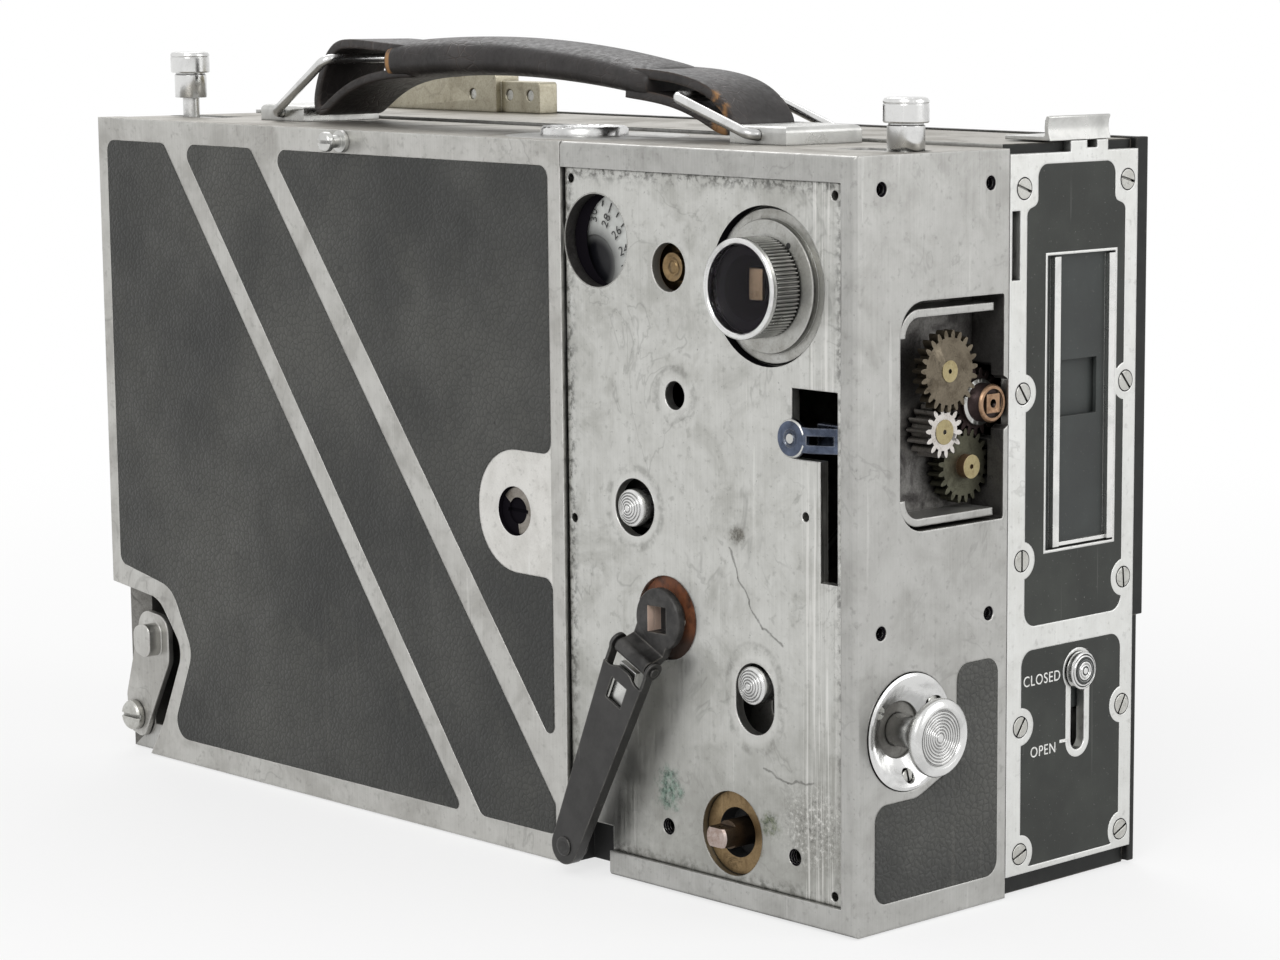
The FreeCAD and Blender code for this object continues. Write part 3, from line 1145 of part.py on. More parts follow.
def governor():
    """Speed governor on the rear end of the first gear's shaft: collar, leaf springs with weights, friction disc."""
    front = GEAR_SHAFT_END + SEAT_GAP
    rear = front + GOVERNOR_LENGTH
    spindle = rod(on_y, GEAR_A_X, GEAR_A_Z, GEAR_SHAFT_RADIUS, front, rear + 3)
    collar = rod(on_y, GEAR_A_X, GEAR_A_Z, 3.0, front + 0.5, front + 3.5)
    disc = rod(on_y, GEAR_A_X, GEAR_A_Z, GOVERNOR_RADIUS, rear - 1.6, rear)
    arms = []
    for angle in (90.0, 210.0, 330.0):
        leaf = block(GEAR_A_X + 2.2, GEAR_A_X + 2.7, front + 1, rear - 1, GEAR_A_Z - 1.2, GEAR_A_Z + 1.2)
        weight = block(GEAR_A_X + 2.4, GEAR_A_X + 5.2, front + 8, front + 12.5, GEAR_A_Z - 1.6, GEAR_A_Z + 1.6)
        arm = fuse(leaf, weight)
        arm.rotate(on_y(GEAR_A_X, GEAR_A_Z, 0), Y_AXIS, angle)
        arms.append(arm)
    return fuse(spindle, collar, disc, *arms)


def gear_wheel(x, z, teeth, face, width, phase, hub_radius, hub_rise):
    """Front-train gear with a raised hub and its shaft through the bridge."""
    wheel = gear(on_y, x, z, teeth, FRONT_MODULE, face, face + width, 0, phase)
    hub = rod(on_y, x, z, hub_radius, face - hub_rise, face + 0.1)
    spacer = rod(on_y, x, z, GEAR_SHAFT_RADIUS + 0.8, face + width - 0.1, GEAR_BRIDGE_FACE - LOOSE_GAP)
    shaft = rod(on_y, x, z, GEAR_SHAFT_RADIUS, face + width - 0.2, GEAR_SHAFT_END)
    dimple = rod(on_y, x, z, 0.45, face - hub_rise - 1, face - hub_rise + 0.5)
    return cut(fuse(wheel, hub, spacer, shaft), dimple)


PHASE_A = 4.0
PHASE_B = meshed_phase(PHASE_A, TEETH_A, ANGLE_AB, TEETH_B)
PHASE_C = meshed_phase(PHASE_B, TEETH_B, ANGLE_BC, TEETH_C)
PHASE_D = meshed_phase(PHASE_C, TEETH_C, ANGLE_CD, TEETH_D)


def coupling_gear():
    """Gear of the film drive with a collar and a square-faced coupling end."""
    wheel = gear(on_y, GEAR_D_X, GEAR_D_Z, TEETH_D, FRONT_MODULE, GEAR_C_FACE, GEAR_C_FACE + GEAR_C_WIDTH, 0, PHASE_D)
    end = BODY_FRONT + 0.5
    hub = turned(on_y, GEAR_D_X, GEAR_D_Z, [
        (0, end), (3.2, end), (3.55, end + 0.4), (3.55, GEAR_C_FACE - 0.9), (4.3, GEAR_C_FACE - 0.8),
        (4.3, GEAR_C_FACE + 0.1), (0, GEAR_C_FACE + 0.1),
    ])
    half = 1.75
    square = block(GEAR_D_X - half, GEAR_D_X + half, end - 1, end + 1.2, GEAR_D_Z - half, GEAR_D_Z + half)
    key = square.cut(rod(on_y, GEAR_D_X, GEAR_D_Z, 0.8, end - 2, end + 2))
    socket = cut(rod(on_y, GEAR_D_X, GEAR_D_Z, 2.7, end - 1, end + 0.5), key)
    core = rod(on_y, GEAR_D_X, GEAR_D_Z, 0.8, end - 1, end + 2)
    spacer = rod(on_y, GEAR_D_X, GEAR_D_Z, GEAR_SHAFT_RADIUS + 0.8, GEAR_C_FACE + GEAR_C_WIDTH - 0.1,
                 GEAR_BRIDGE_FACE - LOOSE_GAP)
    shaft = rod(on_y, GEAR_D_X, GEAR_D_Z, GEAR_SHAFT_RADIUS, GEAR_C_FACE + GEAR_C_WIDTH - 0.2, GEAR_SHAFT_END)
    return cut(fuse(wheel, hub, spacer, shaft), socket, core)


# Run knob

def escutcheon():
    """Polished dish round the run knob."""
    back = BODY_FRONT + DISH_DEPTH
    return turned(on_y, RUN_X, RUN_Z, [
        (DISH_RADIUS, BODY_FRONT - 0.3), (DISH_RADIUS, back), (DISH_BORE, back), (DISH_BORE, back - 0.6),
        (DISH_RADIUS - 1.6, BODY_FRONT - 0.1), (DISH_RADIUS - 0.6, BODY_FRONT - 0.5),
    ])


DISH_SCREWS = [placed(RUN_X, RUN_Z, DISH_SCREW_CIRCLE, angle) for angle in DISH_SCREW_ANGLES]
DISH_SCREW_RADIUS = 1.3


def slotted_screw(view, u, v, radius, face, depth, slot_angle):
    """Countersunk screw with a slot; the head lies from face inward."""
    body = turned(view, u, v, [
        (0, face), (radius - 0.15, face), (radius, face + 0.2), (radius * 0.55, face + 0.2 + radius * 0.45),
        (radius * 0.55, face + depth), (0, face + depth),
    ])
    slot = slab(view, rect(u - radius - 1, u + radius + 1, v - 0.25, v + 0.25), face - 1, face + 0.5)
    slot.rotate(view(u, v, 0), VIEW_AXIS[view], slot_angle)
    return body.cut(slot)


def dish_screw_hole(u, v):
    """Hole that a dish screw sits in."""
    return rod(on_y, u, v, DISH_SCREW_RADIUS + SEAT_GAP, BODY_FRONT - 1, BODY_FRONT + DISH_DEPTH + 4)


def housing_screws():
    """Three screws of the dish, with the lug screw and the latch's pivot screw."""
    dish_screws = [
        slotted_screw(on_y, u, v, DISH_SCREW_RADIUS, BODY_FRONT + 0.6, DISH_DEPTH + 3, angle)
        for (u, v), angle in zip(DISH_SCREWS, (75.0, 160.0, 20.0))
    ]
    return group(*dish_screws, *side_screws())


def run_knob():
    """Push knob that starts the motor, on a waisted stem."""
    return turned(on_y, RUN_X, RUN_Z, [
        (0, RUN_KNOB_FACE + 0.3), (RUN_KNOB_RADIUS - 2.2, RUN_KNOB_FACE + 0.3), (RUN_KNOB_RADIUS - 2.0, RUN_KNOB_FACE),
        (RUN_KNOB_RADIUS - 0.6, RUN_KNOB_FACE + 0.2), (RUN_KNOB_RADIUS, RUN_KNOB_FACE + 0.9),
        (RUN_KNOB_RADIUS - 0.4, RUN_KNOB_FACE + 2.2), (4.2, RUN_KNOB_FACE + 3.4), (3.4, RUN_KNOB_FACE + 5.0),
        (RUN_KNOB_STEM, RUN_KNOB_FACE + 6.5), (RUN_KNOB_STEM, BODY_FRONT + FRONT_WALL + 3),
        (0, BODY_FRONT + FRONT_WALL + 3),
    ])


# Top

def counter_cap():
    """Flush round cap over the counter, with a polished window ring."""
    base = BODY_HEIGHT - COUNTER_CAP_THICKNESS
    cap = rod(on_z, COUNTER_X, COUNTER_Y, COUNTER_CAP_RADIUS, base, BODY_HEIGHT)
    feet = tube(on_z, COUNTER_X, COUNTER_Y, COUNTER_CAP_RADIUS, COUNTER_CAP_RADIUS - 1.5,
                BODY_HEIGHT - COUNTER_POCKET + SEAT_GAP, base + 0.1)
    ring = turned(on_z, COUNTER_X, COUNTER_RING_Y, [
        (COUNTER_GLASS_RADIUS + FIT_GAP, BODY_HEIGHT - 0.1), (COUNTER_RING_RADIUS, BODY_HEIGHT - 0.1),
        (COUNTER_RING_RADIUS, BODY_HEIGHT + COUNTER_RING_HEIGHT - 0.5),
        (COUNTER_RING_RADIUS - 0.5, BODY_HEIGHT + COUNTER_RING_HEIGHT),
        (COUNTER_GLASS_RADIUS + FIT_GAP, BODY_HEIGHT + COUNTER_RING_HEIGHT - 0.4),
    ])
    cap = fuse(cap, feet, ring)
    return cap.cut(rod(on_z, COUNTER_X, COUNTER_RING_Y, COUNTER_GLASS_RADIUS + FIT_GAP, base - 1, BODY_HEIGHT + 5))


def counter_glass():
    """Domed window of the counter."""
    base = BODY_HEIGHT - COUNTER_CAP_THICKNESS + 0.9
    top = BODY_HEIGHT + COUNTER_RING_HEIGHT
    edge = on_z(COUNTER_X + COUNTER_GLASS_RADIUS, COUNTER_RING_Y, top - 0.9)
    edges = [
        Part.Arc(on_z(COUNTER_X, COUNTER_RING_Y, top), on_z(COUNTER_X + COUNTER_GLASS_RADIUS * 0.55, COUNTER_RING_Y, top - 0.27),
                 edge).toShape(),
        Part.makeLine(edge, on_z(COUNTER_X + COUNTER_GLASS_RADIUS, COUNTER_RING_Y, base)),
        Part.makeLine(on_z(COUNTER_X + COUNTER_GLASS_RADIUS, COUNTER_RING_Y, base), on_z(COUNTER_X, COUNTER_RING_Y, base)),
        Part.makeLine(on_z(COUNTER_X, COUNTER_RING_Y, base), on_z(COUNTER_X, COUNTER_RING_Y, top)),
    ]
    return Part.Face(Part.Wire(edges)).revolve(on_z(COUNTER_X, COUNTER_RING_Y, 0), Z_AXIS, 360)


def counter_dial():
    """Footage dial under the window, on its shaft."""
    floor = BODY_HEIGHT - COUNTER_POCKET
    return turned(on_z, COUNTER_X, COUNTER_RING_Y, [
        (0, floor - 6.0), (1.5, floor - 6.0), (1.5, floor + 0.6), (8.4, floor + 0.6), (8.4, floor + 1.4),
        (0, floor + 1.4),
    ])


def top_post(side, raised):
    """Locking plunger on the top: thin stem, barrel and larger head."""
    z = BODY_HEIGHT - POST_GROOVE + SEAT_GAP + (POST_TRAVEL if raised else 0)
    head = z + POST_BARREL_HEIGHT
    return turned(on_z, 0, side * POST_Y, [
        (0, z - POST_DEPTH), (POST_STEM, z - POST_DEPTH), (POST_STEM, z), (POST_BARREL, z), (POST_BARREL, head),
        (POST_HEAD - 0.3, head), (POST_HEAD, head + 0.3), (POST_HEAD, head + POST_HEAD_HEIGHT - 0.5),
        (POST_HEAD - 0.5, head + POST_HEAD_HEIGHT), (0, head + POST_HEAD_HEIGHT),
    ])


# Handle

PIVOT_Z = BODY_HEIGHT + HANDLE_PIVOT_RISE


def handle_plate(side):
    """Base plate of the handle with the bore of its ring."""
    y0, y1 = sorted((side * HANDLE_PLATE_INNER, side * HANDLE_PLATE_OUTER))
    top = BODY_HEIGHT + HANDLE_PLATE_RISE
    plate = block(HANDLE_X - PLATE_HALF_WIDTH, HANDLE_X + PLATE_HALF_WIDTH, y0, y1, BODY_HEIGHT + SEAT_GAP, top)
    plate = fillet(plate, 1.2, lambda p: near(p.z, top))
    bore = rod(on_x, side * HANDLE_PIVOT_Y, PIVOT_Z, RING_WIRE + RUNNING_GAP, -60, 60)
    return plate.cut(bore)


def bar_end(side, angle):
    """Where the ring's outer bar lies, in a side view."""
    turn = math.radians(angle)
    return side * (HANDLE_PIVOT_Y - RING_LENGTH * math.cos(turn)), PIVOT_Z + RING_LENGTH * math.sin(turn)


def handle_ring(side, angle):
    """Wire ring that joins a base plate to the strap."""
    pivot = V(HANDLE_X, side * HANDLE_PIVOT_Y, PIVOT_Z)
    along = V(0, -side * math.cos(math.radians(angle)), math.sin(math.radians(angle)))
    normal = X_AXIS.cross(along)
    half, corner = RING_HALF_WIDTH, RING_CORNER
    corners = [(-half, 0), (half, 0), (half, RING_LENGTH), (-half, RING_LENGTH)]
    spots = [pivot + X_AXIS * u + along * v for u, v in corners]
    pieces = []
    for i, spot in enumerate(spots):
        way_in = (spot - spots[i - 1]).normalize()
        following = spots[(i + 1) % 4]
        way_out = (following - spot).normalize()
        bend_start = spot - way_in * corner
        bend_end = spot + way_out * corner
        disc = Part.Face(Part.Wire(Part.makeCircle(RING_WIRE, bend_start, way_in)))
        pieces.append(disc.revolve(bend_start + way_out * corner, normal, 90))
        length = (following - spot).Length - 2 * corner
        pieces.append(Part.makeCylinder(RING_WIRE, length, bend_end, way_out))
    return fuse(*pieces)


def handle_grip():
    """Leather handle: padded grip, and at each end a strap looped round the ring's bar down to the plate."""
    top = BODY_HEIGHT
    grip_top = [(40.0, top + 17.2), (4.0, top + 18.4), (-41.0, top + 13.5)]
    grip_low = [(-41.0, top + 6.7), (4.0, top + 10.3), (40.0, top + 8.5)]
    edges = [
        Part.Arc(*[on_x(y, z, 0) for y, z in grip_top]).toShape(),
        Part.makeLine(on_x(*grip_top[2]), on_x(*grip_low[0])),
        Part.Arc(*[on_x(y, z, 0) for y, z in grip_low]).toShape(),
        Part.makeLine(on_x(*grip_low[2]), on_x(*grip_top[0])),
    ]
    grip = Part.Face(Part.Wire(edges)).extrude(X_AXIS * (2 * GRIP_HALF_WIDTH))
    grip.translate(X_AXIS * (HANDLE_X - GRIP_HALF_WIDTH))
    grip = grip.makeFillet(GRIP_ROUND, [e for e in grip.Edges if abs(e.BoundBox.XLength) < 1e-4])
    front_bar = bar_end(-1, RING_ANGLE_FRONT)
    rear_bar = bar_end(1, RING_ANGLE_REAR)
    foot = HANDLE_PLATE_INNER - 0.6
    (fy, fz), (ry, rz) = front_bar, rear_bar
    front = [(-39.5, top + 12.6), (fy - 0.9, fz + 3.5), (fy - 8.0, top + 7.8), (-foot, top + 3.6), (-foot, top + 0.7),
             (4.0 - foot, top + 0.7), (-39.5, top + 7.4)]
    front_hole = [(-44.5, top + 9.9), (fy + 0.6, fz + 1.7), (fy - 2.0, fz + 1.6), (fy - 5.7, top + 6.3),
                  (fy - 5.7, top + 3.6), (-44.5, top + 7.9)]
    rear = [(38.5, top + 16.6), (ry + 2.2, rz + 3.6), (ry + 7.2, top + 11.4), (foot, top + 5.5), (foot, top + 0.7),
            (foot - 3.4, top + 0.7), (38.5, top + 9.2)]
    rear_hole = [(44.5, top + 13.6), (ry + 0.2, rz + 1.9), (ry + 3.0, rz + 1.7), (ry + 5.8, top + 9.0),
                 (ry + 5.8, top + 4.2), (44.5, top + 10.2)]
    left, right = HANDLE_X - STRAP_HALF_WIDTH, HANDLE_X + STRAP_HALF_WIDTH
    straps = []
    for outline, hole in ((front, front_hole), (rear, rear_hole)):
        strap = slab(on_x, outline, left, right, [0, 2.5, 3.0, 1.5, 0.5, 1.5, 0])
        straps.append(strap.cut(slab(on_x, hole, left - 1, right + 1, 0.6)))
    return fuse(grip, *straps)


# Magazine

FACE_PLATE_BACK = BODY_FRONT + FACE_PLATE_THICKNESS
CASE_FRONT = FACE_PLATE_BACK
CASE_REAR = BODY_REAR
BLADE_GAP = 1.4


def magazine_case():
    """Film chamber, open to the lid side, with spool spindles and a gate opening."""
    case = block(CASE_LEFT, CASE_RIGHT, CASE_FRONT, CASE_REAR, 0, CASE_TOP)
    inner_front = CASE_FRONT + CASE_FRONT_WALL
    hollow = block(CASE_LEFT + CASE_WALL, CASE_RIGHT + 1, inner_front, CASE_REAR - CASE_WALL, CASE_WALL,
                   CASE_TOP - CASE_WALL)
    half = SLIDE_BLADE_WIDTH / 2 + 0.3
    blade_way = block(APERTURE_X - half, APERTURE_X + half, CASE_FRONT - 1, CASE_FRONT + BLADE_GAP,
                      SLIDE_BLADE_BOTTOM - DARK_SLIDE_TRAVEL - 1, SLIDE_BLADE_TOP + 0.6)
    gate = block(APERTURE_X - APERTURE_WIDTH / 2 - 1, APERTURE_X + APERTURE_WIDTH / 2 + 1, CASE_FRONT - 1,
                 inner_front + 1, APERTURE_Z - APERTURE_HEIGHT / 2 - 1, APERTURE_Z + APERTURE_HEIGHT / 2 + 1)
    coupling = block(CASE_LEFT - 1, CASE_LEFT + CASE_WALL + 1.5, CASE_FRONT - 1, GEAR_BRIDGE_FACE + 4,
                     GEAR_C_Z - 6.0, GEAR_D_Z + 8.5)
    case = cut(case, hollow, blade_way, gate, coupling)
    spindles = [rod(on_x, y, SPOOL_Z, SPOOL_BORE - RUNNING_GAP, CASE_LEFT + 1, SPOOL_LEFT + SPOOL_WIDTH + 1)
                for y in (SUPPLY_Y, TAKEUP_Y)]
    shoulders = [rod(on_x, y, SPOOL_Z, SPOOL_BORE + 4, CASE_LEFT + 1, SPOOL_LEFT - LOOSE_GAP)
                 for y in (SUPPLY_Y, TAKEUP_Y)]
    axle = rod(on_x, SPROCKET_Y, SPROCKET_Z, 2.0, CASE_LEFT + 1, SPOOL_LEFT + SPOOL_WIDTH)
    axle_seat = rod(on_x, SPROCKET_Y, SPROCKET_Z, 4.0, CASE_LEFT + 1, SPOOL_LEFT - LOOSE_GAP)
    pins = [rod(on_y, APERTURE_X + side * 5.5, APERTURE_Z + side * 12.0, 1.0, inner_front - 1, inner_front + 6.0)
            for side in (-1, 1)]
    return fuse(case, *spindles, *shoulders, axle, axle_seat, *pins)


def panel_outlines():
    """Black panels of the face plate: upper with lobes round the screws, and lower."""
    left, right = 24.9, 52.8
    upper = [(27.9, 136.9), (49.8, 136.9), (49.8, 133.0), (50.2, 129.0), (right, 129.0), (right, 98.4),
             (GATE_RIGHT + 0.6, 98.4), (GATE_RIGHT + 0.6, 122.0), (GATE_LEFT - 0.4, 122.0), (GATE_LEFT - 0.4, 98.4),
             (28.2, 97.6), (28.2, 92.2), (GATE_LEFT - 0.4, 91.4), (GATE_LEFT - 0.4, 63.0), (GATE_RIGHT + 0.6, 63.0),
             (GATE_RIGHT + 0.6, 92.4), (right, 92.4), (right, 61.0), (50.0, 60.0), (50.0, 54.2), (right, 53.4),
             (right, 50.9), (left, 50.9), (left, 59.6), (27.8, 60.6), (27.8, 66.6), (left, 67.6), (left, 91.2),
             (27.0, 92.0), (27.0, 97.8), (left, 98.6), (left, 128.6), (27.9, 129.6)]
    lower = [(24.2, 46.4), (right, 46.4), (right, 36.0), (50.0, 35.0), (50.0, 29.4), (right, 28.4), (right, 11.4),
             (50.0, 10.4), (50.0, 4.9), (27.6, 4.9), (27.6, 11.0), (24.2, 12.0), (24.2, 28.4), (27.4, 29.2),
             (27.4, 35.2), (24.2, 36.0)]
    return upper, lower


def gate_slot(grow=0.0):
    """Opening of the face plate for the gate."""
    return rect(GATE_LEFT - grow, GATE_RIGHT + grow, GATE_LOW - grow, GATE_HIGH + grow)


def thumb_slot(front, back, grow=0.0):
    """Slot for the dark slide's thumb button."""
    half = THUMB_STEM + 0.2 + grow
    return obround(on_y, APERTURE_X, THUMB_Z - DARK_SLIDE_TRAVEL - half - 0.2, THUMB_Z + half + 0.2, half, front, back)


def screw_places():
    """Centres of the face-plate screws."""
    left = [(SCREW_LEFT_X, z) for z in SCREW_LEFT_Z]
    return left + [(SCREW_RIGHT_X, z) for z in SCREW_RIGHT_Z]


def face_panels_cut(front, back):
    """Solids of the two panels between two depths, less the gate and the thumb slot."""
    upper, lower = panel_outlines()
    high, step = FACE_PLATE_HIGH - 2.0, FACE_PLATE_HIGH - 9.8
    top_panel = slab(on_y, [(24.9, 50.9), (52.8, 50.9), (52.8, step - 0.5), (49.8, step + 0.5), (49.8, high),
                            (27.9, high), (27.9, step + 0.5), (24.9, step - 0.5)],
                     front, back, [3, 3, 1.5, 1.5, 2.5, 2.5, 1.5, 1.5])
    low_panel = slab(on_y, rect(24.2, 52.8, 4.9, 46.4), front, back, 3.0)
    lobes = []
    for x, z in screw_places():
        lobes.append(rod(on_y, x, z, SCREW_RADIUS + 1.6, front - 1, back + 1))
    bridge = block(50.1, 53.5, front - 1, back + 1, 92.6, 97.6)
    gate = slab(on_y, gate_slot(0.5), front - 1, back + 1)
    seat = rod(on_y, APERTURE_X, THUMB_Z, THUMB_SEAT, front - 1, back + 1)
    return [
        cut(top_panel, gate, bridge, *lobes),
        cut(low_panel, thumb_slot(front - 1, back + 1, 1.4), seat, *lobes),
    ]


def magazine_face_plate():
    """Machined front plate of the magazine."""
    plate = block(CASE_LEFT, CASE_RIGHT, BODY_FRONT, FACE_PLATE_BACK - SEAT_GAP, FACE_PLATE_LOW, FACE_PLATE_HIGH)
    ear = block(37.0, 47.5, BODY_FRONT, FACE_PLATE_BACK - SEAT_GAP, FACE_PLATE_HIGH - 0.5, CASE_TOP + 0.2)
    ear = ear.cut(block(41.5, 44.5, BODY_FRONT - 1, FACE_PLATE_BACK, CASE_TOP - 1.2, CASE_TOP + 1))
    cuts = [
        slab(on_y, gate_slot(), BODY_FRONT - 1, FACE_PLATE_BACK + 1),
        thumb_slot(BODY_FRONT - 1, FACE_PLATE_BACK + 1),
        block(CASE_LEFT + 0.6, CASE_LEFT + 2.9, BODY_FRONT - 1, FACE_PLATE_BACK + 1,
              FACE_PLATE_HIGH - 23.0, FACE_PLATE_HIGH - 10.3),
    ]
    for x, z in screw_places():
        cuts.append(rod(on_y, x, z, SCREW_RADIUS + SEAT_GAP, BODY_FRONT - 1, FACE_PLATE_BACK + 1))
    plate = cut(fuse(plate, ear), *cuts)
    return cut(plate, *face_panels_cut(BODY_FRONT - 1, BODY_FRONT + PANEL_DEPTH))


def magazine_panels():
    """Black panels let into the face plate."""
    return group(*face_panels_cut(BODY_FRONT + 0.05, BODY_FRONT + PANEL_DEPTH - SEAT_GAP))


def magazine_screws():
    """Ten slotted screws of the face plate and three of the finder bracket."""
    screws = bracket_screws()
    for i, (x, z) in enumerate(screw_places()):
        angle = (35.0 * i + 20.0) % 180.0
        screws.append(slotted_screw(on_y, x, z, SCREW_RADIUS, BODY_FRONT - 0.1, FACE_PLATE_THICKNESS + 0.05, angle))
    return group(*screws)


def gate_frame():
    """Film gate: a plate set back in its opening, with a rail at each side and a bar at the foot."""
    front, face = BODY_FRONT - 0.1, BODY_FRONT + GATE_SET_BACK
    plate = slab(on_y, gate_slot(-FIT_GAP), face, FACE_PLATE_BACK - SEAT_GAP)
    low, high = GATE_LOW + 0.4, GATE_HIGH - 0.4
    right_edge = GATE_RIGHT - 0.1
    rails = [
        block(RAIL_LEFT, RAIL_LEFT + RAIL_WIDTH, front, face + 0.1, low, high),
        block(RAIL_RIGHT, right_edge, front, face + 0.1, low, high),
        block(RAIL_LEFT, right_edge, front + 0.5, face + 0.1, low, low + 0.7),
    ]
    half = APERTURE_WIDTH / 2
    hole = block(APERTURE_X - half, APERTURE_X + half, face - 1, FACE_PLATE_BACK + 1,
                 APERTURE_Z - APERTURE_HEIGHT / 2, APERTURE_Z + APERTURE_HEIGHT / 2)
    return fuse(plate, *rails).cut(hole)


def dark_slide_button(blade):
    """Thumb button riveted to the dark slide's blade."""
    return turned(on_y, APERTURE_X, THUMB_Z, [
        (0, THUMB_FACE), (0.8, THUMB_FACE), (0.8, THUMB_FACE + 0.25), (1.7, THUMB_FACE + 0.25), (1.7, THUMB_FACE + 0.1),
        (2.6, THUMB_FACE + 0.1), (2.6, THUMB_FACE + 0.35), (THUMB_RADIUS, THUMB_FACE + 0.5),
        (THUMB_RADIUS, BODY_FRONT - 0.25), (THUMB_STEM, BODY_FRONT - 0.25), (THUMB_STEM, blade), (0, blade),
    ])


def dark_slide():
    """Sliding blade that closes the aperture."""
    half = SLIDE_BLADE_WIDTH / 2
    front = FACE_PLATE_BACK + 0.4
    blade = block(APERTURE_X - half, APERTURE_X + half, front, front + SLIDE_BLADE_THICKNESS, SLIDE_BLADE_BOTTOM,
                  SLIDE_BLADE_TOP)
    return fuse(blade, dark_slide_button(front + SLIDE_BLADE_THICKNESS / 2))


def pressure_plate():
    """Plate that holds the film flat behind the aperture, sliding on two pins."""
    inner_front = CASE_FRONT + CASE_FRONT_WALL
    plate = slab(on_y, rect(APERTURE_X - 7.8, APERTURE_X + 7.8, APERTURE_Z - 15.5, APERTURE_Z + 15.5),
                 inner_front + 0.3, inner_front + 1.8, 2.0)
    holes = [rod(on_y, APERTURE_X + s * 5.5, APERTURE_Z + s * 12.0, 1.0 + RUNNING_GAP, inner_front - 1, inner_front + 8)
             for s in (-1, 1)]
    return cut(plate, *holes)


def film_spool(y):
    """Daylight spool with two flanges, lightening windows and film on its core."""
    left, right = SPOOL_LEFT, SPOOL_LEFT + SPOOL_WIDTH
    spool = turned(on_x, y, SPOOL_Z, [
        (SPOOL_BORE, left), (SPOOL_RADIUS, left), (SPOOL_RADIUS, left + SPOOL_FLANGE), (SPOOL_CORE, left + SPOOL_FLANGE),
        (SPOOL_CORE, right - SPOOL_FLANGE), (SPOOL_RADIUS, right - SPOOL_FLANGE), (SPOOL_RADIUS, right),
        (SPOOL_BORE, right),
    ])
    return spool


def film_sprocket():
    """Film drive sprocket with eight teeth at each edge."""
    left, right = SPOOL_LEFT, SPOOL_LEFT + SPOOL_WIDTH - 1.5
    bore = 2.0 + RUNNING_GAP
    drum = turned(on_x, SPROCKET_Y, SPROCKET_Z, [
        (bore, left), (SPROCKET_RADIUS, left), (SPROCKET_RADIUS, left + 3.0), (SPROCKET_RADIUS - 1.2, left + 3.4),
        (SPROCKET_RADIUS - 1.2, right - 3.4), (SPROCKET_RADIUS, right - 3.0), (SPROCKET_RADIUS, right), (bore, right),
    ])
    teeth = []
    for k in range(8):
        angle = 45.0 * k
        for x in (left + 1.2, right - 2.2):
            tooth = block(x, x + 1.0, SPROCKET_Y - 0.5, SPROCKET_Y + 0.5, SPROCKET_Z + SPROCKET_RADIUS - 0.3,
                          SPROCKET_Z + SPROCKET_RADIUS + 0.8)
            tooth.rotate(on_x(SPROCKET_Y, SPROCKET_Z, 0), X_AXIS, angle)
            teeth.append(tooth)
    return fuse(drum, *teeth)


def magazine_lid():
    """Outer lid of the magazine, thinner below its step, with a rim inside the case."""
    left = CASE_RIGHT + SEAT_GAP
    right = CASE_RIGHT + LID_THICKNESS + 0.2
    lid = block(left, right, CASE_FRONT, CASE_REAR, 0.3, LID_TOP)
    lid = fillet(lid, 1.2, lambda p: near(p.x, right))
    lid = lid.cut(block(right - LID_STEP, right + 1, CASE_FRONT - 1, CASE_REAR + 1, -1, LID_STEP_Z))
    rim = block(left - LID_RIM, left + 0.1, CASE_FRONT + CASE_FRONT_WALL + 0.15, CASE_REAR - CASE_WALL - 0.15,
                CASE_WALL + 0.15, CASE_TOP - CASE_WALL - 0.15)
    rim = rim.cut(block(left - LID_RIM - 1, left, CASE_FRONT + CASE_FRONT_WALL + 1.8, CASE_REAR - CASE_WALL - 1.8,
                        CASE_WALL + 1.8, CASE_TOP - CASE_WALL - 1.8))
    return fuse(lid, rim)


def magazine_latch():
    """Thumb piece on the magazine's top front edge, hollowed for the finger."""
    base = CASE_TOP + 0.25
    profile = [(BODY_FRONT + 0.3, base), (BODY_FRONT + 0.3, base + 0.8), (BODY_FRONT + 4.0, base + 2.25),
               (BODY_FRONT + 7.5, THUMB_LATCH_TOP), (BODY_FRONT + 9.4, THUMB_LATCH_TOP), (BODY_FRONT + 11.5, base)]
    latch = slab(on_x, profile, THUMB_LATCH_LEFT, THUMB_LATCH_RIGHT, [0.2, 0.3, 2.0, 0.8, 0.8, 0.2])
    hollow = Part.makeSphere(11.0, V((THUMB_LATCH_LEFT + THUMB_LATCH_RIGHT) / 2, BODY_FRONT - 2.0, THUMB_LATCH_TOP + 5.9))
    return latch.cut(hollow)


def finder_bracket():
    """Cast bracket of the finder on the magazine's far top edge."""
    base = CASE_TOP + SEAT_GAP
    top = CASE_TOP + BRACKET_RISE
    profile = [(64.0, base), (104.0, base), (104.0, base + 2.0), (84.0, top), (64.0, top)]
    left, right = 49.5, CASE_RIGHT - 0.1
    body = slab(on_x, profile, left, right, [0, 0, 1.0, 6.0, 1.0])
    foot = slab(on_x, [(51.0, base), (64.5, base), (64.5, top - 1.8), (51.0, top - 1.8)], left + 1.6, right,
                [0, 0, 0, 0.8])
    holes = [rod(on_x, y, CASE_TOP + 3.9, 1.2 + SEAT_GAP, left - 1, left + 3.6) for y in (72.0, 61.2, 54.2)]
    return cut(fuse(body, foot), *holes)


def bracket_screws():
    """Three screws sunk in the bracket's side."""
    left = 49.5
    screws = []
    for y, x in ((72.0, left + 0.4), (61.2, left + 1.9), (54.2, left + 1.9)):
        screws.append(rod(on_x, y, CASE_TOP + 3.9, 1.2, x, left + 3.5))
    return screws


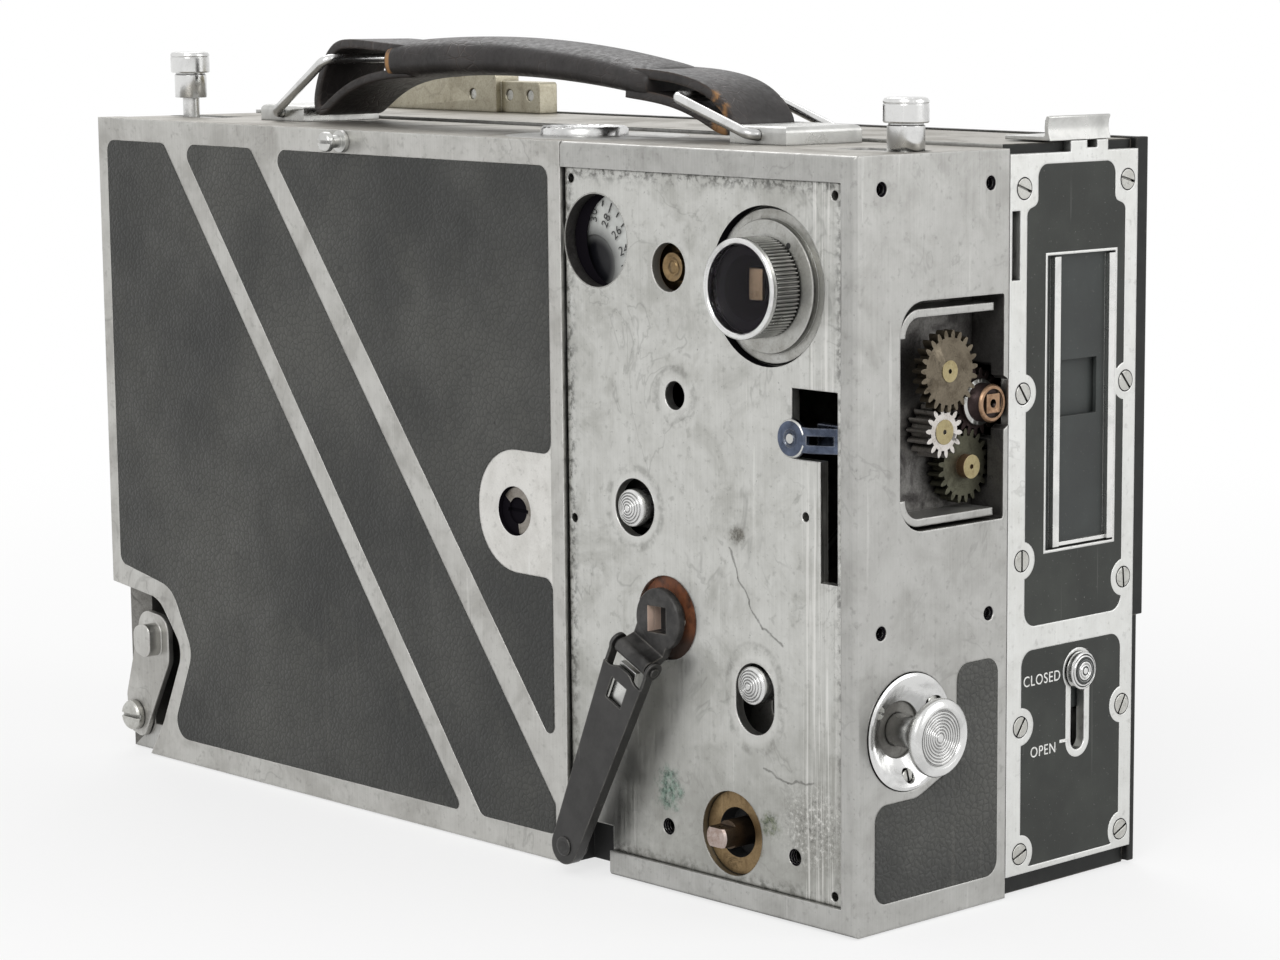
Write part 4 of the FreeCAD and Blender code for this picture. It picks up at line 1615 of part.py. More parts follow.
def build():
    """Every node by name."""
    dish = escutcheon()
    housing = motor_housing()
    for u, v in DISH_SCREWS:
        hole = dish_screw_hole(u, v)
        dish = dish.cut(hole)
        housing = housing.cut(hole)
    return {
        "motor_housing": housing,
        "tripod_bush": tripod_bush(),
        "side_cover": side_cover(),
        "leather_panels": leather_panels(),
        "housing_screws": housing_screws(),
        "cover_latch": cover_latch(),
        "tape_hook": tape_hook(),
        "mechanism_plate": mechanism_plate(),
        "bearing_bridges": group(movement_bridge(), dial_bridge()),
        "crank_bush": crank_bush(),
        "hand_shaft_bush": hand_shaft_bush(),
        "release_button": button(RELEASE_Y, RELEASE_Z, RELEASE_FACE),
        "slide_button": button(SLIDE_Y, SLIDE_Z, SLIDE_FACE),
        "speed_dial": speed_dial(),
        "speed_adjuster": speed_adjuster(),
        "shutter_lever": shutter_lever(),
        "eyepiece_tube": eyepiece_tube(),
        "eyepiece_ring": eyepiece_ring(),
        "eyepiece_lens": eyepiece_lens(),
        "winding_shaft": winding_shaft(),
        "crank_head": crank_head(),
        "crank_arm": crank_arm(),
        "crank_rivets": group(crank_pin(), crank_spindle()),
        "crank_spring": crank_spring(),
        "crank_knob": crank_knob(),
        "hand_shaft": hand_shaft(),
        "transfer_gear": transfer_gear(),
        "spring_barrel": spring_barrel(),
        "mainspring": mainspring(),
        "motor_studs": motor_studs(),
        "gear_bridge": gear_bridge(),
        "gear_a": gear_wheel(GEAR_A_X, GEAR_A_Z, TEETH_A, GEAR_A_FACE, GEAR_A_WIDTH, PHASE_A, 2.0, 0.15),
        "gear_b": gear_wheel(GEAR_B_X, GEAR_B_Z, TEETH_B, GEAR_B_FACE, GEAR_B_WIDTH, PHASE_B, 2.3, 0.15),
        "gear_c": gear_wheel(GEAR_C_X, GEAR_C_Z, TEETH_C, GEAR_C_FACE, GEAR_C_WIDTH, PHASE_C, 2.2, 1.9),
        "coupling_gear": coupling_gear(),
        "governor": governor(),
        "escutcheon": dish,
        "run_knob": run_knob(),
        "counter_cap": counter_cap(),
        "counter_glass": counter_glass(),
        "counter_dial": counter_dial(),
        "top_post_front": top_post(-1, False),
        "top_post_rear": top_post(1, True),
        "handle_plates": group(handle_plate(-1), handle_plate(1)),
        "handle_ring_front": handle_ring(-1, RING_ANGLE_FRONT),
        "handle_ring_rear": handle_ring(1, RING_ANGLE_REAR),
        "handle_grip": handle_grip(),
        "magazine_case": magazine_case(),
        "magazine_face_plate": magazine_face_plate(),
        "magazine_panels": magazine_panels(),
        "magazine_screws": magazine_screws(),
        "gate_frame": gate_frame(),
        "dark_slide": dark_slide(),
        "pressure_plate": pressure_plate(),
        "supply_spool": film_spool(SUPPLY_Y),
        "takeup_spool": film_spool(TAKEUP_Y),
        "film_sprocket": film_sprocket(),
        "magazine_lid": magazine_lid(),
        "magazine_latch": magazine_latch(),
        "finder_bracket": finder_bracket(),
    }


for node, shape in build().items():
    shape.exportStep(f"parts/{node}.step")
    box = shape.BoundBox
    print(f"{node}: {len(shape.Solids)} solid(s), valid {shape.isValid()}, volume {shape.Volume:.0f}, "
          f"x {box.XMin:.1f}..{box.XMax:.1f} y {box.YMin:.1f}..{box.YMax:.1f} z {box.ZMin:.1f}..{box.ZMax:.1f}")
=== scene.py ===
"""Looks of a spring-driven movie camera with its film magazine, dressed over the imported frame.

Metres, in the frame of the CAD. Sizes below are given in millimetres and turned to metres by MM.
"""

import json
import logging
import math
from collections.abc import Callable, Iterable
from dataclasses import dataclass
from enum import Enum

import bmesh
import bpy
from mathutils import Matrix, Vector

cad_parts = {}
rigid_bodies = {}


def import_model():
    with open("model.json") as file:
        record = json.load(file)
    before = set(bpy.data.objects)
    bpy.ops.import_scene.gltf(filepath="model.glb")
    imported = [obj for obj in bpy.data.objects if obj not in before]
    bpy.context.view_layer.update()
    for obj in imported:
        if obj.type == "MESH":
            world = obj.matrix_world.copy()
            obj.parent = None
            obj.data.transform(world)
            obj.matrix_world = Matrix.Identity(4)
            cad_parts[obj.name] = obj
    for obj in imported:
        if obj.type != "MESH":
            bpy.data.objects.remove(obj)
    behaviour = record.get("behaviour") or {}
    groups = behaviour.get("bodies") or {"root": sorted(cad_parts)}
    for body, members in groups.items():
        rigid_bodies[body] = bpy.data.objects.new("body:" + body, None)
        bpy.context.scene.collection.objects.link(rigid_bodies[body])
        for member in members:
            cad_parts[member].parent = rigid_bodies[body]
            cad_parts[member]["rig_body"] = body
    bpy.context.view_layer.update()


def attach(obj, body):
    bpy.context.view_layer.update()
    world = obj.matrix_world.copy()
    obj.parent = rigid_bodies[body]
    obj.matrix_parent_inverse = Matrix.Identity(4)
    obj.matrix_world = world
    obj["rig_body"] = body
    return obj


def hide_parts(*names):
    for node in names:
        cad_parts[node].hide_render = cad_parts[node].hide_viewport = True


# One millimetre in metres, the distance in metres within which two points are one, and an open end.
MM = 0.001
MERGE = 2e-6
OPEN = math.inf

# Angle in degrees within which faces are flat together, and past which an edge is rounded.
FLAT = 0.5
ROUNDED_PAST = 38

# A capital's height against the font's size, a letter's depth in millimetres, and the spacing of letters.
CAPITAL = 0.7
LETTER_DEPTH = 0.03
LETTER_SPACING = 1.12

RGB = tuple[float, float, float]
Triple = tuple[float, float, float]
Pair = tuple[float, float]
Pairs = tuple[Pair, ...]
Profile = list[Pair]
Socket = bpy.types.NodeSocket

logging.basicConfig(level=logging.INFO, format="%(message)s")
log = logging.getLogger("camera")


class Axis(Enum):
    """Direction that a turned piece or a lettered face looks along."""

    X = (1.0, 0.0, 0.0)
    Y = (0.0, 1.0, 0.0)
    Z = (0.0, 0.0, 1.0)


class Grain(Enum):
    """Way that the tool marks run in a metal, as stretches along X, Y and Z."""

    UPRIGHT = (1.0, 1.0, 0.02)
    CAST = (1.0, 1.0, 1.0)


# Node trees


class Wiring:
    """Writer of one node tree."""

    def __init__(self, tree: bpy.types.NodeTree) -> None:
        """Takes the tree that it writes."""
        self.tree = tree

    def feed(self, socket: Socket, value: object) -> None:
        """Link a socket to another, or set its value.

        Args:
            socket: The socket that is fed.
            value: Another socket, a number, a vector or a colour.
        """
        if isinstance(value, bpy.types.NodeSocket):
            self.tree.links.new(value, socket)
        elif socket.type == "RGBA" and len(value) == 3:
            socket.default_value = (*value, 1.0)
        else:
            socket.default_value = value

    def node(self, kind: str, inputs: dict | None = None, **settings: object) -> bpy.types.Node:
        """Add a node.

        Args:
            kind: Blender's name of the node type.
            inputs: Values or sockets by input name or number.
            **settings: The node's own properties.

        Returns:
            The new node.
        """
        made = self.tree.nodes.new(kind)
        for key, value in settings.items():
            setattr(made, key, value)
        for key, value in (inputs or {}).items():
            self.feed(made.inputs[key], value)
        return made

    def place(self) -> Socket:
        """Object coordinates of the surface, in metres."""
        return self.node("ShaderNodeTexCoord").outputs["Object"]

    def mapped(self, vector: Socket, scale: tuple = (1, 1, 1), turn: tuple = (0, 0, 0),
               shift: tuple = (0, 0, 0)) -> Socket:
        """A vector stretched, turned (degrees) and shifted."""
        turned = tuple(math.radians(a) for a in turn)
        return self.node("ShaderNodeMapping", {"Vector": vector, "Scale": scale, "Rotation": turned,
                                               "Location": shift}).outputs[0]

    def noise(self, vector: Socket, scale: float | Socket, detail: float = 3.0, rough: float = 0.5,
              bend: float = 0.0) -> Socket:
        """Noise from 0 to 1; the scale is in cells to a metre."""
        return self.node("ShaderNodeTexNoise", {"Vector": vector, "Scale": scale, "Detail": detail,
                                                "Roughness": rough, "Distortion": bend}).outputs[0]

    def smooth(self, value: Socket, low: float, high: float, start: float | Socket = 0.0,
               end: float | Socket = 1.0) -> Socket:
        """Smooth step of a value from low to high, put out from start to end."""
        return self.node("ShaderNodeMapRange", {"Value": value, "From Min": low, "From Max": high,
                                                "To Min": start, "To Max": end},
                         interpolation_type="SMOOTHSTEP").outputs[0]

    def do(self, operation: str, first: Socket | float, second: Socket | float = 0.0) -> Socket:
        """One arithmetic step, by the name of a Math operation."""
        return self.node("ShaderNodeMath", {0: first, 1: second}, operation=operation).outputs[0]

    def times(self, first: Socket | float, second: Socket | float) -> Socket:
        """Product of two values."""
        return self.do("MULTIPLY", first, second)

    def vector(self, operation: str, first: Socket, second: Socket | Triple = (0.0, 0.0, 0.0)) -> Socket:
        """One vector step, by the name of a Vector Math operation."""
        made = self.node("ShaderNodeVectorMath", {0: first, 1: second}, operation=operation)
        return made.outputs["Value" if operation in ("DISTANCE", "DOT_PRODUCT", "LENGTH") else "Vector"]

    def spot(self, at: Socket, y: float, z: float) -> Socket:
        """Distance in metres from a (y, z) point that is given in millimetres."""
        return self.vector("DISTANCE", self.mapped(at, (0.0, 1.0, 1.0)), (0.0, y * MM, z * MM))

    def coat(self, shader: bpy.types.Node, colour: Socket, rough: Socket) -> None:
        """Feed a shader's colour and roughness."""
        self.feed(shader.inputs["Base Color"], colour)
        self.feed(shader.inputs["Roughness"], rough)

    def relief(self, shader: bpy.types.Node, height: Socket, distance: float, strength: float,
               normal: Socket | None = None) -> None:
        """Bump a shader's surface by a height, over a normal where one is given."""
        bump = self.node("ShaderNodeBump", {"Height": height, "Distance": distance, "Strength": strength})
        if normal:
            self.feed(bump.inputs["Normal"], normal)
        self.feed(shader.inputs["Normal"], bump.outputs[0])

    def blend(self, share: Socket | float, first: Socket | RGB, second: Socket | RGB,
              mode: str = "MIX") -> Socket:
        """Colour between two colours."""
        made = self.node("ShaderNodeMix", {0: share, 6: first, 7: second}, data_type="RGBA", blend_type=mode)
        return made.outputs[2]

    def part(self, vector: Socket, letter: str) -> Socket:
        """One coordinate of a vector."""
        return self.node("ShaderNodeSeparateXYZ", {0: vector}).outputs[letter]

    def band(self, value: Socket, centre: float, half: float, soft: float) -> Socket:
        """1 within a band of a coordinate, falling to 0 past its edges."""
        off = self.do("ABSOLUTE", self.do("SUBTRACT", value, centre))
        return self.smooth(off, half + soft, half, 0.0, 1.0)


class Effects:
    """Node groups that the finishes share. Each is built once, by the method of its name."""

    sockets = {
        "stains": (("Vector", "Scale"), ("Cloud", "Rim")),
        "scratches": (("Vector", "Scale"), ("Lines",)),
        "edges": (("Vector", "Width", "Reach"), ("Bare", "Dirt", "Normal")),
        "pebbles": (("Vector", "Scale"), ("Height", "Crease")),
    }

    def __init__(self) -> None:
        """Starts with no group."""
        self.built: dict[str, bpy.types.NodeTree] = {}

    def tree(self, name: str) -> bpy.types.NodeTree:
        """The node group of an effect."""
        if name in self.built:
            return self.built[name]
        tree = bpy.data.node_groups.new(name, "ShaderNodeTree")
        for way, labels in zip(("INPUT", "OUTPUT"), self.sockets[name]):
            for label in labels:
                kind = "NodeSocketVector" if label in ("Vector", "Normal") else "NodeSocketFloat"
                tree.interface.new_socket(name=label, in_out=way, socket_type=kind)
        given = tree.nodes.new("NodeGroupInput").outputs
        result = getattr(self, name)(Wiring(tree), given)
        end = tree.nodes.new("NodeGroupOutput")
        for label, socket in result.items():
            tree.links.new(socket, end.inputs[label])
        self.built[name] = tree
        return tree

    def put(self, w: Wiring, name: str, at: Socket, **numbers: float) -> bpy.types.bpy_prop_collection:
        """Place an effect in a material, with its own numbers.

        Args:
            w: Writer of the material's tree.
            name: Name of the effect.
            at: Coordinates that it is laid by.
            **numbers: Its other inputs by name.

        Returns:
            The outputs of the placed group.
        """
        made = w.node("ShaderNodeGroup", node_tree=self.tree(name))
        for label, value in {"Vector": at, **numbers}.items():
            w.feed(made.inputs[label], value)
        return made.outputs

    @staticmethod
    def stains(w: Wiring, given: dict) -> dict:
        """Cloudy stains with the darker rims that dried water leaves."""
        at, scale = given["Vector"], given["Scale"]
        cloud = w.noise(at, scale, 7.0, 0.62, 0.5)
        patch = w.noise(w.mapped(at, shift=(3.1, 1.7, 0.4)), w.times(scale, 0.55), 4.0, 0.55, 1.2)
        rim = w.smooth(w.do("ABSOLUTE", w.do("SUBTRACT", patch, 0.56)), 0.016, 0.0)
        local = w.smooth(w.noise(w.mapped(at, shift=(0.7, 5.1, 2.2)), w.times(scale, 0.8), 2.0), 0.48, 0.6)
        return {"Cloud": w.smooth(cloud, 0.42, 0.68), "Rim": w.times(rim, local)}

    @staticmethod
    def scratches(w: Wiring, given: dict) -> dict:
        """Thin straight scratches in several directions."""
        at, total = given["Vector"], None
        for turn, shift in (((20, 31, 12), (0, 0, 0)), ((-37, 14, 58), (1, 2, 3)),
                            ((64, -22, 81), (5, 1, 2))):
            line = w.noise(w.mapped(at, (1.0, 1.0, 0.035), turn, shift), given["Scale"], 1.0, 0.4)
            patchy = w.smooth(w.noise(w.mapped(at, shift=shift), 35.0, 1.0), 0.45, 0.6)
            mask = w.times(w.smooth(line, 0.735, 0.765), patchy)
            total = mask if total is None else w.do("MAXIMUM", total, mask)
        return {"Lines": total}

    @staticmethod
    def edges(w: Wiring, given: dict) -> dict:
        """Rubbed edges, and corners darkened by ambient occlusion: painted shade together with grime."""
        soft = w.node("ShaderNodeBevel", {"Radius": given["Width"]}, samples=6).outputs[0]
        flat = w.node("ShaderNodeNewGeometry").outputs["Normal"]
        bare = w.smooth(w.do("SUBTRACT", 1.0, w.vector("DOT_PRODUCT", soft, flat)), 0.01, 0.16)
        broken = w.smooth(w.noise(given["Vector"], 420.0, 4.0, 0.6), 0.32, 0.6)
        shade = w.node("ShaderNodeAmbientOcclusion", {"Distance": given["Reach"]}, samples=6).outputs["AO"]
        return {"Bare": w.times(bare, broken), "Dirt": w.smooth(shade, 0.72, 0.35), "Normal": soft}

    @staticmethod
    def pebbles(w: Wiring, given: dict) -> dict:
        """Pebbled grain of leather, with a mask of its creases for painted shade."""
        at = given["Vector"]
        bent = w.node("ShaderNodeTexNoise", {"Vector": at, "Scale": 260.0, "Detail": 2.0}).outputs["Color"]
        laid = w.vector("ADD", at, w.vector("MULTIPLY", bent, (0.0007, 0.0007, 0.0007)))
        cells = w.node("ShaderNodeTexVoronoi", {"Vector": laid, "Scale": given["Scale"]},
                       feature="DISTANCE_TO_EDGE").outputs["Distance"]
        fine = w.noise(at, 5200.0, 2.0)
        return {"Height": w.do("ADD", w.smooth(cells, 0.0, 0.32), w.times(fine, 0.18)),
                "Crease": w.smooth(cells, 0.1, 0.0)}


EFFECTS = Effects()


def toned(colour: RGB, share: float, lift: float = 0.0) -> RGB:
    """A colour times a share, lifted."""
    return tuple(share * c + lift for c in colour)


# Finishes


@dataclass(frozen=True)
class Finish:
    """A surface finish. Its material is made once and kept under its name."""

    name: str

    def material(self) -> bpy.types.Material:
        """The material of this finish."""
        known = bpy.data.materials.get(self.name)
        if known:
            return known
        made = bpy.data.materials.new(self.name)
        made.use_nodes = True
        made.node_tree.nodes.clear()
        wiring = Wiring(made.node_tree)
        shader = wiring.node("ShaderNodeBsdfPrincipled")
        end = wiring.node("ShaderNodeOutputMaterial")
        wiring.feed(end.inputs["Surface"], shader.outputs[0])
        self.write(wiring, shader)
        return made

    def write(self, w: Wiring, shader: bpy.types.Node) -> None:
        """Write the finish into its shader."""
        raise NotImplementedError

    def tinted(self, w: Wiring, at: Socket, colour: Socket) -> Socket:
        """The colour with the marks that only this surface has, and on the dial a painted shadow."""
        return colour


@dataclass(frozen=True)
class Blot:
    """A ragged stain on the mechanism side, in millimetres: its middle, reach, raggedness and colours."""

    y: float
    z: float
    reach: float
    ragged: float
    dark: RGB = (0.035, 0.06, 0.045)
    pale: RGB = (0.2, 0.25, 0.2)


@dataclass(frozen=True)
class WornMetal(Finish):
    """Bare metal with stains, tool marks, scratches and rubbed edges."""

    colour: RGB = (0.45, 0.44, 0.41)
    tarnish: RGB = (0.2, 0.18, 0.15)
    roughness: float = 0.4
    stain: float = 0.6
    stain_scale: float = 38.0
    rim: float = 0.5
    grain: Grain = Grain.UPRIGHT
    marks: float = 0.35
    wear: float = 0.6
    dirt: float = 0.7
    edge: float = 0.00045
    scratch: float = 0.2
    spots: float = 0.35

    def write(self, w: Wiring, shader: bpy.types.Node) -> None:
        """Write the metal: colour from stains and wear, relief from tool marks."""
        at = w.place()
        stains = EFFECTS.put(w, "stains", at, Scale=self.stain_scale)
        lines = EFFECTS.put(w, "scratches", at, Scale=620.0)["Lines"]
        edges = EFFECTS.put(w, "edges", at, Width=self.edge, Reach=0.0016)
        tool = w.noise(w.mapped(at, self.grain.value), 2600.0, 3.0, 0.6)
        speck = w.noise(at, 1500.0, 4.0, 0.7)
        mottled = w.noise(at, 210.0, 5.0, 0.65)
        colour = w.blend(w.smooth(mottled, 0.3, 0.75, 0.0, 0.55), self.colour,
                         tuple(0.5 * (a + b) for a, b in zip(self.colour, self.tarnish)))
        colour = w.blend(w.times(stains["Cloud"], self.stain), colour, self.tarnish)
        colour = w.blend(w.smooth(tool, 0.35, 0.7, 0.0, 0.06 + 0.5 * self.marks), colour, self.tarnish)
        dark = toned(self.tarnish, 0.35)
        colour = w.blend(w.times(stains["Rim"], self.rim), colour, dark)
        colour = w.blend(w.times(w.smooth(speck, 0.62, 0.74), 0.6), colour, dark)
        spots = w.smooth(w.noise(at, 620.0, 4.0, 0.6), 0.56, 0.72, 0.0, self.spots)
        colour = w.blend(spots, colour, toned(self.tarnish, 0.7))
        bright = tuple(min(0.9, 1.45 * c + 0.03) for c in self.colour)
        colour = w.blend(w.times(lines, self.scratch), colour, bright)
        colour = w.blend(w.times(edges["Bare"], self.wear), colour, bright)
        # Corners darkened by ambient occlusion: painted shade together with grime.
        colour = w.blend(w.times(edges["Dirt"], self.dirt), colour, (0.02, 0.018, 0.015))
        rough = w.smooth(stains["Cloud"], 0.0, 1.0, self.roughness, self.roughness + 0.14)
        rough = w.do("ADD", rough, w.smooth(tool, 0.3, 0.7, -0.05, 0.07))
        colour = self.tinted(w, at, colour)
        w.coat(shader, colour, rough)
        shader.inputs["Metallic"].default_value = 1.0
        height = w.do("ADD", w.times(tool, 0.5 * self.marks), w.times(speck, 0.35))
        height = w.do("SUBTRACT", height, w.times(lines, 0.5))
        w.relief(shader, height, 0.00006, 0.7, edges["Normal"])


@dataclass(frozen=True)
class StainedPlate(WornMetal):
    """Worn plate with stains of its own: blots, a pitted patch, water lines and a band of tool marks."""

    blots: tuple[Blot, ...] = ()
    pitted: tuple[float, float, float] = (-104.5, 18.5, 11.0)
    lines: tuple[Pairs, ...] = ()
    band: Pair = (-106.0, 4.6)
    halos: tuple[tuple[Pair, Pair, float], ...] = ()
    border: tuple[float, float, float, float] = (-112.3, -38.3, 4.8, 135.2)

    def grimed(self, w: Wiring, at: Socket, colour: Socket) -> Socket:
        """A darker band along the plate's edges, and a darker lower end."""
        front, rear, low, high = self.border
        y, z = w.part(at, "Y"), w.part(at, "Z")
        across = w.do("MINIMUM", w.do("SUBTRACT", rear * MM, y), w.do("SUBTRACT", y, front * MM))
        along = w.do("MINIMUM", w.do("SUBTRACT", z, low * MM), w.do("SUBTRACT", high * MM, z))
        near = w.smooth(w.do("MINIMUM", across, along), 3.4 * MM, 0.3 * MM)
        broken = w.smooth(w.noise(at, 520.0, 5.0, 0.75), 0.44, 0.62, 0.0, 0.85)
        colour = w.blend(w.times(near, broken), colour, toned(self.tarnish, 0.22))
        dull = w.times(w.smooth(z, 52.0 * MM, 14.0 * MM, 0.0, 0.75),
                     w.smooth(w.noise(at, 70.0, 5.0, 0.65), 0.3, 0.62, 0.35, 1.0))
        return w.blend(dull, colour, toned(self.tarnish, 0.85))

    def stretch(self, w: Wiring, at: Socket, start: Pair, end: Pair) -> Socket:
        """Distance from a straight stretch between two (y, z) points, in metres."""
        (y0, z0), (y1, z1) = start, end
        turn = math.degrees(math.atan2(z1 - z0, y1 - y0))
        middle = w.mapped(at, shift=(0.0, -0.5 * (y0 + y1) * MM, -0.5 * (z0 + z1) * MM))
        laid = w.mapped(middle, turn=(-turn, 0, 0))
        past = w.do("MAXIMUM", w.do("SUBTRACT", w.do("ABSOLUTE", w.part(laid, "Y")),
                                      0.5 * math.hypot(y1 - y0, z1 - z0) * MM), 0.0)
        return w.do("SQRT", w.do("ADD", w.do("POWER", past, 2.0), w.do("POWER", w.part(laid, "Z"), 2.0)))

    def tinted(self, w: Wiring, at: Socket, colour: Socket) -> Socket:
        """Lay the stains over the metal."""
        colour = self.grimed(w, at, colour)
        for start, end, reach in self.halos:
            away = self.stretch(w, at, start, end)
            rubbed = w.smooth(away, reach * MM, (reach - 1.6) * MM, 0.0, 0.3)
            colour = w.blend(rubbed, colour, (0.76, 0.755, 0.73))
            ring = w.band(away, (reach + 0.5) * MM, 0.3 * MM, 0.9 * MM)
            smudged = w.smooth(w.noise(at, 260.0, 5.0, 0.7), 0.42, 0.62, 0.0, 0.5)
            colour = w.blend(w.times(ring, smudged), colour, toned(self.tarnish, 0.6))
        dark = toned(self.tarnish, 0.3)
        fine = w.noise(at, 1300.0, 4.0, 0.75)
        y, z, reach = self.pitted
        field = w.smooth(w.spot(at, y, z), reach * MM, 0.3 * reach * MM)
        colour = w.blend(w.times(field, w.smooth(fine, 0.53, 0.66, 0.0, 0.6)), colour, dark)
        colour = w.blend(w.times(field, w.smooth(fine, 0.47, 0.36, 0.0, 0.6)), colour, (0.78, 0.77, 0.74))
        middle, half = self.band
        upright = w.noise(w.mapped(at, Grain.UPRIGHT.value), 1500.0, 2.0, 0.6)
        band = w.band(w.part(at, "Y"), middle * MM, 0.5 * half * MM, 0.7 * half * MM)
        colour = w.blend(w.times(band, w.smooth(upright, 0.5, 0.66, 0.0, 0.6)), colour, (0.8, 0.79, 0.76))
        colour = w.blend(w.times(band, w.smooth(upright, 0.42, 0.3, 0.0, 0.6)), colour, self.tarnish)
        wave = w.node("ShaderNodeTexNoise", {"Vector": at, "Scale": 190.0, "Detail": 4.0}).outputs["Color"]
        moved = w.vector("MULTIPLY", w.mapped(wave, shift=(-0.5, -0.5, -0.5)), (0.0, 0.0035, 0.0035))
        bent = w.vector("ADD", at, moved)
        for points in self.lines:
            for start, end in zip(points, points[1:]):
                line = w.smooth(self.stretch(w, bent, start, end), 0.00034, 0.0001, 0.0, 0.6)
                colour = w.blend(w.times(line, w.smooth(fine, 0.3, 0.5, 0.45, 1.0)), colour, dark)
        for blot in self.blots:
            rough = w.smooth(w.noise(at, 330.0, 5.0, 0.75), 0.3, 0.7, -blot.ragged * MM, blot.ragged * MM)
            mask = w.smooth(w.do("ADD", w.spot(at, blot.y, blot.z), rough), blot.reach * MM,
                            0.35 * blot.reach * MM)
            broken = w.times(mask, w.smooth(w.noise(at, 800.0, 4.0, 0.75), 0.36, 0.6, 0.35, 0.9))
            colour = w.blend(broken, colour, w.blend(w.smooth(fine, 0.35, 0.65), blot.dark, blot.pale))
        return colour


@dataclass(frozen=True)
class BrightPlate(Finish):
    """Polished or plated metal with smudges and hairline scratches."""

    colour: RGB = (0.72, 0.72, 0.71)
    roughness: float = 0.14
    haze: float = 0.2
    edge: float = 0.00015

    def write(self, w: Wiring, shader: bpy.types.Node) -> None:
        """Write the plating."""
        at = w.place()
        cloud = w.noise(at, 160.0, 5.0, 0.6, 0.4)
        lines = EFFECTS.put(w, "scratches", at, Scale=1500.0)["Lines"]
        edges = EFFECTS.put(w, "edges", at, Width=self.edge, Reach=0.001)
        dull = toned(self.colour, 0.62)
        colour = w.blend(w.smooth(cloud, 0.4, 0.72, 0.0, 0.7), self.colour, dull)
        # Corners darkened by ambient occlusion: painted shade together with grime.
        colour = w.blend(w.times(edges["Dirt"], 0.75), colour, (0.03, 0.028, 0.025))
        w.feed(shader.inputs["Base Color"], colour)
        w.feed(shader.inputs["Roughness"],
               w.do("ADD", w.smooth(cloud, 0.35, 0.7, self.roughness, self.roughness + self.haze),
                     w.times(lines, 0.15)))
        shader.inputs["Metallic"].default_value = 1.0
        w.relief(shader, w.do("SUBTRACT", w.noise(at, 900.0, 3.0), lines), 0.00002, 0.35, edges["Normal"])


@dataclass(frozen=True)
class Blackened(Finish):
    """Blackened steel worn to grey and brown along its edges."""

    colour: RGB = (0.018, 0.017, 0.016)
    bare: RGB = (0.3, 0.27, 0.23)
    roughness: float = 0.42
    wear: float = 0.8
    metallic: float = 0.6
    cloud: float = 2.6
    gloss: float = 0.5

    def write(self, w: Wiring, shader: bpy.types.Node) -> None:
        """Write the black coat and its wear."""
        at = w.place()
        edges = EFFECTS.put(w, "edges", at, Width=0.0005, Reach=0.0012)
        lines = EFFECTS.put(w, "scratches", at, Scale=900.0)["Lines"]
        cloud = w.noise(at, 240.0, 5.0, 0.65)
        colour = w.blend(w.smooth(cloud, 0.35, 0.7), self.colour, toned(self.colour, self.cloud))
        worn = w.times(w.do("MAXIMUM", edges["Bare"], w.times(lines, 0.7)), self.wear)
        rubbed = w.do("MAXIMUM", worn,
                      w.smooth(w.noise(at, 330.0, 6.0, 0.75), 0.66, 0.74, 0.0, 0.5 * self.wear))
        colour = w.blend(rubbed, colour, self.bare)
        w.coat(shader, colour, w.smooth(cloud, 0.3, 0.7, self.roughness - 0.08, self.roughness + 0.12))
        shader.inputs["Specular IOR Level"].default_value = self.gloss
        w.feed(shader.inputs["Metallic"], w.smooth(rubbed, 0.0, 1.0, self.metallic, 1.0))
        w.relief(shader, w.noise(at, 1300.0, 4.0, 0.6), 0.00005, 0.6, edges["Normal"])


@dataclass(frozen=True)
class Enamel(Finish):
    """Smooth dark enamel with dust and small scuffs."""

    colour: RGB = (0.045, 0.048, 0.046)
    roughness: float = 0.4
    scuff: float = 0.5
    gloss: float = 0.5

    def write(self, w: Wiring, shader: bpy.types.Node) -> None:
        """Write the enamel."""
        at = w.place()
        lines = EFFECTS.put(w, "scratches", at, Scale=800.0)["Lines"]
        edges = EFFECTS.put(w, "edges", at, Width=0.0003, Reach=0.0015)
        cloud = w.noise(at, 90.0, 5.0, 0.6)
        dust = w.smooth(w.noise(at, 1700.0, 4.0, 0.7), 0.64, 0.72)
        pale = toned(self.colour, 2.4, 0.004)
        colour = w.blend(w.smooth(cloud, 0.35, 0.75, 0.0, 0.55), self.colour, pale)
        colour = w.blend(w.times(w.do("MAXIMUM", dust, w.times(lines, 0.2)), self.scuff), colour,
                         (0.3, 0.3, 0.28))
        colour = w.blend(w.times(edges["Bare"], 0.5 * self.scuff), colour, (0.42, 0.41, 0.38))
        w.feed(shader.inputs["Base Color"], self.tinted(w, at, colour))
        shader.inputs["Specular IOR Level"].default_value = self.gloss
        w.feed(shader.inputs["Roughness"],
               w.smooth(cloud, 0.3, 0.7, self.roughness - 0.06, self.roughness + 0.14))
        w.relief(shader, w.noise(at, 2200.0, 3.0), 0.00003, 0.4, edges["Normal"])


@dataclass(frozen=True)
class DialEnamelWithPaintedShadow(Enamel):
    """Pale enamel of the speed dial, with a painted shadow of its deep window that blackens it toward its
    middle.
    """

    centre: Pair = (-42.5, 116.8)
    # Radii of the painted shadow: black inside the first, the dial's own colour past the second.
    black: float = 3.6
    pale: float = 9.4

    def tinted(self, w: Wiring, at: Socket, colour: Socket) -> Socket:
        """Paint the window's shadow on the dial, black near its axis and fading to the dial's colour outward.
        """
        away = w.spot(at, *self.centre)
        return w.blend(w.smooth(away, self.black * MM, self.pale * MM), (0.006, 0.006, 0.008), colour)


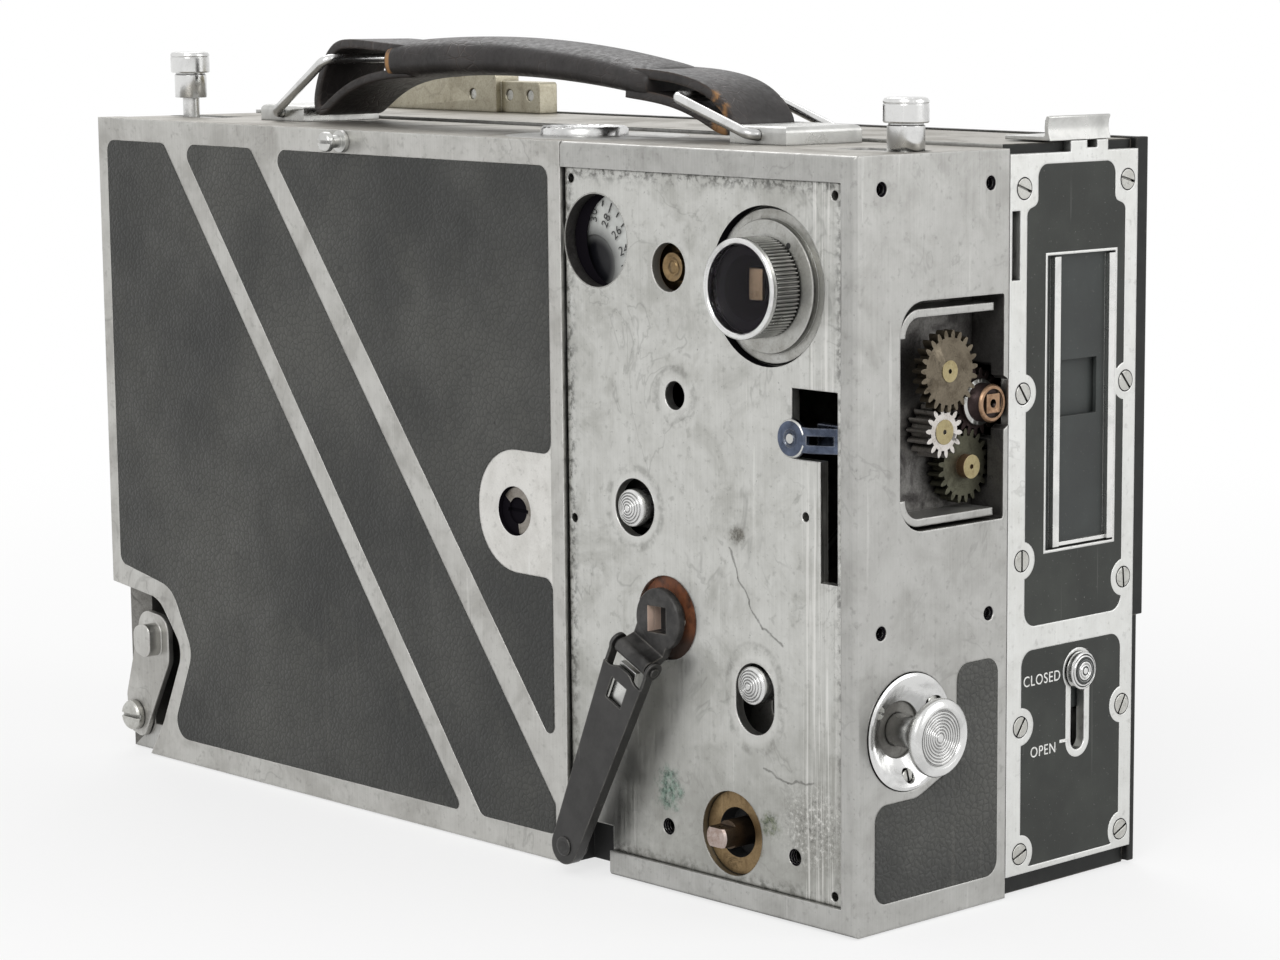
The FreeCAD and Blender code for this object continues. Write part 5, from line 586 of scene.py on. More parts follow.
@dataclass(frozen=True)
class OpticalBlack(Finish):
    """Matt black that gives back almost no light: the lining of the eye tube, and painted shade in holes and
    gaps.
    """

    def write(self, w: Wiring, shader: bpy.types.Node) -> None:
        """Write the lining."""
        w.feed(shader.inputs["Base Color"], (0.004, 0.003, 0.005))
        shader.inputs["Roughness"].default_value = 0.9
        shader.inputs["Specular IOR Level"].default_value = 0.08


@dataclass(frozen=True)
class CoveringLeather(Finish):
    """Thin pebbled leather of a camera body, rubbed shiny in places."""

    colour: RGB = (0.02, 0.021, 0.019)
    worn: RGB = (0.085, 0.085, 0.076)
    pebble: float = 780.0

    def write(self, w: Wiring, shader: bpy.types.Node) -> None:
        """Write the leather."""
        at = w.place()
        grain = EFFECTS.put(w, "pebbles", at, Scale=self.pebble)
        lines = EFFECTS.put(w, "scratches", at, Scale=420.0)["Lines"]
        broad = w.noise(at, 22.0, 4.0, 0.55)
        patchy = w.noise(at, 130.0, 5.0, 0.65)
        colour = w.blend(w.smooth(broad, 0.35, 0.7, 0.0, 0.7), self.colour, self.worn)
        colour = w.blend(w.smooth(patchy, 0.52, 0.8, 0.0, 0.5), colour, self.worn)
        # The grain's creases are painted darker: painted shade in the creases.
        colour = w.blend(w.times(grain["Crease"], 0.6), colour, (0.012, 0.012, 0.011))
        nick = w.smooth(w.noise(at, 300.0, 3.0, 0.5), 0.735, 0.76)
        colour = w.blend(w.times(nick, 0.7), colour, (0.01, 0.009, 0.008))
        colour = w.blend(w.times(lines, 0.08), colour, (0.2, 0.19, 0.17))
        w.coat(shader, colour, w.smooth(patchy, 0.3, 0.7, 0.5, 0.64))
        height = w.do("ADD", grain["Height"], w.times(w.noise(at, 160.0, 3.0), 2.2))
        w.relief(shader, height, 0.00017, 1.0)


@dataclass(frozen=True)
class StrapLeather(Finish):
    """Thick smooth handle leather, cracked, with tan showing along its near edge."""

    colour: RGB = (0.012, 0.01, 0.0095)
    tan: RGB = (0.3, 0.13, 0.04)
    left: float = -1.0
    patches: Pairs = ()
    seams: tuple[float, ...] = ()

    def write(self, w: Wiring, shader: bpy.types.Node) -> None:
        """Write the leather, its cracks and its worn edges."""
        at = w.place()
        edges = EFFECTS.put(w, "edges", at, Width=0.0009, Reach=0.002)
        broad = w.noise(at, 60.0, 5.0, 0.6)
        fine = w.noise(at, 900.0, 5.0, 0.65)
        cells = w.node("ShaderNodeTexVoronoi", {"Vector": w.mapped(at, (1.0, 0.45, 1.0)), "Scale": 520.0},
                       feature="DISTANCE_TO_EDGE").outputs["Distance"]
        crack = w.times(w.smooth(cells, 0.07, 0.0), w.smooth(broad, 0.45, 0.65))
        colour = w.blend(w.smooth(broad, 0.35, 0.72), self.colour, toned(self.colour, 2.6, 0.01))
        side = w.smooth(w.part(at, "X"), (self.left + 1.8) * MM, self.left * MM)
        rubbed = w.times(edges["Bare"], 0.12)
        for place, reach in self.patches:
            near = w.band(w.part(at, "Y"), place * MM, 0.5 * reach * MM, 0.5 * reach * MM)
            rubbed = w.do("MAXIMUM", rubbed, w.times(w.times(side, near),
                                                    w.smooth(w.noise(at, 190.0, 5.0, 0.7), 0.4, 0.56)))
        for seam in self.seams:
            line = w.band(w.part(at, "Y"), seam * MM, 0.0005, 0.0006)
            rubbed = w.do("MAXIMUM", rubbed, w.times(line, w.smooth(fine, 0.3, 0.55)))
        colour = w.blend(w.times(rubbed, 0.85), colour, w.blend(fine, self.tan, (0.5, 0.27, 0.1)))
        colour = w.blend(w.times(crack, 0.25), colour, (0.07, 0.045, 0.03))
        w.coat(shader, colour, w.smooth(fine, 0.3, 0.7, 0.36, 0.56))
        shader.inputs["Specular IOR Level"].default_value = 0.4
        height = w.do("SUBTRACT", w.do("ADD", fine, w.times(broad, 3.0)), w.times(crack, 1.5))
        w.relief(shader, height, 0.0001, 0.6, edges["Normal"])


@dataclass(frozen=True)
class PressedFibre(Finish):
    """Orange-brown pressed fibre with oil soaked in, and darker below a given height."""

    colour: RGB = (0.17, 0.055, 0.022)
    soaked: RGB = (0.03, 0.014, 0.008)
    wet_below: float = 49.0

    def write(self, w: Wiring, shader: bpy.types.Node) -> None:
        """Write the fibre."""
        at = w.place()
        weave = w.noise(at, 1400.0, 4.0, 0.7)
        cloud = w.noise(at, 380.0, 4.0, 0.6)
        # Darker below a given height.
        low = w.smooth(w.part(at, "Z"), (self.wet_below + 3.0) * MM, (self.wet_below - 2.0) * MM)
        darkening = w.do("MAXIMUM", w.smooth(cloud, 0.42, 0.7), low)
        colour = w.blend(w.smooth(weave, 0.4, 0.7, 0.0, 0.4), self.colour, (0.26, 0.11, 0.045))
        w.coat(shader, w.blend(darkening, colour, self.soaked), w.smooth(weave, 0.3, 0.7, 0.5, 0.75))
        w.relief(shader, weave, 0.00008, 0.6)


@dataclass(frozen=True)
class LensGlass(Finish):
    """Clear or dark glass with a little dust."""

    colour: RGB = (1.0, 1.0, 1.0)
    index: float = 1.5

    def write(self, w: Wiring, shader: bpy.types.Node) -> None:
        """Write the glass."""
        at = w.place()
        dust = w.smooth(w.noise(at, 1500.0, 4.0, 0.7), 0.6, 0.75)
        w.coat(shader, w.blend(w.times(dust, 0.15), self.colour, (0.5, 0.5, 0.48)),
               w.smooth(dust, 0.0, 1.0, 0.015, 0.12))
        shader.inputs["Transmission Weight"].default_value = 1.0
        shader.inputs["IOR"].default_value = self.index


@dataclass(frozen=True)
class Ink(Finish):
    """Filled lettering, slightly broken."""

    colour: RGB = (0.8, 0.8, 0.78)
    dirty: RGB = (0.45, 0.44, 0.41)

    def write(self, w: Wiring, shader: bpy.types.Node) -> None:
        """Write the filling."""
        at = w.place()
        broken = w.noise(at, 2400.0, 4.0, 0.7)
        w.coat(shader, w.blend(w.smooth(broken, 0.45, 0.7), self.colour, self.dirty),
               w.smooth(broken, 0.3, 0.7, 0.45, 0.65))


def small(name: str, colour: RGB, tarnish: RGB, stain: float, scale: float, roughness: float,
          edge: float = 0.0001) -> WornMetal:
    """Metal of a small piece, with fine stains and narrow rubbed edges."""
    return WornMetal(name, colour, tarnish, roughness, stain, scale, grain=Grain.CAST, edge=edge)


CASTING = WornMetal("cast_alloy", colour=(0.475, 0.473, 0.455), tarnish=(0.26, 0.255, 0.24), stain=0.4,
                    stain_scale=85.0, rim=0.18, marks=0.1, dirt=0.75, wear=0.6, roughness=0.37)
# The cast alloy painted darker for the top faces: painted shade.
SHADED_TOP = WornMetal("dull_top_alloy", colour=(0.33, 0.315, 0.285), tarnish=(0.16, 0.15, 0.13), stain=0.6,
                stain_scale=60.0, rim=0.2, grain=Grain.CAST, marks=0.1, dirt=0.5, roughness=0.44)
COVER = WornMetal("cover_frame", colour=(0.55, 0.545, 0.52), tarnish=(0.3, 0.29, 0.27), stain=0.45,
                  stain_scale=80.0, rim=0.25, marks=0.1, wear=0.75, roughness=0.37)
LUG_PAD = WornMetal("lug_pad_alloy", colour=(0.72, 0.71, 0.68), tarnish=(0.46, 0.45, 0.42), stain=0.3,
                    stain_scale=120.0, rim=0.1, grain=Grain.CAST, marks=0.1, roughness=0.37)
PLATE = StainedPlate(
    "mechanism_plate_alloy", colour=(0.6, 0.6, 0.575), tarnish=(0.33, 0.327, 0.3), stain=0.5,
    stain_scale=80.0, rim=0.25, marks=0.08, dirt=0.8, roughness=0.36,
    halos=(((-89.2, 37.0), (-89.2, 43.0), 6.4), ((-56.9, 72.0), (-56.9, 72.1), 7.0),
           ((-68.2, 94.1), (-68.2, 94.2), 4.6)),
    blots=(Blot(-66.0, 19.3, 4.6, 1.6, (0.03, 0.07, 0.05), (0.26, 0.36, 0.3)),
           Blot(-93.1, 16.8, 3.0, 0.9, (0.04, 0.055, 0.035), (0.2, 0.22, 0.15)),
           Blot(-84.6, 69.7, 2.3, 0.8, (0.1, 0.095, 0.08), (0.26, 0.25, 0.22)),
           Blot(-89.7, 11.6, 1.6, 0.8, (0.08, 0.07, 0.05), (0.3, 0.28, 0.22))),
    lines=(((-83.0, 67.6), (-85.2, 62.0), (-87.8, 58.1), (-91.3, 53.5), (-97.1, 51.0)),
           ((-91.8, 27.2), (-97.6, 25.6), (-104.0, 26.9))))
FACE = WornMetal("face_plate_alloy", colour=(0.73, 0.735, 0.715), tarnish=(0.46, 0.455, 0.43), stain=0.35,
                 stain_scale=60.0, rim=0.2, marks=0.1, roughness=0.34)
BRACKET = WornMetal("bracket_casting", colour=(0.46, 0.43, 0.34), tarnish=(0.24, 0.21, 0.15), stain=0.4,
                    stain_scale=90.0, rim=0.2, grain=Grain.CAST, marks=0.4)
BAY = WornMetal("gear_bay_metal", colour=(0.2, 0.195, 0.185), tarnish=(0.045, 0.04, 0.04), stain=0.8,
                stain_scale=180.0, rim=0.5, grain=Grain.CAST, roughness=0.5)
INNER = WornMetal("inner_castings", colour=(0.25, 0.245, 0.23), tarnish=(0.1, 0.095, 0.085), stain=0.6,
                  stain_scale=90.0, grain=Grain.CAST, roughness=0.48)
SCREW = small("screw_steel", (0.58, 0.58, 0.55), (0.3, 0.29, 0.26), 0.4, 300.0, 0.32, 0.0002)
STEEL = small("turned_steel", (0.3, 0.28, 0.25), (0.12, 0.1, 0.08), 0.6, 260.0, 0.35, 0.0002)
BROWNED = small("browned_shaft", (0.09, 0.065, 0.045), (0.035, 0.024, 0.017), 0.6, 260.0, 0.4, 0.0002)
BUSH = small("bush_brass", (0.27, 0.19, 0.1), (0.11, 0.07, 0.035), 0.6, 300.0, 0.38, 0.00015)
PINION = small("pinion_steel", (0.66, 0.63, 0.6), (0.33, 0.3, 0.27), 0.5, 300.0, 0.35)
BRONZE = small("gear_bronze", (0.17, 0.145, 0.108), (0.075, 0.06, 0.042), 0.6, 330.0, 0.45)
OLIVE = small("dark_gear_steel", (0.12, 0.118, 0.085), (0.05, 0.048, 0.035), 0.6, 330.0, 0.45)
PURPLE = small("browned_steel", (0.05, 0.036, 0.035), (0.022, 0.016, 0.015), 0.5, 300.0, 0.4)
BRASS = small("hub_brass", (0.4, 0.34, 0.19), (0.2, 0.16, 0.08), 0.5, 380.0, 0.35)
COPPER = small("coupling_bronze", (0.36, 0.235, 0.15), (0.17, 0.095, 0.055), 0.6, 300.0, 0.4)
TIP = small("worn_shaft_end", (0.5, 0.43, 0.4), (0.24, 0.15, 0.11), 0.5, 400.0, 0.42, 0.00015)
COVER_TURNED = WornMetal("turned_alloy", colour=(0.46, 0.46, 0.44), tarnish=(0.24, 0.23, 0.2), stain=0.45,
                         stain_scale=150.0, rim=0.2, grain=Grain.CAST, marks=0.3, edge=0.0003, roughness=0.33)
# Tan of the crank socket's far wall: its worn colour, with painted light where the wall faces the light.
WORN_LIT_SOCKET_WALL = Enamel("worn_socket_wall", colour=(0.42, 0.31, 0.25), roughness=0.5, scuff=0.3)
CHROME = BrightPlate("bright_plating")
SATIN = BrightPlate("satin_plating", colour=(0.6, 0.6, 0.58), roughness=0.26, haze=0.16)
RAIL = BrightPlate("polished_rail", colour=(0.78, 0.78, 0.76), roughness=0.2, haze=0.14)
BLUED = Blackened("blued_lever", colour=(0.05, 0.06, 0.085), bare=(0.4, 0.41, 0.42), roughness=0.3, wear=0.5,
                  metallic=1.0)
BLACK = Blackened("crank_black", colour=(0.03, 0.029, 0.028), bare=(0.26, 0.24, 0.21), wear=0.5)
ARM = Blackened("crank_arm_black", colour=(0.055, 0.054, 0.053), bare=(0.26, 0.25, 0.23), roughness=0.42,
                wear=0.45, metallic=0.9, cloud=1.35)
LID_BLACK = Blackened("lid_black", colour=(0.008, 0.0085, 0.008), roughness=0.5, wear=0.45, metallic=0.05,
                      gloss=0.25)
PANEL = Enamel("face_panel_enamel", colour=(0.02, 0.022, 0.019), gloss=0.32)
CHANNEL = Enamel("gate_channel_black", colour=(0.022, 0.025, 0.024), roughness=0.5, scuff=0.2, gloss=0.4)
LEATHER = CoveringLeather("covering_leather")
GRIP = StrapLeather("grip_leather", left=-1.0, patches=((-42.5, 1.6),), seams=(38.4,))
STRAP = StrapLeather("strap_leather", left=0.1, patches=((-60.5, 2.6), (-66.5, 2.4)))
FIBRE = PressedFibre("pressed_fibre")
GLASS = LensGlass("window_glass")
EYE_GLASS = LensGlass("eye_glass", colour=(0.8, 0.74, 0.82), index=1.16)
# Optical black: the eye tube's own lining, and painted shade in holes, gaps and thread flanks.
BLACK_LINING_AND_SHADE = OpticalBlack("optical_black")
WHITE_INK = Ink("white_filling")
BLACK_INK = Ink("black_filling", colour=(0.02, 0.02, 0.02), dirty=(0.08, 0.08, 0.075))
DIAL_WHITE = DialEnamelWithPaintedShadow("dial_white", colour=(0.5, 0.51, 0.49), roughness=0.35, scuff=0.15, gloss=0.3)
# Black painted into notches, holes, bores and socket floors: painted shade.
SHADE_BLACK = Enamel("inner_black", colour=(0.012, 0.012, 0.012), roughness=0.6, scuff=0.1)


# Regions of a piece


@dataclass(frozen=True)
class Box:
    """A box in millimetres. A side that isn't given is open."""

    x: Pair = (-OPEN, OPEN)
    y: Pair = (-OPEN, OPEN)
    z: Pair = (-OPEN, OPEN)

    def holds(self, point: Vector) -> bool:
        """Whether a point lies in the box."""
        return all(low < place < high for place, (low, high) in zip(point, (self.x, self.y, self.z)))


@dataclass(frozen=True)
class Bar:
    """A round bar along an axis, in millimetres. Its ends are open where no span is given."""

    axis: Axis
    centre: Pair
    radius: float
    span: Pair = (-OPEN, OPEN)

    def holds(self, point: Vector) -> bool:
        """Whether a point lies in the bar."""
        along = "XYZ".index(self.axis.name)
        across = [place for k, place in enumerate(point) if k != along]
        return math.dist(across, self.centre) < self.radius and self.span[0] < point[along] < self.span[1]


# Mesh tools


def placed(name: str, data: bpy.types.ID) -> bpy.types.Object:
    """A new object of the data, linked to the scene."""
    made = bpy.data.objects.new(name, data)
    bpy.context.scene.collection.objects.link(made)
    return made


def points_of(geometry: list) -> list[bmesh.types.BMVert]:
    """The vertices among the results of a mesh step."""
    return [part for part in geometry if isinstance(part, bmesh.types.BMVert)]


def block(size: Triple, centre: Iterable[float], turn: float = 0.0,
          rounding: float = 0.0) -> bmesh.types.BMesh:
    """A box in millimetres, with its edges rounded and turned about X by degrees."""
    bm = bmesh.new()
    bmesh.ops.create_cube(bm, size=1.0)
    bmesh.ops.scale(bm, vec=Vector(size) * MM, verts=bm.verts)
    if rounding:
        bmesh.ops.bevel(bm, geom=bm.edges[:], offset=rounding * MM, segments=2, affect="EDGES", profile=0.5,
                        material=-1)
    bmesh.ops.rotate(bm, verts=bm.verts, matrix=Matrix.Rotation(math.radians(turn), 3, "X"))
    bmesh.ops.translate(bm, vec=Vector(centre) * MM, verts=bm.verts)
    return bm


def slab(side: Iterable[Pair], left: float, width: float) -> bmesh.types.BMesh:
    """A flat (y, z) outline in millimetres, given a width along X."""
    bm = bmesh.new()
    face = bm.faces.new([bm.verts.new(Vector((left, y, z)) * MM) for y, z in side])
    grown = bmesh.ops.extrude_face_region(bm, geom=[face])["geom"]
    bmesh.ops.translate(bm, verts=points_of(grown), vec=(width * MM, 0.0, 0.0))
    bmesh.ops.recalc_face_normals(bm, faces=bm.faces)
    return bm


def joined(parts: Iterable[bmesh.types.BMesh]) -> bmesh.types.BMesh:
    """Several meshes as one."""
    whole = bmesh.new()
    for part in parts:
        data = bpy.data.meshes.new("part")
        part.to_mesh(data)
        part.free()
        whole.from_mesh(data)
        bpy.data.meshes.remove(data)
    return whole


def piece(name: str, mesh: bmesh.types.BMesh | bpy.types.Mesh, finish: Finish, body: str,
          sharp: float = 35.0) -> bpy.types.Object:
    """Make an object of a mesh, finished, shaded and riding on its body.

    Args:
        name: Name of the piece.
        mesh: Its shape, in metres, in place.
        finish: Finish of all its faces.
        body: CAD body that it rides on.
        sharp: Angle in degrees past which an edge stays sharp.

    Returns:
        The new object.
    """
    if isinstance(mesh, bmesh.types.BMesh):
        data = bpy.data.meshes.new(name)
        mesh.to_mesh(data)
        mesh.free()
    else:
        data = mesh
    data.name = name
    data.materials.clear()
    data.materials.append(finish.material())
    data.polygons.foreach_set("use_smooth", [True] * len(data.polygons))
    data.set_sharp_from_angle(angle=math.radians(sharp))
    made = placed(name, data)
    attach(made, body)
    log.info("%s: %d faces on %s", name, len(data.polygons), body)
    return made


def spun(profile: Profile, axis: Axis, centre: Pair, steps: int = 72) -> bmesh.types.BMesh:
    """Turn a profile round an axis.

    Args:
        profile: (radius, place along the axis) pairs, in millimetres; closed where both ends touch the axis,
            or where the last point is the first.
        axis: Axis that it turns about.
        centre: The other two coordinates of the axis, in the order of their letters.
        steps: Flats in a full turn.

    Returns:
        The closed mesh.
    """
    bm = bmesh.new()
    place = {
        Axis.X: lambda r, w: Vector((w, centre[0] + r, centre[1])),
        Axis.Y: lambda r, w: Vector((centre[0] + r, w, centre[1])),
        Axis.Z: lambda r, w: Vector((centre[0] + r, centre[1], w)),
    }[axis]
    points = [bm.verts.new(place(r, w) * MM) for r, w in profile]
    edges = [bm.edges.new(pair) for pair in zip(points, points[1:])]
    bmesh.ops.spin(bm, geom=points + edges, cent=place(0.0, 0.0) * MM, axis=Vector(axis.value),
                   angle=math.tau, steps=steps, use_merge=True)
    bmesh.ops.remove_doubles(bm, verts=bm.verts, dist=MERGE)
    bmesh.ops.recalc_face_normals(bm, faces=bm.faces)
    return bm


def rings(inner: float, outer: float, face: float, count: int, depth: float, dome: float = 0.0) -> Profile:
    """Profile of concentric grooves on a round face that looks to the lower side of its axis.

    Args:
        inner: Radius where the grooves start.
        outer: Radius where they end.
        face: Place of the face along the axis.
        count: Number of grooves.
        depth: Depth of a groove.
        dome: Fall of the face from its middle to its rim.

    Returns:
        The profile from the middle outwards.
    """
    pitch = (outer - inner) / count
    points = []
    for k in range(count):
        for share, sunk in ((0.0, 0.0), (0.4, 0.0), (0.62, depth), (0.82, depth)):
            radius = inner + pitch * (k + share)
            points.append((radius, face + sunk + dome * (radius / outer) ** 2))
    points.append((outer, face + dome))
    return points


def merged(node: str) -> bmesh.types.BMesh:
    """A CAD node's shape with its triangles joined and its flat faces made whole."""
    bm = bmesh.new()
    bm.from_mesh(bpy.data.objects[node].data)
    bmesh.ops.remove_doubles(bm, verts=bm.verts, dist=MERGE)
    bmesh.ops.dissolve_limit(bm, angle_limit=math.radians(FLAT), verts=bm.verts, edges=bm.edges)
    return bm


def softened(made: bpy.types.Object, width: float, segments: int = 2) -> bpy.types.Object:
    """Round a piece's sharp edges; the width is in millimetres."""
    bevel = made.modifiers.new("rounded_edges", "BEVEL")
    bevel.width = width * MM
    bevel.segments = segments
    bevel.limit_method = "ANGLE"
    bevel.angle_limit = math.radians(ROUNDED_PAST)
    bevel.profile = 0.5
    bevel.material = -1
    bevel.use_clamp_overlap = True
    return made


def refined(node: str, finish: Finish, round_edge: float = 0.0,
            sharp: float = 35.0) -> bpy.types.Object:
    """A smooth-shaded stand-in for a CAD node, with its edges rounded.

    Args:
        node: CAD node that it replaces.
        finish: Its finish.
        round_edge: Width of the rounding in millimetres, or 0.
        sharp: Angle past which an edge stays sharp.

    Returns:
        The piece.
    """
    body = bpy.data.objects[node]["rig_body"]
    made = piece(f"{node}_finished", merged(node), finish, body, sharp)
    if round_edge:
        softened(made, round_edge)
    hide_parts(node)
    return made


def dress(node: str, finish: Finish) -> bpy.types.Object:
    """Give a CAD node its finish."""
    made = bpy.data.objects[node]
    made.data.materials.clear()
    made.data.materials.append(finish.material())
    made.data.polygons.foreach_set("material_index", [0] * len(made.data.polygons))
    log.info("%s: dressed in %s", node, finish.name)
    return made


def dress_where(made: bpy.types.Object, finish: Finish, test: Callable[[Vector], bool]) -> None:
    """Give the faces whose middle passes a test another finish; the test is in millimetres."""
    made.data.materials.append(finish.material())
    index = len(made.data.materials) - 1
    for polygon in made.data.polygons:
        if test(polygon.center / MM):
            polygon.material_index = index


def lettering(name: str, text: str, size: float, place: Vector, right: Vector, up: Vector, finish: Finish,
              body: str, stretch: float = 1.0) -> bpy.types.Object:
    """Raised lettering, a hair thick.

    Args:
        name: Name of the piece.
        text: The figures or the word.
        size: Height of a capital, in millimetres.
        place: Middle of the word, in millimetres.
        right: Direction that it is read along.
        up: Direction of its top.
        finish: Its finish.
        body: CAD body that it rides on.
        stretch: Width of the letters against their plain width.

    Returns:
        The piece.
    """
    curve = bpy.data.curves.new(name, "FONT")
    curve.body = text
    curve.align_x = "CENTER"
    curve.align_y = "CENTER"
    curve.size = size / CAPITAL * MM
    curve.extrude = LETTER_DEPTH * MM
    curve.space_character = LETTER_SPACING
    holder = placed(name, curve)
    bpy.context.view_layer.update()
    shape = bpy.data.meshes.new_from_object(holder.evaluated_get(bpy.context.evaluated_depsgraph_get()))
    bpy.data.objects.remove(holder)
    out = right.cross(up).normalized()
    frame = Matrix((right.normalized(), up.normalized(), out)).transposed().to_4x4()
    shape.transform(Matrix.Translation(place * MM) @ frame @ Matrix.Diagonal((stretch, 1.0, 1.0, 1.0)))
    return piece(name, shape, finish, body)


def thread(name: str, axis: Axis, centre: Pair, start: float, end: float, radius: float,
           body: str, finish: Finish, pitch: float = 0.7, depth: float = 0.28) -> bpy.types.Object:
    """Thread rings that line a tapped hole, with flanks painted black as the shade inside the hole, and
    crests of the given finish.
    """
    turns = max(2, round(abs(end - start) / pitch))
    step = (end - start) / turns
    inside: Profile = []
    for k in range(turns):
        inside += [(radius - 0.04, start + step * k), (radius - depth, start + step * (k + 0.3)),
                   (radius - depth, start + step * (k + 0.65))]
    inside.append((radius - 0.04, end))
    wall = [(radius - 0.01, end), (radius - 0.01, start), inside[0]]
    made = piece(name, spun(inside + wall, axis, centre, 28), BLACK_LINING_AND_SHADE, body)
    along = Vector(axis.value)
    dress_where(made, finish, lambda p: 0.4 < ((p.dot(along) - start) / step) % 1.0 < 0.55)
    return made


# Sub-assemblies


@dataclass
class Castings:
    """Housing, plates and inner works: CAD nodes that keep their shape."""

    body_top: Box = Box(z=(139.95, OPEN))
    case_top: Box = Box(z=(140.65, OPEN))
    case_front: Box = Box(y=(-OPEN, -113.95))
    lid_inside: Box = Box(x=(-OPEN, 56.2))
    gear_bay: Box = Box((-8.9, 20.4), (-115.95, OPEN), (72.1, 114.0))
    motor_room: Box = Box((-18.9, 15.9), (-115.0, OPEN), (4.9, 134.9))
    crank_notch: Box = Box((-20.1, -12.9), (-50.1, -37.5), (-0.05, 9.6))
    plate_notch: Box = Box((-18.98, -12.9), (-50.1, -37.5), (-0.05, 9.6))
    lug_pad: Bar = Bar(Axis.X, (-23.2, 67.9), 12.0, (-OPEN, -19.95))
    lug_hole: Bar = Bar(Axis.X, (-23.2, 67.9), 4.9, (-19.9, OPEN))
    eyepiece_hole: Bar = Bar(Axis.X, (-92.7, 115.9), 14.6, (-18.98, OPEN))
    liner_front: float = -108.5
    liner_low: float = 78.2
    liner_high: float = 107.5
    liner_left: float = -6.0
    lid_strips: tuple[Triple, ...] = ((60.0, 49.0, 141.0), (58.3, 0.3, 49.2))
    plain: tuple[tuple[Finish, tuple[str, ...]], ...] = (
        (FACE, ("magazine_face_plate",)), (PANEL, ("magazine_panels",)), (SCREW, ("magazine_screws",)),
        (INNER, ("bearing_bridges", "transfer_gear", "spring_barrel", "motor_studs", "pressure_plate")),
        (STEEL, ("governor", "tripod_bush", "film_sprocket")), (BLUED, ("mainspring",)),
        (LID_BLACK, ("supply_spool", "takeup_spool")))

    def on_liner(self, point: Vector) -> bool:
        """Whether a point lies on the band that lines the gear bay."""
        return point.y < self.liner_front and (point.z < self.liner_low or point.z > self.liner_high
                                               or point.x < self.liner_left)

    def lid_edge(self) -> None:
        """Front edge of the magazine's lid, beside the face plate."""
        left, middle, deep = 56.6, -114.6, 1.6
        strips = joined(block((right - left, deep, high - low),
                              ((right + left) / 2, middle, (high + low) / 2))
                        for right, low, high in self.lid_strips)
        body = bpy.data.objects["magazine_lid"]["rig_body"]
        softened(piece("magazine_lid_edge", strips, LID_BLACK, body), 0.2)

    def build(self) -> None:
        """Dress every casting and inner piece."""
        # Darker tops, black notches and the black holes round the lug and the eyepiece are painted shade.
        for node, finish, marks in (
                ("motor_housing", CASTING,
                 ((BAY, self.gear_bay), (INNER, self.motor_room), (SHADED_TOP, self.body_top),
                  (SHADE_BLACK, self.crank_notch))),
                ("side_cover", COVER,
                 ((SHADED_TOP, self.body_top), (LUG_PAD, self.lug_pad), (BLACK_LINING_AND_SHADE, self.lug_hole))),
                ("mechanism_plate", PLATE, ((BLACK_LINING_AND_SHADE, self.eyepiece_hole), (SHADE_BLACK, self.plate_notch))),
                ("magazine_case", CASTING, ((SHADED_TOP, self.case_top), (LID_BLACK, self.case_front))),
                ("magazine_lid", LID_BLACK, ((INNER, self.lid_inside),))):
            made = dress(node, finish)
            for mark, region in marks:
                dress_where(made, mark, region.holds)
        dress_where(dress("gear_bridge", BAY), CASTING, self.on_liner)
        for finish, nodes in self.plain:
            for node in nodes:
                dress(node, finish)
        self.lid_edge()


@dataclass
class LeatherCovering:
    """Leather let into the cover and the front face."""

    rounding: float = 0.28

    def build(self) -> None:
        """Make the four panels with rolled edges."""
        made = piece("leather_covering", merged("leather_panels"), LEATHER, "camera_body")
        softened(made, self.rounding, 3)
        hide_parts("leather_panels")


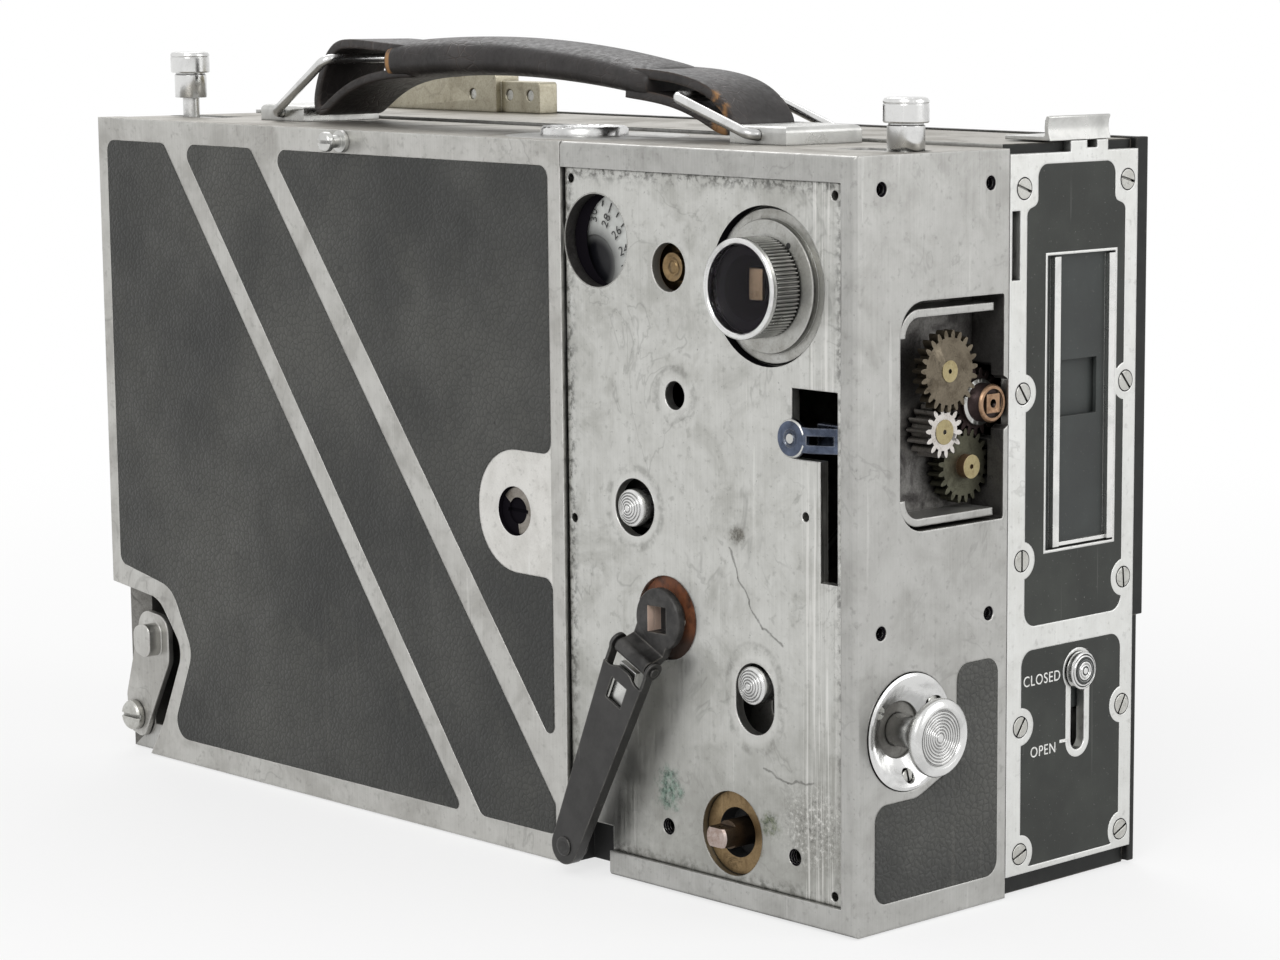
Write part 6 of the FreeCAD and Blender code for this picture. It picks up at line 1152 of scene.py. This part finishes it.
@dataclass
class Eyepiece:
    """Focusing eyepiece: flange, knurled ring, lens and the tube behind it."""

    centre: Pair = (-92.7, 115.9)
    ring_face: float = -26.3
    ring_back: float = -19.6
    ring_radius: float = 9.1
    lens_radius: float = 7.95
    lens_face: float = -25.8
    sleeve: float = 7.0
    knurls: int = 72
    knurl_depth: float = 0.42
    plate_face: float = -19.0
    set_screw: Pair = (-98.6, 123.5)

    def flange(self) -> None:
        """Stepped flange with the sleeve of the ring, and a black disc painted as the shade of its set
        screw's hole.
        """
        f = self.plate_face
        profile = [(5.8, -23.2), (self.sleeve, -23.2), (self.sleeve, f - 0.3), (11.7, f - 0.3),
                   (12.0, f - 0.2), (12.1, f), (12.1, f + 1.1), (13.9, f + 1.15), (14.1, f + 1.3),
                   (14.1, f + 2.05), (14.8, f + 2.05), (14.8, f + 3.6), (8.0, f + 3.6), (8.0, f + 24.0),
                   (5.8, f + 24.0), (5.8, -23.2)]
        made = piece("eyepiece_flange", spun(profile, Axis.X, self.centre, 96), COVER_TURNED, "camera_body")
        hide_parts("eyepiece_tube")
        # Black disc flush with the plate: painted shade standing for the set screw's hole.
        rim = [(0.0, f - 0.31), (0.55, f - 0.31), (0.62, f - 0.28), (0.62, f), (0.0, f), (0.0, f - 0.31)]
        piece("eyepiece_set_screw", spun(rim, Axis.X, self.set_screw, 20), SHADE_BLACK, "camera_body")

    def ring(self) -> None:
        """Straight-knurled focusing ring with a plain lip."""
        bm = bmesh.new()
        bmesh.ops.create_circle(bm, segments=4 * self.knurls, radius=self.ring_radius * MM)
        for k, vert in enumerate(bm.verts):
            if k % 4 in (2, 3):
                vert.co *= 1 - self.knurl_depth / self.ring_radius
        face, back = self.ring_face + 1.3, self.ring_back
        rim = bmesh.ops.extrude_edge_only(bm, edges=bm.edges)["geom"]
        high = points_of(rim)
        bmesh.ops.translate(bm, verts=high, vec=(0, 0, (back - face) * MM))
        for verts, radius in ((high, self.ring_radius - 1.1),
                              ([v for v in bm.verts if v not in set(high)], 8.2)):
            edge = [e for e in bm.edges if e.verts[0] in verts and e.verts[1] in verts]
            step = bmesh.ops.extrude_edge_only(bm, edges=edge)["geom"]
            for vert in points_of(step):
                flat = Vector((vert.co.x, vert.co.y)).normalized() * radius * MM
                vert.co.x, vert.co.y = flat
        turn = Matrix(((0, 0, 1), (1, 0, 0), (0, 1, 0))).to_4x4()
        shift = Matrix.Translation(Vector((face, *self.centre)) * MM)
        bmesh.ops.transform(bm, matrix=shift @ turn, verts=bm.verts)
        bmesh.ops.recalc_face_normals(bm, faces=bm.faces)
        knurl = piece("eyepiece_knurl", bm, SATIN, "focus_ring", 20)
        f, r = self.ring_face, self.ring_radius
        lip = [(self.lens_radius + 0.05, f + 1.9), (self.lens_radius + 0.05, f + 0.35), (r - 0.85, f + 0.05),
               (r - 0.75, f + 0.12), (r - 0.65, f + 0.05), (r - 0.35, f), (r - 0.05, f + 0.25), (r, f + 0.6),
               (r, f + 1.1), (r - 0.35, f + 1.35), (r - 0.5, f + 1.9), (self.lens_radius + 0.05, f + 1.9)]
        made = piece("eyepiece_lip", spun(lip, Axis.X, self.centre, 96), CHROME, "focus_ring")
        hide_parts("eyepiece_ring")
        knurl.parent = made.parent

    def glass(self) -> None:
        """Eye lens, the dark tube behind it and the prism's face deep inside; the face's brass colour is a
        painted reflection, the amber glint deep in the eyepiece.
        """
        r, f = self.lens_radius, self.lens_face
        lens = [(0.0, f), (r * 0.5, f + 0.24), (r * 0.8, f + 0.68), (r, f + 1.1), (r, f + 1.9),
                (0.0, f + 2.3)]
        made = piece("eye_lens", spun(lens, Axis.X, self.centre, 72), EYE_GLASS, "focus_ring")
        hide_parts("eyepiece_lens")
        tube = [(7.9, -23.85), (7.9, -23.5), (5.75, -23.3), (5.75, -10.0), (0.0, -10.0), (0.0, -9.0),
                (5.9, -9.0), (5.9, -23.2), (7.9, -23.3)]
        piece("eye_tube_lining", spun(tube, Axis.X, self.centre, 64), BLACK_LINING_AND_SHADE, "camera_body")
        y, z = self.centre
        prism = block((0.8, 3.2, 5.6), (-21.5, y - 0.3, z + 0.6), rounding=0.3)
        piece("eye_prism_face", prism, BRASS, "camera_body")

    def build(self) -> None:
        """Build the eyepiece."""
        self.flange()
        self.ring()
        self.glass()


@dataclass
class PushButtons:
    """Release button and slide button, with ringed faces."""

    radius: float = 3.55
    stem: float = 2.0
    tail: float = -9.0
    release: Pair = (-56.9, 72.1)
    release_face: float = -21.0
    slide: Pair = (-89.2, 42.6)
    slide_face: float = -20.9

    def button(self, name: str, centre: Pair, face: float, body: str, node: str) -> None:
        """One button: a low ringed dome on a collar and stem."""
        f = face
        profile = [(0.0, f)] + rings(0.35, 3.05, f, 5, 0.22, 0.75)
        profile += [(3.4, f + 0.95), (self.radius, f + 1.2), (self.radius, f + 4.3),
                    (self.radius - 0.2, f + 4.5), (self.stem, f + 4.5), (self.stem, self.tail),
                    (0.0, self.tail)]
        made = piece(name, spun(profile, Axis.X, centre), CHROME, body)
        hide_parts(node)

    def build(self) -> None:
        """Build both buttons."""
        self.button("release_button_ringed", self.release, self.release_face, "release", "release_button")
        self.button("slide_button_ringed", self.slide, self.slide_face, "slide_control", "slide_button")


@dataclass
class SpeedControl:
    """Speed dial behind its window and the slotted adjuster."""

    dial_centre: Pair = (-42.5, 116.8)
    face: float = -16.05
    figure_radius: float = 9.3
    tick_radius: float = 12.0
    figures: tuple[tuple[str, float], ...] = (
        ("32", 107.0), ("30", 86.5), ("28", 65.0), ("26", 42.5), ("24", 19.5), ("22", -4.0), ("20", -28.0),
        ("18", -52.0), ("16", -76.0))
    window_centre: Pair = (-46.7, 121.7)
    window_radius: float = 9.0
    shade_offset: float = 3.4

    def shade(self) -> None:
        """Dark crescent that stands for the deep rear wall of the dial's window and the shade in it: a black
        sheet laid as painted shade.
        """
        outer, inner, away = self.window_radius - 0.3, self.window_radius - 0.1, self.shade_offset
        meet = (inner ** 2 - outer ** 2 - away ** 2) / (2 * away)
        ends = (math.acos(meet / outer), math.acos((meet + away) / inner))
        steps = 24
        y, z = self.window_centre
        row = []
        for radius, end, shift in ((outer, ends[0], 0.0), (inner, -ends[1], away)):
            turns = [end - 2 * end * k / steps for k in range(steps + 1)]
            row.append([(y - shift + radius * math.cos(turn), z + radius * math.sin(turn)) for turn in turns])
        crescent = slab(row[0] + row[1][1:-1], -16.4, 0.18)
        piece("dial_window_shade", crescent, BLACK_LINING_AND_SHADE, "camera_body")

    def spot(self, radius: float, angle: float) -> Vector:
        """Point of the dial's face at a radius and an angle from the lens side, turned upward."""
        turn = math.radians(angle)
        return Vector((self.face, self.dial_centre[0] - radius * math.cos(turn),
                       self.dial_centre[1] + radius * math.sin(turn)))

    def build(self) -> None:
        """Dress the dial and the adjuster, line the window, and set the figures and their ticks."""
        dress("speed_dial", DIAL_WHITE)
        refined("speed_adjuster", BUSH)
        r = self.window_radius
        lining = [(r - 0.02, -19.0), (r - 0.25, -18.98), (r - 0.25, -16.3), (r - 0.02, -16.3),
                  (r - 0.02, -19.0)]
        window = piece("dial_window_lining", spun(lining, Axis.X, self.window_centre, 96), COVER_TURNED,
                       "camera_body")
        # The window's wall behind its front lip is painted dark: painted shade in the bore.
        dress_where(window, BAY, Box(x=(-18.5, -16.4)).holds)
        self.shade()
        angles = [angle for _, angle in self.figures]
        for text, angle in self.figures:
            turn = math.radians(angle)
            out = Vector((0.0, -math.cos(turn), math.sin(turn)))
            across = Vector((0.0, math.sin(turn), math.cos(turn)))
            lettering(f"dial_figure_{text}", text, 1.75, self.spot(self.figure_radius, angle), out, across,
                      BLACK_INK, "dial")
        middles = [(a + b) / 2 for a, b in zip(angles, angles[1:])]
        for k, (angle, length) in enumerate([(a, 2.0) for a in angles] + [(a, 1.1) for a in middles]):
            tick = block((0.06, length, 0.28), self.spot(self.tick_radius, angle), -angle)
            piece(f"dial_tick_{k}", tick, BLACK_INK, "dial")


@dataclass
class Crank:
    """Folding winding crank, its bush and the square socket in the shaft's end."""

    hub: Pair = (-65.6, 52.1)
    socket_half: float = 2.5

    def in_socket(self, point: Vector) -> bool:
        """Whether a point lies on the socket's wall on the side away from the lens."""
        y, z = self.hub
        return abs(point.y - y - self.socket_half) < 0.06 and abs(point.z - z) < self.socket_half

    def build(self) -> None:
        """Round and blacken the crank."""
        head = refined("crank_head", BLACK, 0.25)
        # The socket's far wall painted tan: painted light over its worn colour.
        dress_where(head, WORN_LIT_SOCKET_WALL, self.in_socket)
        refined("crank_arm", ARM, 0.18)
        refined("crank_rivets", ARM)
        refined("crank_spring", SATIN, 0.08)
        refined("crank_knob", BLACK)
        shaft = refined("winding_shaft", STEEL)
        # The shaft's sunk end painted black: painted shade; the socket's far wall painted tan: painted light.
        dress_where(shaft, SHADE_BLACK, lambda p: p.x < -18.1 and not self.in_socket(p))
        dress_where(shaft, WORN_LIT_SOCKET_WALL, lambda p: p.x < -18.1 and self.in_socket(p))
        refined("crank_bush", FIBRE)


@dataclass
class HandShaft:
    """Shaft for the hand crank, in its bronze bush."""

    centre: Pair = (-83.0, 13.7)

    def build(self) -> None:
        """Dress the shaft and its bush."""
        shaft = refined("hand_shaft", BROWNED, 0.12)
        dress_where(shaft, TIP, Box(x=(-OPEN, -22.9)).holds)
        bush = refined("hand_shaft_bush", BUSH, 0.1)
        # Inside of the bush's bore painted black: painted shade in the gap round the shaft.
        dress_where(bush, SHADE_BLACK, Bar(Axis.X, self.centre, 4.72, (-17.5, OPEN)).holds)


@dataclass
class SmallFittings:
    """Lever, latch, hook and screws of the body."""

    lever: Pair = (-100.5, 89.35)
    lug: Pair = (-23.2, 67.9)

    def build(self) -> None:
        """Dress the small fittings."""
        lever = refined("shutter_lever", BLUED, 0.12)
        y, z = self.lever
        # Plated screw head, and a bright ring painted on the head's side away from the lens: painted
        # highlight of its lit rim.
        dress_where(lever, SATIN, lambda p: p.x < -20.98 or p.y > y - 3.1 and p.x < -20.4
                    and 3.25 < math.hypot(p.y - y, p.z - z))
        refined("cover_latch", COVER, 0.4)
        refined("tape_hook", SATIN, 0.08)
        screws = refined("housing_screws", SCREW, 0.08)
        # Screws in the lug's hole painted black: painted shade; the small steel patch on one is a painted
        # glint.
        dress_where(screws, BLACK_LINING_AND_SHADE, Bar(Axis.X, self.lug, 5.5).holds)
        dress_where(screws, STEEL, lambda p: -2.4 < p.y - self.lug[0] < -1.2 and abs(p.z - self.lug[1]) < 2.0)


@dataclass
class RunControl:
    """Mushroom-shaped run knob in its polished dish."""

    centre: Pair = (-6.1, 36.0)
    face: float = -124.3
    radius: float = 7.2
    stem: float = 3.0
    tail: float = -103.0

    def build(self) -> None:
        """Build the knob with its ringed face, and dress the dish."""
        f, r = self.face, self.radius
        profile = [(0.0, f + 0.55)] + rings(0.5, 5.1, f + 0.52, 8, 0.22, -0.12)
        profile += [(5.3, f + 0.2), (5.5, f), (r - 0.7, f + 0.12), (r - 0.2, f + 0.45), (r, f + 0.95),
                    (r - 0.1, f + 1.7), (r - 0.5, f + 2.3), (5.2, f + 3.0), (4.3, f + 3.6), (3.7, f + 4.6),
                    (3.3, f + 5.6), (self.stem, f + 6.6), (self.stem, self.tail), (0.0, self.tail)]
        made = piece("run_knob_ringed", spun(profile, Axis.Y, self.centre, 80), CHROME, "run_control")
        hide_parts("run_knob")
        refined("escutcheon", CHROME, 0.0, 30)


@dataclass
class FrontGears:
    """Gear train in the front bay."""

    wheels: tuple[tuple[str, Finish, Finish, Pair, float, float], ...] = (
        ("gear_a", BRONZE, BRASS, (5.8, 100.4), 2.1, -114.57),
        ("gear_b", PINION, BRASS, (5.41, 89.29), 2.4, -113.67),
        ("gear_c", OLIVE, COPPER, (13.17, 82.18), 2.3, -111.47))

    def build(self) -> None:
        """Dress each wheel, its raised hub and the coupling's end."""
        for node, finish, hub, centre, radius, face in self.wheels:
            made = refined(node, finish, 0.0, 30)
            dress_where(made, hub, Bar(Axis.Y, centre, radius, (-OPEN, face)).holds)
            if node == "gear_c":
                dress_where(made, BRASS, Box(y=(-OPEN, -113.25)).holds)
        end = refined("coupling_gear", PURPLE, 0.0, 30)
        dress_where(end, SATIN, Box(y=(-112.9, -112.0)).holds)
        dress_where(end, COPPER, Box(y=(-OPEN, -115.0)).holds)


@dataclass
class TopPlungers:
    """Two locking plungers on the top face."""

    y: float = 109.0
    groove: float = 139.62
    travel: float = 4.4
    stem: float = 1.8
    barrel: float = 3.45
    head: float = 4.2

    def plunger(self, name: str, y: float, base: float, body: str, node: str) -> None:
        """One plunger with a bright collar and a rounded head."""
        top = base + 5.4
        profile = [(0.0, base - 14.0), (self.stem, base - 14.0), (self.stem, base), (self.barrel - 0.1, base),
                   (self.barrel, base + 0.15), (self.barrel, top - 0.5), (self.barrel - 0.25, top - 0.35),
                   (self.barrel - 0.25, top), (self.head - 0.2, top + 0.02), (self.head, top + 0.25),
                   (self.head, top + 3.3), (self.head - 0.12, top + 3.42), (self.head - 0.12, top + 3.52),
                   (self.head, top + 3.64), (self.head, top + 3.95), (self.head - 0.3, top + 4.4),
                   (self.head - 0.9, top + 4.58), (0.0, top + 4.6)]
        made = piece(name, spun(profile, Axis.Z, (0.0, y), 64), CHROME, body)
        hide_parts(node)

    def build(self) -> None:
        """Build both plungers, the rear one raised."""
        self.plunger("front_plunger", -self.y, self.groove, "front_post", "top_post_front")
        self.plunger("rear_plunger", self.y, self.groove + self.travel, "rear_post", "top_post_rear")


@dataclass
class Counter:
    """Footage counter under its domed window."""

    centre: Pair = (1.2, -20.9)
    top: float = 141.7
    dial_top: float = 137.42

    def build(self) -> None:
        """Dress the cap, make the window and figure the dial."""
        cap = refined("counter_cap", CASTING, 0.0, 30)
        dress_where(cap, CHROME, Bar(Axis.Z, self.centre, 9.0, (140.02, OPEN)).holds)
        t = self.top
        dome = [(0.0, t), (3.6, t - 0.24), (5.6, t - 0.62), (6.6, t - 0.95), (6.6, t - 2.7), (0.0, t - 2.7)]
        made = piece("counter_window", spun(dome, Axis.Z, self.centre, 64), GLASS, "camera_body")
        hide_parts("counter_glass")
        dress("counter_dial", CHANNEL)
        for k in range(10):
            angle = math.radians(36.0 * k)
            out = Vector((math.cos(angle), math.sin(angle), 0.0))
            middle = Vector((*self.centre, self.dial_top)) + out * 4.6
            lettering(f"counter_figure_{k * 10}", str(k * 10), 1.2, middle,
                      Vector((-out.y, out.x, 0.0)) * -1, out, WHITE_INK, "counter")


@dataclass
class TappedHoles:
    """Threads that show in the tapped holes."""

    front_x: float = 0.75
    front_z: float = 94.5
    span_x: float = 28.5
    span_z: float = 79.0
    side_y: Pair = (-65.7, -99.6)
    side_z: float = 12.1

    def build(self) -> None:
        """Line each tapped hole with its thread."""
        for i, u in enumerate((-0.5, 0.5)):
            for j, v in enumerate((-0.5, 0.5)):
                centre = (self.front_x + u * self.span_x, self.front_z + v * self.span_z)
                thread(f"front_thread_{i}{j}", Axis.Y, centre, -115.8, -108.8, 1.35, "camera_body", SATIN,
                       1.0, 0.34)
        for k, y in enumerate(self.side_y):
            thread(f"side_thread_{k}", Axis.X, (y, self.side_z), -18.9, -17.1, 1.6, "camera_body", SATIN, 0.6)
        thread("tripod_thread", Axis.Z, (0.0, 0.0), 0.3, 9.7, 2.55, "camera_body", SATIN, 1.25, 0.5)


@dataclass
class CarryHandle:
    """Padded leather grip with straps round two wire rings."""

    x: float = 8.0
    grip_half: float = 9.0
    strap_half: float = 7.9
    strap_thick: float = 1.9
    rear: float = 40.0
    front: float = -41.0
    squareness: float = 3.2
    top_line: Pairs = ((40.0, 157.2), (4.0, 158.4), (-41.0, 153.5))
    low_line: Pairs = ((40.0, 148.9), (4.0, 150.5), (-41.0, 147.0))
    front_strap: Pairs = (
        (-33.0, 148.6), (-41.0, 148.0), (-48.0, 147.0), (-55.0, 144.9), (-60.0, 142.4), (-63.4, 141.9),
        (-64.0, 143.6), (-61.5, 146.6), (-57.5, 149.3), (-52.5, 150.9), (-46.0, 151.9), (-39.0, 152.3),
        (-33.0, 152.4))
    rear_strap: Pairs = (
        (33.0, 150.9), (40.0, 150.5), (47.0, 149.4), (53.0, 147.5), (58.5, 144.5), (61.8, 142.2),
        (63.6, 142.3), (63.9, 145.0), (62.3, 149.4), (60.2, 153.2), (57.3, 155.9), (54.0, 156.7),
        (48.0, 156.5), (40.0, 156.0), (33.0, 155.6))

    @staticmethod
    def bowed(points: Pairs, y: float) -> float:
        """Height on the parabola through three (y, z) points."""
        (a, za), (b, zb), (c, zc) = points
        return (za * (y - b) * (y - c) / ((a - b) * (a - c)) + zb * (y - a) * (y - c) / ((b - a) * (b - c))
                + zc * (y - a) * (y - b) / ((c - a) * (c - b)))

    def grip(self) -> None:
        """Padded grip: a rounded section swept along its arch."""
        bm = bmesh.new()
        bmesh.ops.create_cube(bm, size=2.0)
        bmesh.ops.subdivide_edges(bm, edges=bm.edges, cuts=9, use_grid_fill=True)
        long = [e for e in bm.edges if abs(e.verts[0].co.y - e.verts[1].co.y) > 1e-4]
        bmesh.ops.subdivide_edges(bm, edges=long, cuts=3, use_grid_fill=True)
        for vert in bm.verts:
            u, v, w = vert.co
            y = (self.rear + self.front) / 2 + v * (self.rear - self.front) / 2
            high, low = self.bowed(self.top_line, y), self.bowed(self.low_line, y)
            end = max(0.0, abs(v) - 0.93) / 0.07
            square = (abs(u) ** self.squareness + abs(w) ** self.squareness) ** (1 / self.squareness) or 1.0
            pull = max(abs(u), abs(w)) / square
            half = self.grip_half * (1 - 0.05 * end)
            crown = 0.25 * (1 - u * u)
            middle, tall = (high + low) / 2, (high - low) / 2 - 0.25 - 0.3 * end
            waist = 1 - 0.015 * math.cos(v * 9.0)
            vert.co = Vector((self.x + u * pull * half * waist, y,
                              middle + w * pull * tall + (crown if w > 0 else 0.0) * pull)) * MM
        made = piece("handle_grip_leather", bm, GRIP, "handle", 80)
        smooth = made.modifiers.new("rounded", "SUBSURF")
        smooth.levels = smooth.render_levels = 1
        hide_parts("handle_grip")

    def strap(self, name: str, path: Pairs, half: float) -> None:
        """One strap: a strip bent along its path, given its thickness and rounded."""
        bm = bmesh.new()
        across = 8
        row = [bm.verts.new(Vector((self.x - half + 2 * half * k / across, *path[0])) * MM)
               for k in range(across + 1)]
        edges = [bm.edges.new(pair) for pair in zip(row, row[1:])]
        for (y0, z0), (y1, z1) in zip(path, path[1:]):
            step = bmesh.ops.extrude_edge_only(bm, edges=edges)["geom"]
            verts = points_of(step)
            bmesh.ops.translate(bm, verts=verts, vec=Vector((0.0, y1 - y0, z1 - z0)) * MM)
            edges = [e for e in step if isinstance(e, bmesh.types.BMEdge)
                     and all(v in verts for v in e.verts)]
        bmesh.ops.recalc_face_normals(bm, faces=bm.faces)
        made = piece(name, bm, STRAP, "handle", 80)
        smooth = made.modifiers.new("bent", "SUBSURF")
        smooth.levels = smooth.render_levels = 2
        thick = made.modifiers.new("thickness", "SOLIDIFY")
        thick.thickness = self.strap_thick * MM
        thick.offset = 0.0
        thick.use_even_offset = True
        softened(made, 0.45, 3)

    def build(self) -> None:
        """Build the grip and both straps, and dress the rings and plates."""
        self.grip()
        self.strap("front_strap", self.front_strap, self.strap_half)
        self.strap("rear_strap", self.rear_strap, self.strap_half)
        refined("handle_ring_front", CHROME, 0.0, 60)
        refined("handle_ring_rear", CHROME, 0.0, 60)
        refined("handle_plates", SATIN, 0.15)


@dataclass
class MagazineFront:
    """Gate, dark slide, labels and screw gaps of the magazine's front."""

    front: float = -116.0
    rails: Pair = (34.5, 48.2)
    thumb: Pair = (40.4, 40.8)
    thumb_face: float = -118.0
    thumb_radius: float = 3.55
    screws: tuple[tuple[float, tuple[float, ...]], ...] = (
        (24.1, (132.6, 94.9, 63.6, 32.1, 7.7)), (53.4, (133.2, 95.0, 57.1, 32.2, 7.4)))

    def screw_gaps(self) -> None:
        """Black ring round each screw head of the face plate: painted shade in the gap."""
        f = self.front
        gap = [(1.86, f - 0.02), (2.1, f - 0.02), (2.1, f + 0.02), (1.86, f + 0.02), (1.86, f - 0.02)]
        whole = joined(spun(gap, Axis.Y, (x, z), 40) for x, heights in self.screws for z in heights)
        piece("face_screw_gaps", whole, BLACK_LINING_AND_SHADE, "magazine")

    def build(self) -> None:
        """Dress the gate, ring the thumb button and set the labels."""
        self.screw_gaps()
        gate = dress("gate_frame", CHANNEL)
        dress_where(gate, RAIL, lambda p: p.y < self.front + 0.9
                    and (p.x < self.rails[0] or p.x > self.rails[1] or p.z < 66.5))
        dress("dark_slide", CHANNEL)
        f = self.thumb_face - 0.05
        r = self.thumb_radius + 0.04
        profile = [(0.0, f)] + rings(0.35, r - 0.35, f, 5, 0.2, 0.35)
        profile += [(r, f + 0.6), (r, self.front - 0.3), (0.0, self.front - 0.3)]
        piece("dark_slide_thumb", spun(profile, Axis.Y, self.thumb), CHROME, "light_slide")
        ahead = self.front + 0.02
        for name, text, x, z in (("label_closed", "CLOSED", 30.1, 40.4), ("label_open", "OPEN", 30.6, 26.6)):
            lettering(name, text, 2.0, Vector((x, ahead, z)), Vector(Axis.X.value), Vector(Axis.Z.value),
                      WHITE_INK, "magazine", 0.92)
        piece("open_mark", block((2.2, 0.06, 0.6), (36.4, ahead, 27.6)), WHITE_INK, "magazine")


@dataclass
class MagazineTop:
    """Thumb latch and finder bracket on the magazine's top edge."""

    latch_left: float = 31.4
    latch_right: float = 48.6
    latch_side: Pairs = (
        (-115.7, 140.97), (-115.65, 141.4), (-115.3, 142.4), (-115.2, 143.5), (-115.35, 144.6),
        (-115.65, 145.3), (-115.4, 145.6), (-114.7, 145.5), (-114.35, 144.7), (-114.25, 143.4),
        (-114.35, 142.1), (-114.0, 141.8), (-104.5, 141.75), (-104.5, 140.97))

    def latch(self) -> None:
        """Thumb latch: an upright finger plate, hollowed in front, on its flat slide."""
        plate = slab(self.latch_side, self.latch_left, self.latch_right - self.latch_left)
        body = bpy.data.objects["magazine_latch"]["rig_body"]
        made = piece("thumb_latch", plate, SATIN, body, 30)
        softened(made, 0.12)
        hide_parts("magazine_latch")

    def build(self) -> None:
        """Make the latch and dress the bracket."""
        self.latch()
        refined("finder_bracket", BRACKET, 0.45)


@dataclass
class Studio:
    """Pale floor, soft lamps, white surroundings and the camera of the photograph."""

    eye: Triple = (-452.17, -538.94, 170.43)
    right: Triple = (0.68650, -0.72713, 0.00309)
    down: Triple = (-0.11224, -0.11016, -0.98756)
    ahead: Triple = (0.71842, 0.67761, -0.15724)
    lens: float = 97.77
    shift: Pair = (-0.2179, 0.0406)
    sensor: float = 36.0
    clip: Pair = (0.01, 50.0)
    aim: Triple = (0.02, 0.0, 0.07)
    sky: float = 0.62
    floor_radius: float = 12.0
    floor_drop: float = 0.0003
    floor_grey: float = 0.9
    shadow_reach: Pair = (0.16, 0.6)
    shadow_white: float = 0.7
    lamps: tuple[tuple[str, tuple[float, float, float], float, float], ...] = (
        ("key", (-1.3, -0.9, 1.2), 0.9, 13.0),
        ("fill", (0.8, -1.5, 0.7), 1.0, 7.0),
        ("back", (0.7, 1.1, 1.3), 0.8, 6.0),
    )

    def camera(self) -> None:
        """Set the camera where the photograph was taken."""
        data = bpy.data.cameras.new("photo_camera")
        data.sensor_width = self.sensor
        data.lens = self.lens
        data.shift_x, data.shift_y = self.shift
        data.clip_start, data.clip_end = self.clip
        made = placed("photo_camera", data)
        turn = Matrix((Vector(self.right), -Vector(self.down), -Vector(self.ahead))).transposed()
        made.matrix_world = Matrix.Translation(Vector(self.eye) * MM) @ turn.to_4x4()
        bpy.context.scene.camera = made

    @staticmethod
    def seen(w: Wiring) -> Socket:
        """1 where a ray comes from the camera, or from gloss or glass."""
        path = w.node("ShaderNodeLightPath")
        gloss = w.do("MAXIMUM", path.outputs["Is Glossy Ray"], path.outputs["Is Transmission Ray"])
        return w.do("MAXIMUM", path.outputs["Is Camera Ray"], gloss)

    def floor(self) -> None:
        """Plain pale floor that keeps the shadow."""
        bm = bmesh.new()
        bmesh.ops.create_circle(bm, cap_ends=True, segments=96, radius=self.floor_radius)
        bmesh.ops.translate(bm, verts=bm.verts, vec=(0, 0, -self.floor_drop))
        data = bpy.data.meshes.new("floor")
        bm.to_mesh(data)
        bm.free()
        made = placed("floor", data)
        finish = bpy.data.materials.new("pale_floor")
        finish.use_nodes = True
        finish.node_tree.nodes.clear()
        w = Wiring(finish.node_tree)
        lit = w.node("ShaderNodeBsdfDiffuse", {"Color": (self.floor_grey,) * 3})
        white = w.node("ShaderNodeEmission", {"Color": (1.0, 1.0, 1.0), "Strength": 1.0})
        away = w.vector("LENGTH", w.place())
        share = w.times(self.seen(w), w.smooth(away, *self.shadow_reach, self.shadow_white, 1.0))
        mixed = w.node("ShaderNodeMixShader", {0: share, 1: lit.outputs[0], 2: white.outputs[0]})
        w.node("ShaderNodeOutputMaterial", {"Surface": mixed.outputs[0]})
        data.materials.append(finish)

    def surroundings(self) -> None:
        """White surroundings for the camera, metal and glass, and plain light for the rest."""
        world = bpy.data.worlds.new("studio")
        world.use_nodes = True
        world.node_tree.nodes.clear()
        w = Wiring(world.node_tree)
        level = w.smooth(self.seen(w), 0.0, 1.0, self.sky, 1.0)
        back = w.node("ShaderNodeBackground", {"Color": (1.0, 1.0, 1.0), "Strength": level})
        w.node("ShaderNodeOutputWorld", {"Surface": back.outputs[0]})
        bpy.context.scene.world = world

    def lights(self) -> None:
        """Soft lamps round the object."""
        aim = Vector(self.aim)
        for name, place, size, power in self.lamps:
            data = bpy.data.lights.new(name, "AREA")
            data.shape = "SQUARE"
            data.size = size
            data.energy = power
            made = placed(name, data)
            made.location = place
            made.rotation_mode = "QUATERNION"
            made.rotation_quaternion = (aim - Vector(place)).to_track_quat("-Z", "Y")

    def build(self) -> None:
        """Build the studio."""
        self.camera()
        self.floor()
        self.surroundings()
        self.lights()
        bpy.context.scene.view_settings.view_transform = "Standard"


ASSEMBLIES: tuple[type, ...] = (
    Castings, LeatherCovering, Eyepiece, PushButtons, SpeedControl, Crank, HandShaft, SmallFittings,
    RunControl, FrontGears, TopPlungers, Counter, TappedHoles, CarryHandle, MagazineFront, MagazineTop,
)


def main() -> None:
    """Load the frame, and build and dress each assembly."""
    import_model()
    Studio().build()
    for assembly in ASSEMBLIES:
        log.info("-- %s", assembly.__name__)
        assembly().build()


if __name__ == "__main__":
    main()
